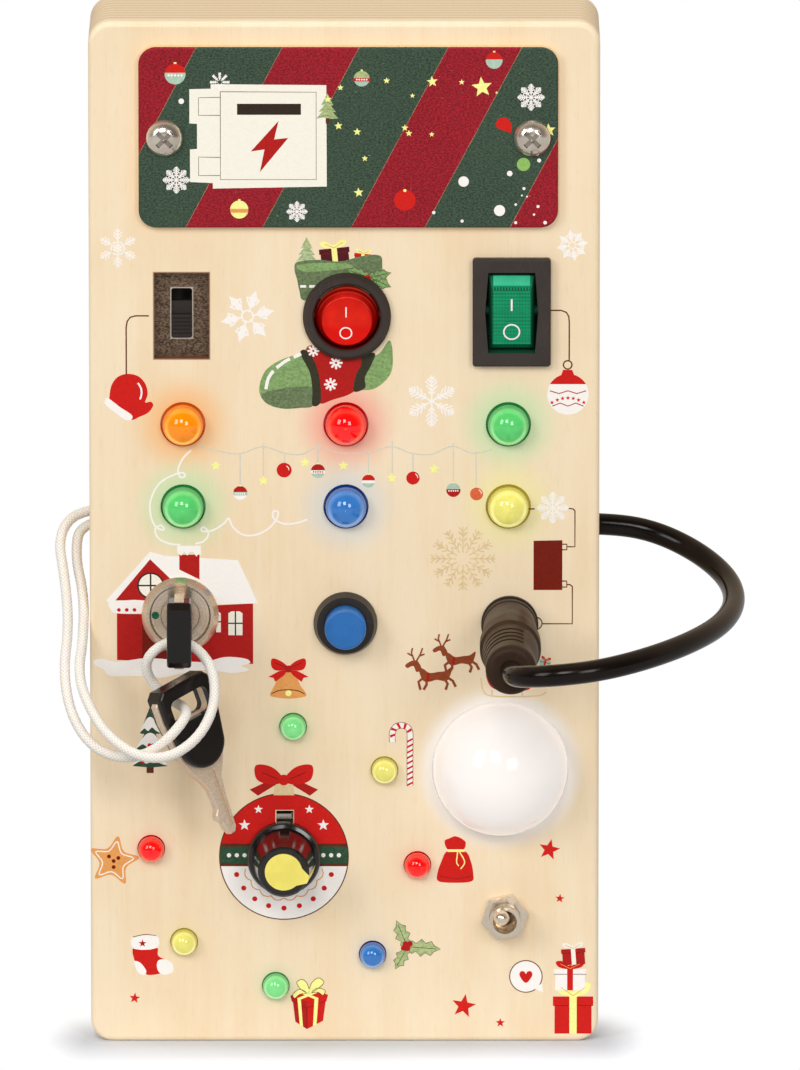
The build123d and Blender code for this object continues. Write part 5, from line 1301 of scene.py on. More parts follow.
@dataclass
class KeyLock(Assembly):
    """The turned lock with its key, and the spare key on the white cord."""

    centre: Flat = (-31.6, 84.3)
    cord: Cord = field(
        default_factory=lambda: Cord(
            name="key_cord",
            diameter=2.0,
            length=214.4,
            slot="white_cord",
            skin=CordSkin(Way.BRAID, paint(250, 244, 234), paint(228, 216, 202)),
            sides=32,
            step=0.3,
            ripple=0.16,
            route=(
                (-44.0, 0.0, 102.1), (-51.2, 0.0, 102.1), (-55.4, -3.8, 97.6), (-53.8, -10.0, 90.2),
                (-53.0, -16.6, 82.2), (-54.0, -22.6, 74.8), (-52.6, -28.2, 67.6), (-48.6, -32.4, 62.0),
                (-42.6, -35.4, 60.2), (-37.4, -37.8, 61.8), (-33.3, -39.6, 65.4), (-30.2, -36.8, 68.8),
                (-30.4, -32.0, 69.6), (-32.6, -28.0, 69.8), (-36.2, -26.8, 72.4), (-38.4, -28.8, 76.8),
                (-36.8, -30.9, 80.6), (-32.0, -31.2, 83.0), (-27.4, -31.2, 80.6), (-24.8, -32.4, 76.2),
                (-24.8, -35.0, 70.4), (-27.8, -38.4, 65.0), (-33.4, -41.0, 61.6), (-39.4, -41.0, 61.8),
                (-45.2, -37.4, 65.0), (-48.9, -31.4, 69.4), (-51.2, -24.4, 74.4), (-50.2, -16.6, 80.2),
                (-50.2, -9.8, 87.2), (-52.0, -4.2, 93.6), (-51.0, 0.0, 99.7), (-44.0, 0.0, 99.7),
            ),
        )
    )

    def build(self) -> None:
        """Dresses the lock and the keys and lays the cord through them."""
        x, z = self.centre
        turned = Metal(paint(246, 228, 206), paint(232, 212, 188), rough=0.24, relief=0.02,
            centre=(x, 0.0, z), scuffed=0.0, metallic=0.9, marks=((x - 4.75, z),))
        dress("lock_steel", turned, "key_lock_body", "key_lock_rotor")
        dress("key_cast", CAST, "key_blade")
        metal = self.spare_metal()
        dress("key_grip_black", Plastic(paint(22, 17, 15), rough=0.2, grain=2.2, relief=0.08, specular=0.4,
            scuffed=0.08), "key_grip", "spare_key_grip")
        tube, centres = self.cord.build()
        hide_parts("key_cord")
        dress("knot_white", Plastic(paint(240, 236, 230), rough=0.7, grain=1.2, relief=0.6, scuffed=0.0),
            "cord_knot")
        LOG.info("key lock built with %d cord rings", len(centres))

    def spare_metal(self) -> bpy.types.Object:
        """The spare key's cast metal: rim, neck and a grooved blade, narrow beyond its one cut.

        Returns:
            The piece that stands for the CAD blade.
        """
        across = Vector((0.7325, 0.614, 0.2895)).normalized()
        out = across.cross(Vector((-0.32, -0.064, 0.945))).normalized()
        along = out.cross(across)
        eye_middle = Vector((-30.7, -31.0, 69.8))
        outer = [(-5.65, 3.8), (-6.85, 2.6), (-6.85, -1.0), (-5.6, -9.0), (-3.7, -13.4), (-2.55, -15.0),
            (-1.6, -17.2), (-1.3, -19.4), (-1.35, -21.4), (-2.0, -22.4), (-2.0, -23.4), (-1.1, -24.2),
            (-0.9, -25.8), (-0.2, -27.0), (0.9, -27.0), (1.6, -26.0), (1.75, -20.0), (2.3, -15.6),
            (3.7, -13.4), (5.6, -9.0), (6.85, -1.0), (6.85, 2.6), (5.65, 3.8)]
        eye = [
            polar(ex, ey, 1.4, a)
            for ex, ey, first in ((3.2, 1.1, 0), (-3.2, 1.1, 90), (-3.2, -1.1, 180), (3.2, -1.1, 270))
            for a in range(first, first + 91, 15)
        ]
        groove = [(0.2, -25.6), (1.0, -25.6), (1.0, -14.0), (0.2, -14.0)]
        half, bevel, depth = 0.9, 0.22, 0.45
        form = bmesh.new()

        def ring(points: Sequence[Flat], height: float) -> list[bmesh.types.BMVert]:
            """Puts a loop of points on one level."""
            return [
                form.verts.new((eye_middle + across * px + along * py + out * height) * MM)
                for px, py in points
            ]

        def wall(low: list[bmesh.types.BMVert], high: list[bmesh.types.BMVert]) -> None:
            """Joins two loops."""
            for k in range(len(low)):
                after = (k + 1) % len(low)
                form.faces.new((low[k], low[after], high[after], high[k]))

        inset = []
        for k, (px, py) in enumerate(outer):
            before, after = outer[k - 1], outer[(k + 1) % len(outer)]
            way = Vector((after[0] - before[0], after[1] - before[1])).normalized()
            inset.append((px - way.y * bevel, py + way.x * bevel))
        sides = []
        for side in (-1, 1):
            edge, brim = ring(outer, side * (half - bevel)), ring(inset, side * half)
            hole, lip = ring(eye, side * half), ring(groove, side * half)
            wall(edge, brim)
            pairs = [(loop[k - 1], loop[k]) for loop in (brim, hole, lip)
                for k in (*range(1, len(loop)), 0)]
            flat = [form.edges.get(pair) or form.edges.new(pair) for pair in pairs]
            bmesh.ops.triangle_fill(form, use_beauty=True, edges=flat)
            bed = ring(groove, side * (half - depth))
            wall(lip, bed)
            form.faces.new(bed)
            sides.append((edge, hole))
        wall(sides[0][0], sides[1][0])
        wall(sides[0][1], sides[1][1])
        bmesh.ops.recalc_face_normals(form, faces=form.faces)
        points = [v.co.copy() for v in form.verts]
        form.verts.index_update()
        faces = [[v.index for v in face.verts] for face in form.faces]
        form.free()
        piece = mesh_piece("spare_key_metal", points, faces, "board", SHELF.get("key_cast", CAST))
        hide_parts("spare_key_blade")
        return piece


@dataclass
class PowerPlug(Assembly):
    """The round socket, its plug and the black cable back into the board's side."""

    cable: Cord = field(
        default_factory=lambda: Cord(
            name="plug_cable",
            diameter=4.2,
            length=130.1,
            slot="cable_rubber",
            skin=CordSkin(Way.SHEATH, paint(18, 12, 9), paint(26, 18, 14)),
            sides=28,
            step=0.5,
            bend=("plug", (60.0, -2.0, 90.0), (60.0, -56.0, 90.0)),
            route=(
                (44.0, 0.5, 99.0), (52.0, 0.5, 99.0), (60.2, -0.4, 97.6), (68.2, -4.8, 94.5),
                (73.8, -13.8, 91.4), (75.2, -26.0, 89.2), (72.6, -41.0, 88.0), (66.4, -55.0, 87.3),
                (58.2, -65.4, 86.4), (49.6, -71.0, 85.3), (41.6, -72.4, 84.5), (35.0, -70.2, 83.7),
                (31.8, -65.0, 82.8), (31.8, -59.0, 82.5),
            ),
        )
    )

    def build(self) -> None:
        """Dresses the socket and the plug and lays the cable."""
        dress("socket_black", BLACK, "power_socket")
        dress("plug_rubber", Plastic(paint(56, 39, 27), rough=0.44, grain=2.6, relief=0.25, specular=0.14,
            scuffed=0.08), "power_plug")
        dress("stop_rubber", BLACK, "cable_stop")
        tube, centres = self.cable.build()
        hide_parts("plug_cable")
        LOG.info("plug cable built with %d rings", len(centres))


@dataclass
class DomedLamp(Assembly):
    """The large milky half-round lamp."""

    def build(self) -> None:
        """Dresses the dome and its board."""
        milky = Plastic(paint(226, 220, 216), rough=0.07, grain=0.5, relief=0.003, scuffed=0.0, glow=0.4,
            soft=0.3, mottle=0.004, specular=0.4)
        dress("milky_dome", milky, "dome_lamp")
        dress("lamp_board", Plastic(paint(236, 234, 226), rough=0.3), "dome_lamp_board")


@dataclass
class TurningKnob(Assembly):
    """The black knob with its yellow pointer, on its potentiometer."""

    def build(self) -> None:
        """Dresses the knob, the pointer, the shaft and the body behind."""
        dress("knob_black", GLOSS_BLACK, "knob")
        yellow = Plastic(paint(255, 238, 112), rough=0.35, grain=2.6, relief=0.1,
            scuff=paint(255, 245, 190))
        dress("pointer_yellow", yellow, "knob_pointer")
        dress("shaft_steel", CHROME, "pot_shaft", "pot_body")


@dataclass
class ToggleSwitch(Assembly):
    """The small toggle switch and every mounting nut."""

    def build(self) -> None:
        """Dresses the bush, the lever and the nuts."""
        warm = Metal(paint(248, 234, 214), paint(240, 224, 202), rough=0.2, grain=1800.0, relief=0.01,
            scuffed=0.0, metallic=0.85)
        dress("toggle_nickel", warm, "toggle_body", "toggle_lever", "panel_nuts")


# ------------------------------------------------------------------ studio
@dataclass
class Studio:
    """The camera, the soft lamps, the white surroundings and the pale floor."""

    target: Vector = field(default_factory=lambda: Vector((0.01069, -0.015, 0.0999)))
    distance: float = 3.6
    elevation: float = 11.54
    lens: float = 630.0
    boxes: tuple[tuple[Spot, Flat, float], ...] = (
        ((-0.607, 0.278, 0.745), (0.90, 1.28), 20.4),
        ((-0.135, 0.351, 0.925), (0.75, 0.90), 20.4),
        ((0.347, 0.145, 0.925), (0.75, 1.05), 18.2),
    )
    box_reach: float = 3.0
    overhead: tuple[Spot, Flat, float] = ((0.0, 0.04, 1.3), (1.6, 0.22), 5.0)
    fill: float = 0.45

    def build(self) -> None:
        """Sets up everything that isn't part of the object."""
        lift = math.radians(self.elevation)
        self.up = Vector((0, math.sin(lift), math.cos(lift)))
        self.toward = Vector((0, -math.cos(lift), math.sin(lift)))
        self._camera()
        self._lamps()
        self._world()
        self._floor()
        bpy.context.scene.view_settings.view_transform = "Standard"

    def _camera(self) -> None:
        """Places the camera."""
        data = bpy.data.cameras.new("view")
        data.sensor_width = 36.0
        data.lens = self.lens
        data.clip_start, data.clip_end = 0.1, 60.0
        camera = bpy.data.objects.new("view", data)
        camera.location = self.target + self.toward * self.distance
        camera.rotation_mode = "QUATERNION"
        camera.rotation_quaternion = (-self.toward).to_track_quat("-Z", "Y")
        bpy.context.scene.collection.objects.link(camera)
        bpy.context.scene.camera = camera

    def _lamp(self, name: str, where: Vector, size: Flat, power: float) -> bpy.types.Object:
        """Hangs one softbox that faces the object.

        Args:
            name: The lamp's name.
            where: Its place in metres.
            size: Its width and height in metres.
            power: Its power in watts.

        Returns:
            The lamp.
        """
        data = bpy.data.lights.new(name, "AREA")
        data.shape = "RECTANGLE"
        data.size, data.size_y = size
        data.energy = power
        lamp = bpy.data.objects.new(name, data)
        lamp.location = where
        lamp.rotation_mode = "QUATERNION"
        lamp.rotation_quaternion = (self.target - where).to_track_quat("-Z", "Y")
        bpy.context.scene.collection.objects.link(lamp)
        return lamp

    def _lamps(self) -> None:
        """Hangs the softboxes and the long narrow lamp that shades the floor under the front."""
        for i, ((right, up, near), size, power) in enumerate(self.boxes):
            way = Vector((1, 0, 0)) * right + self.up * up + self.toward * near
            self._lamp(f"softbox_{i}", self.target + way.normalized() * self.box_reach, size, power)
        where, size, power = self.overhead
        overhead = self._lamp("overhead", Vector(where), size, power)
        overhead.rotation_quaternion = Vector((0, 0, -1)).to_track_quat("-Z", "Y")
        overhead.visible_glossy = False

    def _world(self) -> None:
        """Makes the surroundings: white where seen or mirrored, an even fill elsewhere."""
        world = bpy.data.worlds.new("surround")
        world.use_nodes = True
        bpy.context.scene.world = world
        desk = Tree(world.node_tree)
        back = world.node_tree.nodes["Background"]
        ray = desk.add("ShaderNodeLightPath")
        way = desk.parts(desk.add("ShaderNodeTexCoord").outputs["Generated"])
        room = desk.span(way[1], -0.55, 0.25, 0.05, 0.6)
        mirrored = desk.math("MAXIMUM", ray.outputs["Is Glossy Ray"], ray.outputs["Is Transmission Ray"])
        shown = desk.times(mirrored, room)
        seen = desk.math("MAXIMUM", ray.outputs["Is Camera Ray"], shown)
        strength = desk.math("MAXIMUM", seen, desk.times(desk.minus(1.0, mirrored), self.fill))
        warm = desk.mix(mirrored, (1.0, 1.0, 1.0, 1.0), paint(255, 230, 202))
        world.node_tree.links.new(warm, back.inputs["Color"])
        world.node_tree.links.new(strength, back.inputs["Strength"])

    def _floor(self) -> None:
        """Lays the floor: lit near the object, so its shadow stays, with painted light for camera rays that
        pales it with distance from the board's front, and plain white further off.
        """
        mesh = bpy.data.meshes.new("floor")
        reach = 20.0
        mesh.from_pydata([(-reach, -reach, 0), (reach, -reach, 0), (reach, reach, 0), (-reach, reach, 0)],
            [], [(0, 1, 2, 3)])
        shade = Shade("floor_white")
        where = shade.place()
        away = shade.add("ShaderNodeVectorMath", {0: where}, operation="LENGTH").outputs["Value"]
        xyz = shade.parts(where)
        beside = shade.math("MAXIMUM", shade.minus(shade.size(xyz[0]), BOARD_W / 2 * MM), 0.0)
        before = shade.minus(xyz[1], FACE_Y * MM)
        step = shade.reach(shade.times(beside, 2.2), before)
        far = shade.math("MAXIMUM", shade.span(away, 0.22, 0.5), shade.span(step, 0.012, 0.03))
        cloud = shade.noise(where, 30.0, 2.0)
        shade.set(Base_Color=shade.mix(cloud, paint(226, 229, 234), paint(222, 226, 232)), Roughness=0.9,
            Specular_IOR_Level=0.0)
        ray = shade.add("ShaderNodeLightPath")
        mirrored = shade.math("MAXIMUM", ray.outputs["Is Glossy Ray"], ray.outputs["Is Transmission Ray"])
        unseen = shade.plus(self.fill, shade.times(mirrored, 0.1))
        white = shade.add("ShaderNodeEmission", {"Color": (1.0, 1.0, 1.0, 1.0)})
        shade.tree.links.new(shade.math("MAXIMUM", ray.outputs["Is Camera Ray"], unseen),
            white.inputs["Strength"])
        # Painted light: for camera rays the floor pales with distance from the board's front, shaping the
        # shadow's edge.
        lift = shade.add("ShaderNodeEmission", {"Color": (1.0, 1.0, 1.0, 1.0)})
        painted_shadow_fade = shade.span(step, 0.003, 0.026, 0.0, 0.5, how="LINEAR")
        shade.tree.links.new(shade.times(ray.outputs["Is Camera Ray"], painted_shadow_fade), lift.inputs["Strength"])
        near = shade.add("ShaderNodeAddShader", {0: shade.skin.outputs[0], 1: lift.outputs[0]})
        both = shade.add("ShaderNodeMixShader", {0: far, 1: near.outputs[0], 2: white.outputs[0]})
        shade.tree.links.new(both.outputs[0], shade.tree.nodes["Material Output"].inputs["Surface"])
        mesh.materials.append(shade.material)
        floor = bpy.data.objects.new("floor", mesh)
        bpy.context.scene.collection.objects.link(floor)


# ------------------------------------------------------------------ printed artwork
class Hue(Enum):
    """The inks that the board is printed with."""

    WHITE = Ink(paint(255, 249, 242), amount=0.0, mottle=0.015)
    RED = Ink(paint(212, 26, 22), mottle=0.06)
    DEEP_RED = Ink(paint(182, 26, 24), mottle=0.08)
    BRIGHT_RED = Ink(paint(216, 30, 24), mottle=0.06)
    BRICK = Ink(paint(120, 26, 12))
    DARK_GREEN = Ink(paint(108, 126, 88), amount=0.3, mottle=0.25)
    GREEN = Ink(paint(134, 166, 104), amount=0.3, mottle=0.22)
    PALE_GREEN = Ink(paint(176, 190, 132), mottle=0.2)
    LIME = Ink(paint(148, 192, 100))
    MINT = Ink(paint(178, 206, 184))
    YELLOW = Ink(paint(255, 252, 154), mottle=0.05)
    GOLD = Ink(paint(226, 198, 142), cover=0.7)
    TAN = Ink(paint(236, 162, 90), mottle=0.06)
    BROWN = Ink(paint(98, 46, 26))
    PINE = Ink(paint(50, 82, 60), mottle=0.2)
    SHADOW_GREEN = Ink(paint(56, 54, 40), mottle=0.15)
    RUST = Ink(paint(150, 70, 38), mottle=0.12)
    SOOT = Ink(paint(52, 38, 32))
    CREAM = Ink(paint(252, 246, 230), amount=0.0, mottle=0.02)
    MIST = Ink(paint(196, 206, 200), cover=0.6)
    ORANGE = Ink(paint(226, 104, 62))
    PLUM = Ink(paint(84, 22, 30))


class RibbonPress:
    """Turns drawn lines into thin flat ribbons, and repeats them round a centre, by node tree."""

    # A ribbon's thickness, and the small step that keeps ribbons out of one plane, in millimetres.
    DEPTH = 0.06
    LIFT = 0.0015

    def __init__(self) -> None:
        """Builds the node tree."""
        tree = bpy.data.node_groups.new("ribbon_ring", "GeometryNodeTree")
        for name, kind in (
            ("Geometry", "NodeSocketGeometry"), ("Width", "NodeSocketFloat"), ("Depth", "NodeSocketFloat"),
            ("Copies", "NodeSocketInt"), ("Turn", "NodeSocketFloat"), ("Lift", "NodeSocketFloat"),
            ("Ink", "NodeSocketMaterial"),
        ):
            tree.interface.new_socket(name, in_out="INPUT", socket_type=kind)
        tree.interface.new_socket("Geometry", in_out="OUTPUT", socket_type="NodeSocketGeometry")
        desk = Tree(tree)
        given = desk.add("NodeGroupInput")
        profile = desk.add(
            "GeometryNodeCurvePrimitiveQuadrilateral",
            {"Width": given.outputs["Depth"], "Height": given.outputs["Width"]},
        )
        facing = desk.add("GeometryNodeSetCurveNormal", {"Curve": given.outputs["Geometry"]}, mode="FREE")
        facing.inputs["Normal"].default_value = (0.0, -1.0, 0.0)
        ribbon = desk.add(
            "GeometryNodeCurveToMesh",
            {"Curve": facing.outputs[0], "Profile Curve": profile.outputs[0], "Fill Caps": True},
        )
        back = desk.times(given.outputs["Lift"], -1.0)
        step = desk.add("ShaderNodeCombineXYZ", {1: back})
        spots = desk.add("GeometryNodeMeshLine",
            {"Count": given.outputs["Copies"], "Offset": step.outputs[0]})
        index = desk.add("GeometryNodeInputIndex")
        angle = desk.times(index.outputs[0], given.outputs["Turn"])
        spin = desk.add("ShaderNodeCombineXYZ", {1: angle})
        turned = desk.add("FunctionNodeEulerToRotation", {"Euler": spin.outputs[0]})
        ring = desk.add(
            "GeometryNodeInstanceOnPoints",
            {"Points": spots.outputs[0], "Instance": ribbon.outputs[0], "Rotation": turned.outputs[0]},
        )
        real = desk.add("GeometryNodeRealizeInstances", {"Geometry": ring.outputs[0]})
        inked = desk.add("GeometryNodeSetMaterial",
            {"Geometry": real.outputs[0], "Material": given.outputs["Ink"]})
        tree.links.new(inked.outputs[0], desk.add("NodeGroupOutput").inputs[0])
        self.tree = tree
        self.keys = {item.name: item.identifier for item in tree.interface.items_tree
            if item.in_out == "INPUT"}

    def press(self, lines: Sequence[tuple[Sequence[Flat], float]], width: float, copies: int,
              ink: bpy.types.Material) -> tuple[list[Vector], list[tuple[int, ...]]]:
        """Makes ribbons of one width.

        Args:
            lines: Each line's points in millimetres round the centre, and how far out it lies.
            width: The ribbons' width in millimetres.
            copies: How many times the lines repeat round the centre.
            ink: The ink's material.

        Returns:
            The corners in metres and the faces.
        """
        curve = bpy.data.curves.new("drawn_lines", "CURVE")
        curve.dimensions = "3D"
        for number, (points, out) in enumerate(lines):
            spline = curve.splines.new("POLY")
            spline.points.add(len(points) - 1)
            level = out - self.DEPTH / 2 + self.LIFT * copies * (number % 7)
            for step, (x, z) in enumerate(points):
                rise = level + 2 * self.LIFT * step / len(points)
                spline.points[step].co = (x * MM, -rise * MM, z * MM, 1.0)
        holder = bpy.data.objects.new("drawn_lines", curve)
        bpy.context.scene.collection.objects.link(holder)
        ribbons = holder.modifiers.new("ribbons", "NODES")
        ribbons.node_group = self.tree
        for name, value in (
            ("Width", width * MM), ("Depth", self.DEPTH * MM), ("Copies", copies),
            ("Turn", 2 * math.pi / copies), ("Lift", self.LIFT * MM), ("Ink", ink),
        ):
            ribbons[self.keys[name]] = value
        graph = bpy.context.evaluated_depsgraph_get()
        read = bpy.data.meshes.new_from_object(holder.evaluated_get(graph))
        corners = [v.co.copy() for v in read.vertices]
        faces = [tuple(p.vertices) for p in read.polygons]
        bpy.data.objects.remove(holder)
        bpy.data.meshes.remove(read)
        bpy.data.curves.remove(curve)
        return corners, faces


PRESS = RibbonPress()


@dataclass
class Sheet:
    """Everything printed on one surface: filled shapes and lines, kept by ink."""

    name: str
    out: float
    pivot: Spot | None = None
    tilt: float = 0.0
    corners: dict[Hue, list[Vector]] = field(default_factory=dict)
    faces: dict[Hue, list[tuple[int, ...]]] = field(default_factory=dict)
    shapes: int = 0

    # Levels of the print over its surface, in millimetres: a plate's front, a line's front, the rise
    # for each layer, the rise from shape to shape and how far a plate's back is sunk.
    PLATE = 0.02
    LINE = 0.024
    LAYER = 0.006
    NEXT = 0.001
    SUNK = 0.05

    def _keep(self, hue: Hue, corners: Iterable[Vector], faces: Iterable[Sequence[int]]) -> None:
        """Adds a finished shape to the ink's mesh."""
        held = self.corners.setdefault(hue, [])
        start = len(held)
        held.extend(corners)
        self.faces.setdefault(hue, []).extend(tuple(start + i for i in face) for face in faces)

    def fill(self, hue: Hue, outline: Sequence[Flat], layer: int = 0,
            holes: Sequence[Sequence[Flat]] = ()) -> None:
        """Prints a filled shape as a thin closed plate sunk a little into its surface.

        Args:
            hue: The ink.
            outline: The shape's corners in millimetres.
            layer: How many other shapes it lies on.
            holes: Outlines of the places left bare.
        """
        loops = [list(outline), *[list(hole) for hole in holes]]
        flat = [Vector((x, z, 0.0)) for loop in loops for x, z in loop]
        count = len(flat)
        self.shapes += 1
        front = self.out + self.PLATE + self.LAYER * layer + self.NEXT * (self.shapes % 6)
        corners = [at(p.x, p.y, front) for p in flat] + [at(p.x, p.y, self.out - self.SUNK) for p in flat]
        faces: list[tuple[int, ...]] = []
        for a, b, c in tessellate_polygon([[Vector((x, z, 0.0)) for x, z in loop] for loop in loops]):
            turn = (flat[b] - flat[a]).cross(flat[c] - flat[a]).z
            a, b, c = (a, b, c) if turn > 0 else (a, c, b)
            faces += [(a, b, c), (c + count, b + count, a + count)]
        start = 0
        for number, loop in enumerate(loops):
            area = sum(p[0] * q[1] - q[0] * p[1] for p, q in zip(loop, loop[1:] + loop[:1]))
            outward = (area > 0) == (number == 0)
            for i in range(len(loop)):
                p, q = start + i, start + (i + 1) % len(loop)
                wall = (p, p + count, q + count, q)
                faces.append(wall if outward else tuple(reversed(wall)))
            start += len(loop)
        self._keep(hue, corners, faces)

    def line(self, hue: Hue, width: float, *lines: Sequence[Flat], layer: int = 0, copies: int = 1,
             centre: Flat = (0.0, 0.0), turn: float = 0.0) -> None:
        """Prints lines of one width, repeated round a centre where copies says so.

        Args:
            hue: The ink.
            width: The line's width in millimetres.
            *lines: Points of each line, round the centre.
            layer: How many shapes they lie on.
            copies: How often they repeat round the centre.
            centre: Where the middle of the pattern goes.
            turn: Degrees that the pattern is turned by.
        """
        out = self.LINE + self.LAYER * layer
        turned = [(placed(points, 0.0, 0.0, turn), out) for points in lines]
        ink = SHELF.get("ink_" + hue.name.lower(), hue.value)
        corners, faces = PRESS.press(turned, width, copies, ink)
        self._keep(hue, [c + at(*centre, self.out) for c in corners], faces)

    def build(self, body: str = "board") -> None:
        """Makes one piece for each ink."""
        if self.pivot is not None:
            x, out, z = self.pivot
            turn = Matrix.Rotation(math.radians(self.tilt), 3, "X")
            for hue, corners in self.corners.items():
                self.corners[hue] = [at(x, z, out) + turn @ (p - at(0.0, 0.0, 0.0)) for p in corners]
        for hue, corners in self.corners.items():
            ink = SHELF.get("ink_" + hue.name.lower(), hue.value)
            name = f"{self.name}_{hue.name.lower()}"
            mesh_piece(name, corners, self.faces[hue], body, ink)
            LOG.info("%s printed with %d faces", name, len(self.faces[hue]))

    def blob(self, hue: Hue, corners: Sequence[Flat], layer: int = 0, steps: int = 6) -> None:
        """A filled shape with rounded corners."""
        self.fill(hue, smooth(corners, steps=steps), layer)

    def curve(self, hue: Hue, width: float, *rows: Sequence[Flat], layer: int = 0) -> None:
        """Rounded open lines of one width."""
        self.line(hue, width, *[smooth(row, closed=False) for row in rows], layer=layer)

    # -------------------------------------------------------------- common ornaments
    def dot(self, hue: Hue, x: float, z: float, radius: float, layer: int = 0) -> None:
        """A round dot."""
        self.fill(hue, circle(x, z, radius, 28 if radius > 0.8 else 16), layer)

    def star(self, hue: Hue, x: float, z: float, radius: float, turn: float = 90.0, layer: int = 0,
             waist: float = 0.42) -> None:
        """A five-pointed star."""
        self.fill(hue, star(x, z, radius, turn, waist), layer)

    def flake(self, x: float, z: float, radius: float, kind: int = 0, arms: int = 6, turn: float = 90.0,
              hue: Hue = Hue.WHITE, width: float = 0.0, layer: int = 0) -> None:
        """A snow crystal.

        Args:
            x: Its middle.
            z: Its middle.
            radius: How far its arms reach.
            kind: Which of the four patterns its arms have.
            arms: How many arms.
            turn: The first arm's direction in degrees.
            hue: The ink.
            width: The lines' width, or 0 for the usual share of the radius.
            layer: How many shapes it lies on.
        """
        slope = math.tan(math.pi / arms)

        def barbs(lean: float, *starts: Flat) -> list[list[Flat]]:
            """Pairs of short lines off an arm, by where each starts and how far along it runs."""
            return [[(a + b, k * b * lean), (a, 0.0)] for a, b in starts for k in (1, -1)]

        def rungs(*reaches: float) -> list[list[Flat]]:
            """Lines that cross an arm and meet those of the next arms."""
            return [[(a, -a * slope), (a, a * slope)] for a in reaches]

        spine = [(0.0, 0.0), (1.0, 0.0)]
        patterns = {
            0: [spine, *barbs(1.0, (0.46, 0.2), (0.62, 0.2), (0.8, 0.12)), *rungs(0.3, 0.16)],
            1: [spine, *barbs(1.05, (0.26, 0.12), (0.4, 0.2), (0.55, 0.22), (0.7, 0.16), (0.84, 0.1))],
            2: [
                [(0.16, 0.0), (0.98, 0.0)], [(0.5, 0.16), (0.7, 0.24)], [(0.5, -0.16), (0.7, -0.24)],
                *rungs(0.2),
            ],
            3: [[(0.2, 0.0), (1.0, 0.0)], *barbs(1.0, *((a, 0.13) for a in (0.36, 0.54, 0.72, 0.86)))],
        }
        arm = [placed(row, 0.0, 0.0, scale=radius) for row in patterns[kind]]
        thick = width or max(0.2, radius * 0.062)
        self.line(hue, thick, *arm, layer=layer, copies=arms, centre=(x, z), turn=turn)
        if kind == 2:
            edge = [(0.3, 0.0), (0.46, 0.15), (0.6, 0.1), (0.66, 0.2), (0.8, 0.1), (1.0, 0.0)]
            leaf = edge + [(a, -b) for a, b in edge[-2:0:-1]]
            for i in range(arms):
                self.fill(hue, placed(leaf, x, z, turn + 360 * i / arms, radius), layer)

    def bauble(self, x: float, z: float, radius: float, body: Hue, cap: Hue, band: Hue | None = None,
               beads: Hue | None = None, layer: int = 0) -> None:
        """A round tree ornament with a coloured upper part, a band and beads."""
        self.dot(body, x, z, radius, layer)
        top = [(px, pz) for px, pz in circle(x, z, radius, 48) if pz > z + 0.12 * radius]
        self.fill(cap, top, layer + 1)
        if band is not None:
            ring = circle(x, z, radius, 72)
            strip = [p for p in ring if abs(p[1] - z + 0.12 * radius) < 0.26 * radius]
            strip.sort(key=lambda p: math.atan2(p[1] - z, p[0] - x))
            self.fill(band, strip, layer + 2)
        if beads is not None:
            for k in (-0.62, -0.31, 0.0, 0.31, 0.62):
                self.dot(beads, x + k * radius, z - 0.12 * radius, radius * 0.11, layer + 3)
        loop = [(-0.13, 0.96), (0.13, 0.96), (0.13, 1.16), (-0.13, 1.16)]
        self.fill(Hue.YELLOW, placed(loop, x, z, scale=radius), layer + 1)

    def fir(self, x: float, z: float, height: float, hue: Hue, snow: Hue | None = None,
            layer: int = 0) -> None:
        """A small fir tree of three tiers standing on a point."""
        for low, half, tall in ((0.16, 0.36, 0.42), (0.38, 0.28, 0.36), (0.6, 0.2, 0.4)):
            tier = [(-half, low), (-half * 0.4, low + 0.04), (half * 0.4, low - 0.01), (half, low),
                (0.0, low + tall)]
            self.fill(hue, placed(tier, x, z, scale=height), layer)
            layer += 1
            if snow is not None:
                drift = [(-half * 0.8, low + 0.07), (0.0, low + 0.1), (half * 0.75, low + 0.05)]
                self.line(snow, 0.16, placed(drift, x, z, scale=height), layer=layer)
        trunk = [(-0.05, 0.0), (0.05, 0.0), (0.05, 0.17), (-0.05, 0.17)]
        self.fill(Hue.BROWN, placed(trunk, x, z, scale=height), layer)

    def gift(self, x: float, z: float, w: float, h: float, box: Hue, ribbon: Hue, lean: float = 0.0,
            layer: int = 0) -> None:
        """A wrapped box standing on a point, with a crossed ribbon and a bow.

        Args:
            x: The middle of its foot.
            z: The middle of its foot.
            w: Its width.
            h: Its height, with the bow.
            box: The paper's ink.
            ribbon: The ribbon's ink.
            lean: Degrees that it leans by.
            layer: How many shapes it lies on.
        """
        def slab(half: float, low: float, high: float) -> list[Flat]:
            """A rectangle across the box, in shares of its width and height."""
            corners = [(-half * w, low * h), (half * w, low * h), (half * w, high * h),
                (-half * w, high * h)]
            return placed(corners, x, z, lean)

        self.fill(box, slab(0.46, 0.0, 0.72), layer)
        self.fill(box, slab(0.5, 0.68, 0.9), layer)
        self.line(Hue.BRICK, 0.12, slab(0.5, 0.68, 0.9)[:2], layer=layer + 1)
        self.fill(ribbon, slab(0.09, 0.0, 0.9), layer + 2)
        for side in (-1, 1):
            loop = [(0.0, 0.9 * h), (side * 0.22 * w, 1.22 * h), (side * 0.44 * w, 1.2 * h),
                (side * 0.34 * w, 0.98 * h)]
            self.blob(ribbon, placed(loop, x, z, lean), layer + 2)
            crease = [(0.0, 0.92 * h), (side * 0.3 * w, 1.12 * h)]
            self.line(Hue.TAN, 0.1, placed(crease, x, z, lean), layer=layer + 4)
        self.fill(ribbon, placed(circle(0.0, 0.93 * h, 0.1 * w, 12), x, z, lean), layer + 3)

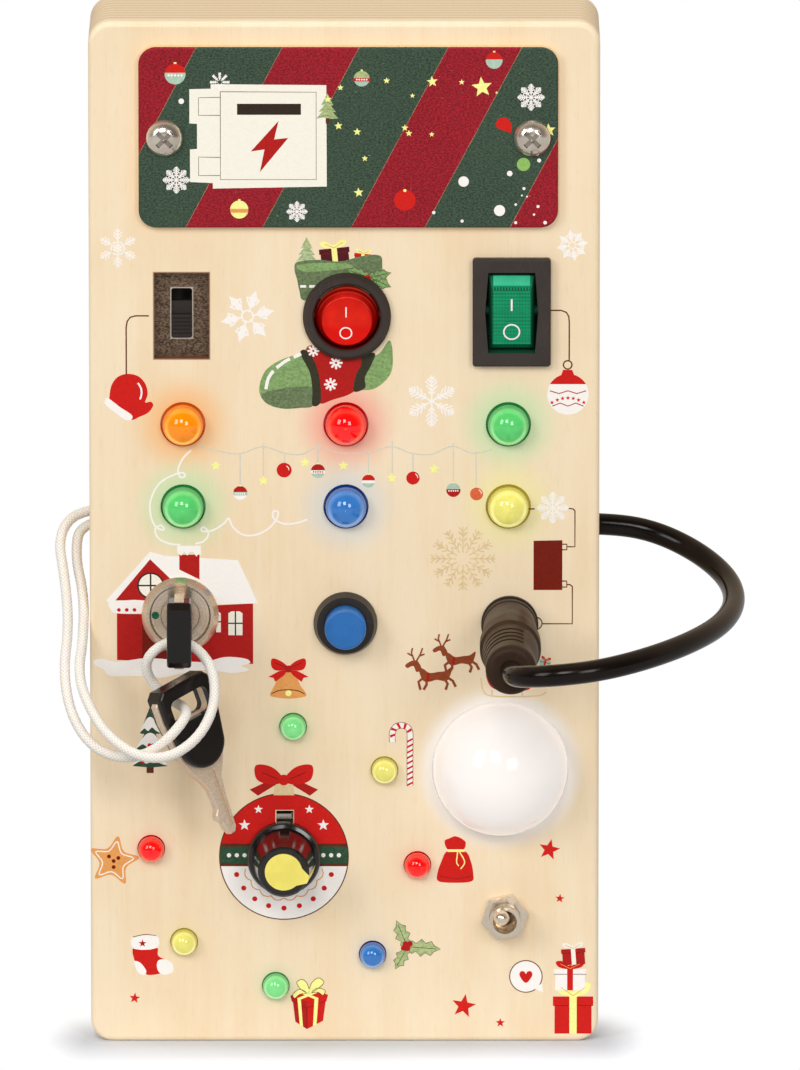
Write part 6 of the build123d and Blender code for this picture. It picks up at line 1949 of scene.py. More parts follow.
    def leaf(self, hue: Hue, x: float, z: float, length: float, turn: float, layer: int = 0) -> None:
        """A holly leaf with pricked edges and a vein."""
        side = [(0.0, 0.04), (0.14, 0.2), (0.26, 0.12), (0.42, 0.27), (0.54, 0.15), (0.72, 0.22),
            (0.8, 0.1), (1.0, 0.0)]
        outline = placed(side + [(a, -b) for a, b in reversed(side[:-1])], x, z, turn, length)
        self.fill(hue, outline, layer)
        vein = [(x, z), polar(x, z, 0.85 * length, turn)]
        self.line(Hue.SHADOW_GREEN, 0.1, looped(outline), vein, layer=layer + 1)


# ------------------------------------------------------------------ the motifs
@dataclass
class FrontPrint(Assembly):
    """All artwork on the front sheet."""

    sheet: Sheet = field(default_factory=lambda: Sheet("front_print", 0.0))

    def build(self) -> None:
        """Draws every motif and makes the inks' meshes."""
        for draw in (self.flakes, self.mitten, self.hanging_ball, self.stocking, self.garland, self.smoke,
                self.house, self.circuit, self.bell, self.cane, self.deer, self.sled, self.snowy_fir,
                self.cookie, self.knob_bauble, self.sock, self.gift, self.sack, self.holly, self.stars,
                self.gift_stack):
            draw()
        self.sheet.build()

    def flakes(self) -> None:
        """The white snow crystals and the thin gold one."""
        s = self.sheet
        s.flake(-43.39, 155.97, 3.89, kind=0)
        s.flake(43.74, 156.56, 3.11, kind=2, arms=8, turn=100)
        s.flake(-18.55, 142.7, 5.25, kind=2, turn=72)
        s.flake(16.77, 126.1, 5.06, kind=1)
        s.flake(22.78, 95.26, 6.23, kind=3, arms=12, hue=Hue.GOLD, width=0.22)
        for i in range(12):
            s.dot(Hue.GOLD, *polar(22.78, 95.26, 5.84 if i % 2 else 5.06, 90 + 30 * i), 0.32, layer=2)

    def mitten(self) -> None:
        """The red mitten on its line."""
        s = self.sheet
        s.line(Hue.BROWN, 0.26, [(-37.47, 142.8), (-40.09, 142.8), (-41.06, 142.5), (-41.65, 141.72),
            (-41.84, 140.55), (-41.84, 131.37)])
        s.blob(Hue.RED, [(-45.14, 126.3), (-44.75, 129.03), (-43.59, 130.79), (-41.65, 131.47),
            (-39.51, 130.98), (-38.15, 129.42), (-37.76, 127.47), (-38.25, 125.91), (-37.18, 126.01),
            (-36.7, 125.32), (-37.57, 123.96), (-39.32, 123.08), (-41.26, 122.59), (-44.94, 125.32)])
        s.blob(Hue.WHITE, [(-45.92, 126.3), (-45.33, 126.69), (-43.0, 124.93), (-40.87, 123.47),
            (-40.87, 122.59), (-42.03, 122.49), (-44.36, 124.15), (-45.92, 125.52)], 1)
        s.curve(Hue.WHITE, 0.34, [(-39.61, 129.71), (-39.03, 128.64), (-38.93, 127.47), (-39.22, 126.49)],
            layer=1)

    def hanging_ball(self) -> None:
        """The white ball under the rectangular switch."""
        s = self.sheet
        s.line(Hue.BROWN, 0.26, [(39.57, 143.87), (41.61, 143.87), (42.58, 143.48), (43.06, 142.7),
            (43.16, 141.53), (43.16, 134.11)])
        s.line(Hue.BROWN, 0.26, looped(circle(42.87, 133.23, 0.82, 18)), layer=1)
        x, z = 42.93, 127.66
        s.dot(Hue.WHITE, x, z - 0.2, 3.99)
        cap = [p for p in circle(x, z - 0.2, 3.99, 60) if p[1] > z + 1.7]
        s.fill(Hue.RED, cap, 1)
        s.fill(Hue.RED, [(41.61, 131.18), (44.13, 131.18), (43.74, 132.25), (41.99, 132.25)], 1)
        for k in range(-3, 4):
            s.star(Hue.RED, x + k * 1.02, z - 0.9 - 0.1 * k * k, 0.46, layer=1)
        s.line(Hue.DEEP_RED, 0.2, [(x - 3.5, z + 0.5), (x - 1.7, z - 0.05), (x, z + 0.5),
            (x + 1.7, z - 0.05), (x + 3.5, z + 0.5)], layer=1)
        s.line(Hue.DEEP_RED, 0.2, [(x - 3.0, z - 2.5), (x - 1.5, z - 1.9), (x, z - 2.5), (x + 1.5, z - 1.9),
            (x + 3.0, z - 2.5)], layer=1)

    def stocking(self) -> None:
        """The filled stocking behind the round switch."""
        s = self.sheet
        s.fir(-7.2, 152.56, 5.64, Hue.PALE_GREEN, Hue.MINT)
        s.gift(-1.57, 152.17, 5.84, 4.28, Hue.PLUM, Hue.YELLOW, lean=6)
        s.gift(3.38, 152.66, 3.31, 2.53, Hue.BRIGHT_RED, Hue.YELLOW, lean=-6)
        s.blob(Hue.DARK_GREEN, [(-9.53, 151.87), (-8.95, 153.34), (-4.97, 153.73), (-0.7, 153.44),
            (3.57, 154.51), (6.68, 154.61), (7.26, 153.05), (6.68, 148.36), (1.63, 146.02), (-2.64, 146.41),
            (-7.68, 145.82), (-8.56, 147.58), (-9.04, 149.92)], 6, steps=5)
        s.blob(Hue.GREEN, [(-9.04, 152.66), (-4.97, 153.14), (0.27, 153.05), (1.63, 152.26),
            (-2.64, 151.68), (-7.68, 151.48)], 7)
        for x in (-8.46, -6.71):
            s.line(Hue.WHITE, 0.5, [(x, 148.56), (x + 1.16, 148.56)], layer=8)
        for turn, length in ((12, 4.3), (-24, 4.6), (160, 4.6), (-60, 3.4)):
            s.leaf(Hue.GREEN, 4.74, 150.31, length, turn, layer=8)
        s.dot(Hue.BRIGHT_RED, 4.44, 150.21, 0.62, layer=10)
        s.blob(Hue.GREEN, [(-8.07, 135.67), (-6.13, 137.04), (0.27, 134.5), (6.09, 135.08), (8.62, 138.01),
            (9.3, 135.08), (8.81, 131.37), (5.9, 128.64), (2.02, 128.06), (-2.64, 126.3), (-7.49, 125.03),
            (-11.57, 124.64), (-14.67, 125.52), (-16.13, 127.27), (-16.22, 129.42), (-15.06, 132.16),
            (-12.34, 134.11)], steps=6)
        s.blob(Hue.DARK_GREEN, [(-15.84, 127.47), (-12.34, 128.54), (-8.46, 128.93), (-5.74, 128.64),
            (-5.94, 125.32), (-8.46, 124.81), (-11.57, 124.7), (-14.67, 125.6)], 1)
        s.blob(Hue.DEEP_RED, [(-7.3, 136.26), (-4.97, 137.04), (0.27, 135.08), (5.51, 135.47),
            (4.54, 132.55), (2.02, 128.15), (-2.25, 126.4), (-4.77, 125.81), (-4.97, 129.62),
            (-5.74, 133.13)], 2)
        s.blob(Hue.SHADOW_GREEN, [(-8.46, 135.47), (-7.3, 136.06), (-5.55, 133.52), (-4.68, 130.01),
            (-4.58, 125.91), (-6.13, 125.32), (-6.13, 128.45), (-6.71, 131.96)], 3)
        s.blob(Hue.SHADOW_GREEN, [(3.57, 135.08), (5.9, 135.47), (5.12, 133.13), (3.96, 130.79),
            (3.96, 128.74), (1.82, 128.06), (2.21, 131.18), (3.18, 133.13)], 3)
        s.curve(Hue.WHITE, 0.62, [(-15.06, 128.45), (-14.57, 130.59), (-13.6, 132.06)], layer=4)
        s.curve(Hue.WHITE, 0.62, [(-13.02, 132.64), (-11.37, 133.91), (-10.4, 134.4)], layer=4)
        s.curve(Hue.WHITE, 0.62, [(-9.72, 134.69), (-8.85, 135.12), (-8.27, 135.38)], layer=4)
        for spot, size in (((-5.94, 135.96), 1.1), ((-1.57, 133.62), 1.2), ((-2.64, 129.42), 1.2)):
            s.flake(*spot, size, kind=3, arms=8, width=0.28, layer=4)

    def garland(self) -> None:
        """The thin garland with stars and balls."""
        s = self.sheet
        s.curve(Hue.MIST, 0.24, [(-27.67, 117.32), (-23.99, 116.34), (-20.1, 115.85), (-15.64, 117.22),
            (-11.57, 115.95), (-8.07, 115.76), (-4.97, 117.22), (-1.67, 116.15), (1.63, 115.85),
            (5.51, 116.34), (9.2, 117.22), (12.89, 115.95), (16.77, 115.76), (20.84, 117.32),
            (24.53, 115.95), (28.41, 116.63)])
        drops = ((-20.01, 115.76, 109.51), (-15.54, 117.9, 111.27), (-11.47, 115.76, 114.0),
            (-5.07, 117.9, 113.61), (4.64, 116.15, 111.85), (9.2, 118.29, 112.05), (13.18, 115.76, 112.24),
            (20.94, 117.9, 110.09), (25.31, 115.76, 109.12))
        for number, (x, top, low) in enumerate(drops):
            s.line(Hue.MIST, 0.2 if number % 3 else 0.3, [(x, top), (x, low)], layer=1)
        for spot in ((-24.67, 113.51), (-15.54, 110.58), (-7.59, 114.1), (-0.21, 113.51), (9.1, 111.07),
                (17.25, 112.83)):
            s.star(Hue.YELLOW, *spot, 1.0, waist=0.5, layer=2)
        s.bauble(-20.01, 108.14, 1.36, Hue.WHITE, Hue.DEEP_RED, Hue.MINT, Hue.WHITE, layer=2)
        s.bauble(-5.07, 112.44, 1.36, Hue.MINT, Hue.DEEP_RED, Hue.WHITE, Hue.RED, layer=2)
        s.bauble(4.64, 110.48, 1.26, Hue.MINT, Hue.RED, Hue.WHITE, layer=2)
        s.bauble(20.94, 108.73, 1.36, Hue.DEEP_RED, Hue.MINT, Hue.DEEP_RED, Hue.WHITE, layer=2)
        for spot, hue, size in (((-11.57, 112.63), Hue.RED, 1.44), ((13.18, 111.07), Hue.RED, 1.28),
                ((25.4, 107.95), Hue.ORANGE, 1.25)):
            s.dot(hue, *spot, size, layer=2)
            s.curve(Hue.WHITE, 0.16, [(spot[0] + 0.45, spot[1] + 0.85), (spot[0] + 0.85, spot[1] + 0.4),
                (spot[0] + 0.9, spot[1])], layer=3)

    def smoke(self) -> None:
        """The white curl that rises from the chimney."""
        s = self.sheet
        curl = smooth([(-29.42, 116.54), (-30.97, 114.97), (-31.94, 112.83), (-31.55, 111.27),
            (-30.58, 111.46), (-31.17, 112.14), (-33.3, 111.46), (-35.44, 110.09), (-36.79, 107.95),
            (-37.38, 105.6), (-36.99, 102.87), (-36.02, 101.31), (-34.66, 100.92), (-35.24, 101.8),
            (-36.41, 100.92), (-35.63, 99.16), (-33.5, 98.18), (-31.55, 97.99)], closed=False)
        tail = smooth([(-28.64, 98.18), (-26.9, 98.77), (-26.12, 100.33), (-27.09, 101.5), (-27.48, 100.72),
            (-25.54, 100.72), (-23.21, 102.09), (-22.24, 103.16), (-21.46, 101.5), (-19.52, 99.94),
            (-17.0, 99.94), (-14.67, 101.11), (-13.12, 102.87), (-12.73, 104.43), (-13.7, 104.43),
            (-13.51, 103.07), (-11.57, 102.09), (-9.04, 102.28), (-7.1, 102.97)], closed=False)
        s.line(Hue.WHITE, 0.34, curl, tail)

    def house(self) -> None:
        """The snowed-in red house."""
        s = self.sheet
        s.blob(Hue.WHITE, [(-48.24, 75.15), (-46.69, 75.63), (-43.78, 74.95), (-37.57, 75.73),
            (-27.87, 74.95), (-23.02, 75.93), (-19.13, 75.63), (-18.16, 74.76), (-19.91, 74.17),
            (-18.36, 73.39), (-21.66, 72.8), (-26.9, 73.39), (-31.75, 72.61), (-35.63, 71.83),
            (-39.51, 72.22), (-44.94, 72.22), (-46.5, 73.58), (-48.05, 74.37)], 4, steps=4)
        s.fill(Hue.DEEP_RED, [(-43.78, 85.1), (-17.58, 86.47), (-17.58, 74.56), (-43.78, 75.34)])
        s.fill(Hue.WHITE, [(-37.38, 96.62), (-34.66, 95.84), (-20.49, 94.96), (-19.91, 93.69),
            (-16.61, 86.47), (-24.76, 86.27), (-45.33, 86.47), (-45.82, 87.06)], 1)
        s.fill(Hue.DEEP_RED, [(-37.38, 95.16), (-33.3, 91.16), (-30.78, 88.62), (-30.78, 87.06),
            (-44.07, 87.06)], 2)
        s.blob(Hue.WHITE, [(-44.94, 86.67), (-38.54, 87.06), (-38.35, 84.71), (-39.51, 84.42),
            (-43.78, 84.52), (-44.85, 85.1)], 2, steps=3)
        for k in range(3):
            s.dot(Hue.RED, -43.39 + 1.5 * k, 85.2, 0.36, layer=3)
        s.dot(Hue.CREAM, -37.28, 89.98, 2.43, layer=3)
        s.line(Hue.SOOT, 0.3, looped(circle(-37.28, 89.98, 2.43, 40)), [(-37.28, 92.42), (-37.28, 87.54)],
            [(-39.71, 89.98), (-34.85, 89.98)], layer=4)
        s.fill(Hue.DEEP_RED, [(-31.75, 96.04), (-27.87, 96.04), (-27.87, 91.16), (-31.75, 93.11)], 2)
        cap = [(-32.14, 97.79), (-27.58, 97.79), (-27.58, 95.84), (-28.06, 96.23), (-28.45, 95.65),
            (-29.03, 96.52), (-29.81, 96.52), (-30.2, 95.84), (-30.78, 96.62), (-31.36, 95.84),
            (-32.14, 96.43)]
        s.fill(Hue.WHITE, cap, 3)
        for left, right, low in ((-22.34, -19.62, 80.22), (-25.93, -23.79, 80.81)):
            top, middle, half = (84.91, (left + right) / 2, (84.91 + low) / 2)
            s.fill(Hue.CREAM, [(left, top - 0.39), (left + 0.58, top), (right - 0.58, top),
                (right, top - 0.39), (right, low), (left, low)], 1)
            s.line(Hue.SOOT, 0.26, [(middle, top), (middle, low)], [(left, half), (right, half)], layer=2)
        s.fill(Hue.BRICK, [(-38.93, 82.76), (-34.08, 82.76), (-34.08, 74.95), (-38.93, 74.95)], 1)

    def circuit(self) -> None:
        """The drawn wires, the brick-red block and the crystal beside them."""
        s = self.sheet
        s.line(Hue.BROWN, 0.24, [(35.4, 105.02), (36.56, 105.02)])
        s.flake(40.05, 105.21, 3.11, kind=1, arms=8, width=0.24, layer=1)
        s.line(Hue.BROWN, 0.24, [(43.06, 105.12), (43.94, 105.02), (44.32, 104.63), (44.32, 97.6),
            (42.77, 97.6)], [(41.8, 98.09), (42.77, 98.09), (42.77, 97.01), (41.8, 97.01)],
            [(41.8, 90.86), (42.77, 90.86), (42.77, 89.69), (41.8, 89.69)],
            [(42.77, 90.18), (43.35, 90.18), (43.84, 89.79), (43.84, 82.47), (37.92, 82.47)])
        s.fill(Hue.BRICK, [(36.37, 98.77), (41.9, 98.87), (41.9, 89.11), (36.37, 89.11)], 1)
        arc = [p for p in circle(36.85, 82.57, 1.17, 36, start=-90)][:19]
        s.line(Hue.BROWN, 0.22, arc, layer=1)

    def bell(self) -> None:
        """The tan bell under its red bow."""
        s = self.sheet
        s.blob(Hue.TAN, [(-14.28, 68.7), (-13.51, 70.27), (-12.73, 71.83), (-11.76, 72.8), (-10.4, 73.0),
            (-9.24, 72.02), (-8.46, 70.27), (-7.49, 68.9), (-7.68, 68.12), (-10.79, 67.73),
            (-13.89, 68.12)], steps=5)
        s.curve(Hue.BROWN, 0.18, [(-14.09, 68.7), (-12.34, 69.39), (-9.43, 69.39), (-7.68, 68.7)], layer=1)
        s.dot(Hue.YELLOW, -10.79, 68.8, 0.6, layer=2)
        for side in (-1, 1):
            loop = [(-10.79, 73.58)] + [(-10.79 + side * a, b) for a, b in ((1.16, 74.95), (3.1, 75.63),
                (3.3, 74.17), (2.33, 73.29))]
            s.blob(Hue.RED, loop, 3)
            tail = [(1.75, 73.19), (3.88, 72.02), (2.91, 71.83), (2.52, 71.05), (0.97, 72.22)]
            s.fill(Hue.RED, [(-10.79, 73.39)] + [(-10.79 + side * a, b) for a, b in tail], 2)
            s.line(Hue.BRICK, 0.14, [(-10.79 + side * 0.58, 73.98), (-10.79 + side * 2.52, 74.76)], layer=4)
        s.dot(Hue.DEEP_RED, -10.79, 73.58, 0.7, layer=5)

    def cane(self) -> None:
        """The striped candy cane."""
        s = self.sheet
        spine = smooth([(9.26, 59.14), (9.2, 60.89), (9.78, 62.07), (10.95, 62.5), (12.11, 62.07),
            (12.61, 60.89), (12.61, 57.38), (12.61, 50.55)], closed=False)
        s.line(Hue.BRICK, 1.24, spine)
        s.line(Hue.WHITE, 1.04, spine, layer=1)
        for k in range(9):
            low = 59.53 - 1.0738 * k
            s.fill(Hue.RED, [(12.09, low - 0.49), (12.09, low - 0.08), (13.14, low + 0.49),
                (13.14, low + 0.08)], 3)
        for angle in (8, 50, 92, 134, 176):
            band = ((1.2, angle), (2.22, angle + 10), (2.22, angle + 24), (1.2, angle + 20))
            s.fill(Hue.RED, [polar(10.93, 60.78, reach, way) for reach, way in band], 3)

    def deer(self) -> None:
        """Two plain leaping deer shapes."""
        s = self.sheet
        trunk = [(-2.72, 0.98), (-1.75, 0.78), (-0.58, 0.0), (1.16, 0.2), (2.52, 0.39), (3.69, 1.17),
            (3.49, -0.2), (2.72, -1.56), (0.78, -1.37), (-0.78, -1.76), (-1.94, -1.37)]
        head = [(-3.1, 0.2), (-3.69, 1.37), (-4.85, 0.98), (-5.24, 1.56), (-4.08, 2.34), (-2.91, 2.34),
            (-2.13, 0.78)]
        legs = ([(-1.75, -0.98), (-2.72, -1.76), (-2.33, -3.32)],
            [(-1.16, -1.17), (-1.16, -2.34), (-1.75, -3.32)], [(2.13, -0.98), (2.91, -2.15), (2.52, -3.32)],
            [(2.72, -0.78), (3.88, -1.56), (4.46, -2.73)])
        horns = ([(-3.49, 2.34), (-4.08, 3.9), (-3.88, 4.88)], [(-3.88, 3.32), (-4.85, 3.9)],
            [(-3.1, 2.34), (-2.33, 3.71), (-1.94, 4.88)], [(-2.52, 3.32), (-1.55, 3.71)])
        collar = [(-0.78, 0.0), (-0.97, -1.56)]
        for x, z, size in ((16.96, 72.8, 1.0), (21.81, 75.93, 0.92)):
            s.blob(Hue.RUST, placed(trunk, x, z, scale=size), 1, steps=4)
            s.blob(Hue.RUST, placed(head, x, z, scale=size), 2, steps=4)
            s.line(Hue.RUST, 0.5, *[placed(leg, x, z, scale=size) for leg in legs], layer=3)
            s.line(Hue.RUST, 0.3, *[placed(horn, x, z, scale=size) for horn in horns], layer=3)
            s.line(Hue.DEEP_RED, 0.5, placed(collar, x, z, scale=size), layer=4)

    def sled(self) -> None:
        """The light sled, half behind the plug."""
        s = self.sheet
        s.line(Hue.GOLD, 0.3,
            smooth([(26.28, 71.83), (26.66, 69.48), (28.02, 68.31), (32.29, 68.12), (37.34, 68.31),
            (38.89, 69.09)], closed=False), [(28.41, 69.48), (28.41, 68.31)],
            [(34.23, 69.68), (34.23, 68.31)])
        s.blob(Hue.RED, [(27.25, 72.61), (28.8, 70.66), (31.9, 70.27), (35.01, 70.46), (36.17, 71.83),
            (35.4, 69.48), (30.35, 69.29), (28.02, 70.27)], 1)
        s.gift(38.31, 73.58, 2.14, 1.95, Hue.MINT, Hue.RED, lean=-14, layer=2)

    def snowy_fir(self) -> None:
        """The fir half hidden by the keys, heavy with snow."""
        s = self.sheet
        s.fill(Hue.BROWN, [(-38.15, 54.65), (-36.79, 54.65), (-36.79, 53.08), (-38.15, 53.08)])
        x = -37.47
        for number, (low, half, top) in enumerate(((54.45, 3.3, 59.72), (57.77, 2.62, 62.85),
                (60.89, 1.94, 66.17))):
            s.fill(Hue.PINE, [(x - half, low), (x, low - 0.29), (x + half, low), (x, top)], 1 + number)
            drift = ((-1.0, 0.29), (-0.55, 0.98), (-0.2, 0.49), (0.2, 1.17), (0.55, 0.59), (1.0, 0.29),
                (0.32, 2.93), (-0.3, 2.93))
            snow = smooth([(x + share * half, low + rise) for share, rise in drift], steps=4)
            s.fill(Hue.WHITE, snow, 4 + number)
        for spot in ((-38.93, 55.43), (-36.21, 55.62), (-37.57, 58.55)):
            s.dot(Hue.RED, *spot, 0.42, layer=8)

    def cookie(self) -> None:
        """A star-shaped biscuit with icing."""
        s = self.sheet
        x, z = -44.56, 35.71
        s.blob(Hue.TAN, star(x, z, 5.0, 80, 0.55), steps=5)
        inner = smooth(star(x, z, 3.9, 80, 0.55), steps=4)
        s.line(Hue.CREAM, 0.24, looped(inner), layer=1)
        for dx, dz in ((0.0, 0.0), (-0.9, 0.9), (0.9, 0.6), (0.0, -1.2)):
            s.dot(Hue.BRICK, x + dx, z + dz, 0.38, layer=1)

    def knob_bauble(self) -> None:
        """The large tree ball round the knob: red above, white below, hung from a bow."""
        s = self.sheet
        x, z, r = (-11.7, 36.6, 12.3)
        tab = [(-13.35, 43.2), (-9.75, 43.2), (-9.75, 45.8), (-13.35, 45.8)]
        round_off = circle(x, z, r, 120)
        s.fill(Hue.BROWN, circle(x, z, r + 0.22, 96), 0, holes=[tab])
        s.fill(Hue.RED, [p for p in round_off if p[1] > z + 2.4], 1, holes=[tab])
        lower = [p for p in round_off if p[1] < z - 1.9]
        lower.sort(key=lambda p: math.atan2(p[0] - x, p[1] - z) % (2 * math.pi), reverse=True)
        s.fill(Hue.WHITE, lower, 1)
        for side in (-1, 1):
            strip = [p for p in round_off if z - 1.5 < p[1] < z + 2.0 and (p[0] - x) * side > 0]
            strip.sort(key=lambda p: p[1])
            s.fill(Hue.PINE, [*strip, (x + side * 5.4, z + 2.0), (x + side * 5.4, z - 1.5)], 1)
            for reach in (7.6, 9.1, 10.6):
                s.dot(Hue.WHITE, x + side * reach, z + 0.25, 0.42, layer=3)
            s.star(Hue.WHITE, x + side * 7.6, z + 6.2, 1.15, layer=3)
            s.star(Hue.WHITE, x + side * 4.9, z + 9.3, 0.9, layer=3)
            s.blob(Hue.RED, [(x, z + 15.0), (x + side * 2.2, z + 17.6), (x + side * 5.4, z + 18.0),
                (x + side * 5.2, z + 15.2), (x + side * 2.4, z + 14.2)], 3)
            s.line(Hue.BRICK, 0.16, [(x + side * 1.2, z + 15.3), (x + side * 4.2, z + 16.6)], layer=5)
            tail = [(x + side * 0.4, z + 14.9), (x + side * 5.0, z + 12.0), (x + side * 6.6, z + 13.2),
                (x + side * 1.6, z + 15.6)]
            s.fill(Hue.DEEP_RED, tail, 2)
        s.fill(Hue.GOLD, [(x - 2.0, z + r - 0.2), (x + 2.0, z + r - 0.2), (x + 1.8, z + r + 1.9),
            (x - 1.8, z + r + 1.9)], 2)
        s.dot(Hue.RED, x, z + 15.1, 1.05, layer=6)
        for number in range(9):
            s.dot(Hue.RED, *polar(x, z - 0.6, 9.6, 18 * number - 162), 0.5, layer=3)
        scallop = [polar(x, z - 0.6, 7.6 + 0.55 * abs(math.sin(math.pi * k / 4)), 4.75 * k - 166)
            for k in range(33)]
        s.line(Hue.TAN, 0.22, scallop, layer=3)

    def sock(self) -> None:
        """The small red sock."""
        s = self.sheet
        s.blob(Hue.RED, [(-40.68, 18.72), (-36.41, 18.72), (-36.02, 16.97), (-34.27, 15.79),
            (-34.66, 13.84), (-37.96, 13.16), (-39.51, 14.43), (-40.58, 15.99)], steps=4)
        s.blob(Hue.WHITE, [(-40.87, 20.68), (-36.41, 21.07), (-36.21, 18.53), (-40.68, 18.33)], 1, steps=3)
        s.curve(Hue.BRICK, 0.14, [(-40.87, 20.68), (-38.54, 21.16), (-36.41, 20.97)], layer=2)
        s.star(Hue.DEEP_RED, -39.03, 19.41, 0.8, layer=2)
        s.blob(Hue.WHITE, [(-36.02, 15.99), (-34.47, 16.19), (-33.2, 15.21), (-33.3, 13.65),
            (-35.24, 13.26), (-36.21, 14.43)], 2)
        s.blob(Hue.WHITE, [(-40.68, 15.79), (-39.51, 15.6), (-38.35, 14.04), (-38.73, 13.16),
            (-39.9, 13.65)], 2)

    def gift(self) -> None:
        """The tied red parcel."""
        s = self.sheet
        s.fill(Hue.DEEP_RED, [(-10.01, 7.99), (-7.3, 7.01), (-7.3, 2.42), (-9.53, 3.89)], 1)
        s.fill(Hue.RED, [(-7.3, 7.01), (-3.61, 8.38), (-4.19, 4.08), (-7.3, 2.42)], 1)
        s.fill(Hue.DEEP_RED, [(-10.5, 9.06), (-7.3, 7.89), (-7.3, 6.62), (-10.21, 7.89)], 3)
        s.fill(Hue.RED, [(-7.3, 7.89), (-3.22, 9.25), (-3.51, 8.08), (-7.3, 6.62)], 3)
        s.fill(Hue.BRIGHT_RED, [(-10.5, 9.06), (-6.71, 10.33), (-3.22, 9.25), (-7.3, 7.89)], 3)
        for strip in ([(-9.14, 8.57), (-8.46, 8.32), (-8.07, 2.91), (-8.69, 3.3)],
                [(-5.84, 8.38), (-5.07, 8.61), (-5.45, 3.4), (-6.13, 3.05)],
                [(-9.14, 8.57), (-8.46, 8.32), (-4.97, 9.78), (-5.65, 10.0)],
                [(-5.84, 8.38), (-5.07, 8.61), (-8.17, 9.84), (-8.75, 9.64)]):
            s.fill(Hue.YELLOW, strip, 5)
        for loop in ([(-6.91, 9.35), (-8.46, 10.33), (-9.24, 11.69), (-8.07, 12.28), (-7.1, 11.11)],
                [(-6.91, 9.35), (-5.36, 10.33), (-4.0, 11.69), (-5.16, 12.57), (-6.52, 11.3)],
                [(-7.1, 9.55), (-8.66, 9.35), (-9.63, 8.57), (-10.01, 9.35), (-8.66, 10.33)],
                [(-6.71, 9.55), (-5.16, 9.74), (-4.19, 9.16), (-3.8, 10.13), (-5.36, 10.52)]):
            s.blob(Hue.YELLOW, loop, 6, steps=4)
            s.line(Hue.BROWN, 0.1, smooth(looped(loop), closed=False, steps=4), layer=8)
        s.dot(Hue.YELLOW, -6.91, 9.84, 0.55, layer=9)
        s.line(Hue.BRICK, 0.12, [(-10.01, 7.89), (-7.3, 6.62), (-3.51, 8.08)], [(-7.3, 6.62), (-7.3, 2.52)],
            layer=4)

    def sack(self) -> None:
        """The tied red sack."""
        s = self.sheet
        s.blob(Hue.RED, [(19.87, 37.66), (23.17, 37.66), (24.34, 35.71), (24.82, 33.17), (24.53, 31.71),
            (21.42, 31.41), (18.13, 31.71), (17.93, 33.37), (18.71, 35.71)])
        s.blob(Hue.RED, [(20.07, 37.86), (19.29, 39.61), (20.26, 40.2), (21.42, 40.59), (22.78, 40.0),
            (23.37, 39.22), (22.78, 37.86)])
        s.line(Hue.YELLOW, 0.5, [(19.87, 37.76), (23.17, 37.76)], layer=2)
        s.curve(Hue.YELLOW, 0.22, [(22.2, 37.47), (23.17, 35.51), (22.39, 34.15)],
            [(21.81, 37.47), (21.62, 35.51), (22.01, 34.73)], layer=2)
        s.curve(Hue.DEEP_RED, 0.3, [(18.32, 32.78), (21.42, 32.19), (24.53, 32.78)], layer=1)

    def holly(self) -> None:
        """Three holly leaves and their berries."""
        s = self.sheet
        for turn, length in ((112, 5.6), (-4, 6.4), (-118, 5.0)):
            s.leaf(Hue.PALE_GREEN, 12.11, 18.72, length, turn)
        for spot in ((11.72, 19.31), (12.59, 19.31), (12.11, 18.43), (11.43, 18.53)):
            s.dot(Hue.DEEP_RED, *spot, 0.56, layer=3)

    def stars(self) -> None:
        """The scattered red stars."""
        for spot, size, turn in (((39.47, 37.95), 2.14, 78), ((41.53, 28.29), 0.93, 84),
                ((22.98, 7.01), 2.43, 80), ((30.08, 3.69), 0.93, 90), ((-40.58, 8.57), 1.09, 84)):
            self.sheet.star(Hue.BRIGHT_RED, *spot, size, turn)

    def gift_stack(self) -> None:
        """The stacked parcels in the corner and the white ball beside them."""
        s = self.sheet
        s.gift(44.13, 1.54, 7.78, 8.17, Hue.RED, Hue.YELLOW)
        s.gift(43.55, 10.13, 6.23, 4.67, Hue.WHITE, Hue.RED, layer=4)
        s.gift(44.32, 15.21, 4.67, 3.5, Hue.DEEP_RED, Hue.CREAM, lean=4, layer=8)
        x, z = 35.01, 12.87
        s.dot(Hue.BROWN, x, z, 3.23, layer=1)
        s.dot(Hue.WHITE, x, z, 3.04, layer=3)
        s.fill(Hue.WHITE, [(36.37, 10.52), (38.11, 11.5), (38.31, 9.74)], 2)
        s.blob(Hue.RED, [(x, z - 1.3), (x - 1.2, z + 0.1), (x - 1.0, z + 1.0), (x - 0.3, z + 0.95),
            (x, z + 0.5), (x + 0.3, z + 0.95), (x + 1.0, z + 1.0), (x + 1.2, z + 0.1)], 4, steps=4)


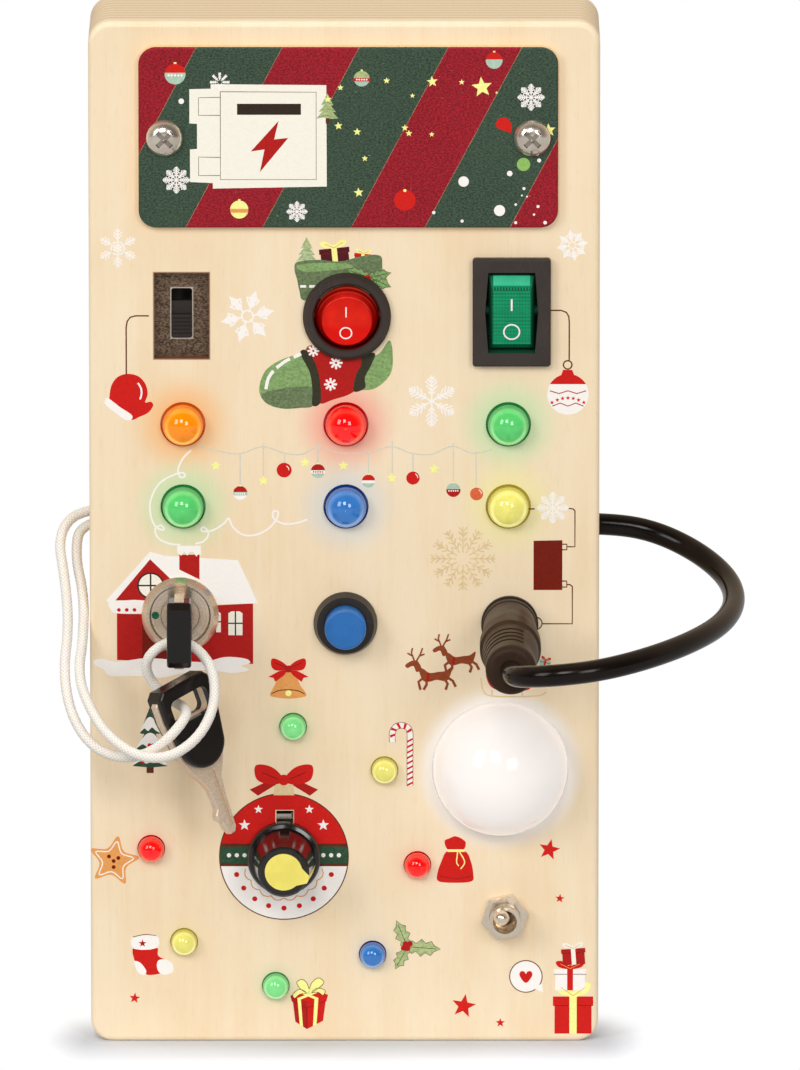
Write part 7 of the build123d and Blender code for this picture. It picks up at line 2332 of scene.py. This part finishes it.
@dataclass
class CoverPrint(Assembly):
    """The artwork on the battery cover."""

    sheet: Sheet = field(default_factory=lambda: Sheet("cover_print", COVER_OUT))

    def build(self) -> None:
        """Draws the battery sign, the ornaments, the stars and the dots."""
        s = self.sheet
        s.flake(-23.78, 188.68, 1.85, kind=3, arms=8, width=0.18)
        s.flake(-32.12, 169.66, 2.63, kind=1, arms=8, width=0.2)
        s.flake(-9.04, 163.51, 2.04, kind=1, arms=8, width=0.17)
        s.flake(35.76, 185.75, 2.63, kind=1, arms=8, width=0.2)
        self.battery_sign()
        s.bauble(-32.31, 190.24, 2.0, Hue.MINT, Hue.BRIGHT_RED, Hue.MINT, Hue.WHITE)
        s.bauble(3.37, 189.36, 1.52, Hue.MINT, Hue.PALE_GREEN, Hue.BRIGHT_RED, Hue.WHITE)
        s.bauble(28.69, 192.88, 1.6, Hue.MINT, Hue.BRIGHT_RED, Hue.MINT)
        s.bauble(-20.09, 163.9, 1.75, Hue.YELLOW, Hue.YELLOW, Hue.TAN)
        s.dot(Hue.BRIGHT_RED, 11.62, 165.75, 2.06)
        s.dot(Hue.YELLOW, 11.62, 167.61, 0.3, layer=1)
        s.fir(-3.22, 180.68, 5.84, Hue.PALE_GREEN, Hue.GREEN, layer=9)
        s.star(Hue.YELLOW, -3.12, 185.36, 0.75, layer=14)
        for spot, size in (((-0.7, 187.61), 0.62), ((-1.09, 180.19), 0.82), ((2.5, 179.02), 0.78),
                ((8.13, 188.97), 0.66), ((13.07, 186.05), 0.51), ((16.85, 188.78), 1.09),
                ((22.48, 188.68), 0.58), ((26.36, 187.71), 2.04), ((29.17, 186.63), 0.31),
                ((11.62, 179.8), 0.7), ((12.39, 178.73), 0.66), ((16.76, 178.53), 0.54),
                ((3.96, 173.85), 0.62), ((2.79, 167.22), 0.97), ((39.16, 179.32), 1.36)):
            s.star(Hue.YELLOW, *spot, size, turn=96 if size > 0.78 else 90, waist=0.44)
        for spot, size in (((-31.15, 184.97), 0.54), ((22.87, 169.36), 1.01), ((29.75, 163.71), 1.07),
                ((37.32, 173.46), 0.39), ((31.69, 170.93), 0.54), ((17.15, 163.32), 0.33),
                ((22.58, 161.66), 0.31), ((34.41, 168.0), 0.29), ((34.02, 166.63), 0.18),
                ((32.85, 164.88), 0.25), ((34.99, 166.44), 0.18), ((37.12, 164.49), 0.29),
                ((36.35, 162.93), 0.23), ((32.85, 161.36), 0.29), ((38.48, 161.36), 0.35)):
            s.dot(Hue.WHITE, *spot, size)
        s.dot(Hue.LIME, 34.33, 172.68, 1.28)
        s.blob(Hue.BRIGHT_RED, [(28.98, 180.49), (29.75, 181.66), (31.11, 181.66), (32.08, 180.29),
            (31.79, 178.83), (30.92, 179.22), (29.75, 179.51)])
        s.build()

    def battery_sign(self) -> None:
        """The cream battery box sign with its bar and bolt."""
        s = self.sheet
        outline = [(-25.52, 188.29), (-3.41, 188.1), (-3.32, 168.39), (-25.14, 168.0), (-25.14, 169.07),
            (-29.5, 169.27), (-29.5, 175.61), (-28.14, 175.71), (-28.14, 180.58), (-29.6, 180.68),
            (-29.6, 187.32), (-25.52, 187.41)]
        s.fill(Hue.CREAM, outline, 3)
        s.line(Hue.BROWN, 0.13, [(-23.68, 186.83), (-5.35, 186.73), (-5.35, 169.75), (-23.68, 169.75),
            (-23.68, 186.83)], [(-23.78, 185.75), (-27.85, 185.66), (-27.85, 182.24), (-23.78, 182.24)],
            [(-23.78, 174.05), (-27.85, 174.14), (-27.85, 170.53), (-23.78, 170.53)], layer=4)
        s.fill(Hue.SOOT, [(-20.48, 184.49), (-8.26, 184.49), (-8.26, 182.34), (-20.48, 182.34)], 4)
        s.fill(Hue.DEEP_RED, [(-12.53, 181.17), (-17.86, 175.22), (-15.24, 175.61), (-16.12, 171.22),
            (-10.69, 177.85), (-13.4, 177.56)], 4)


ARTWORK: tuple[Assembly, ...] = (FrontPrint(), CoverPrint())


# ------------------------------------------------------------------ the whole board
def main() -> None:
    """Builds the studio and every sub-assembly in order."""
    logging.basicConfig(level=logging.INFO, format="%(name)s: %(message)s")
    Studio().build()
    lamps = Lamps()
    assemblies: list[Assembly] = [
        PowerPlug(), KeyLock(), WoodenBox(lamps.painted_glows()), BatteryBay(), SlideSwitch(), RoundRocker(),
        RectRocker(), lamps, PushButton(), DomedLamp(), TurningKnob(), ToggleSwitch(), *ARTWORK,
    ]
    for assembly in assemblies:
        assembly.build()
        LOG.info("%s built", type(assembly).__name__)


if __name__ == "__main__":
    main()
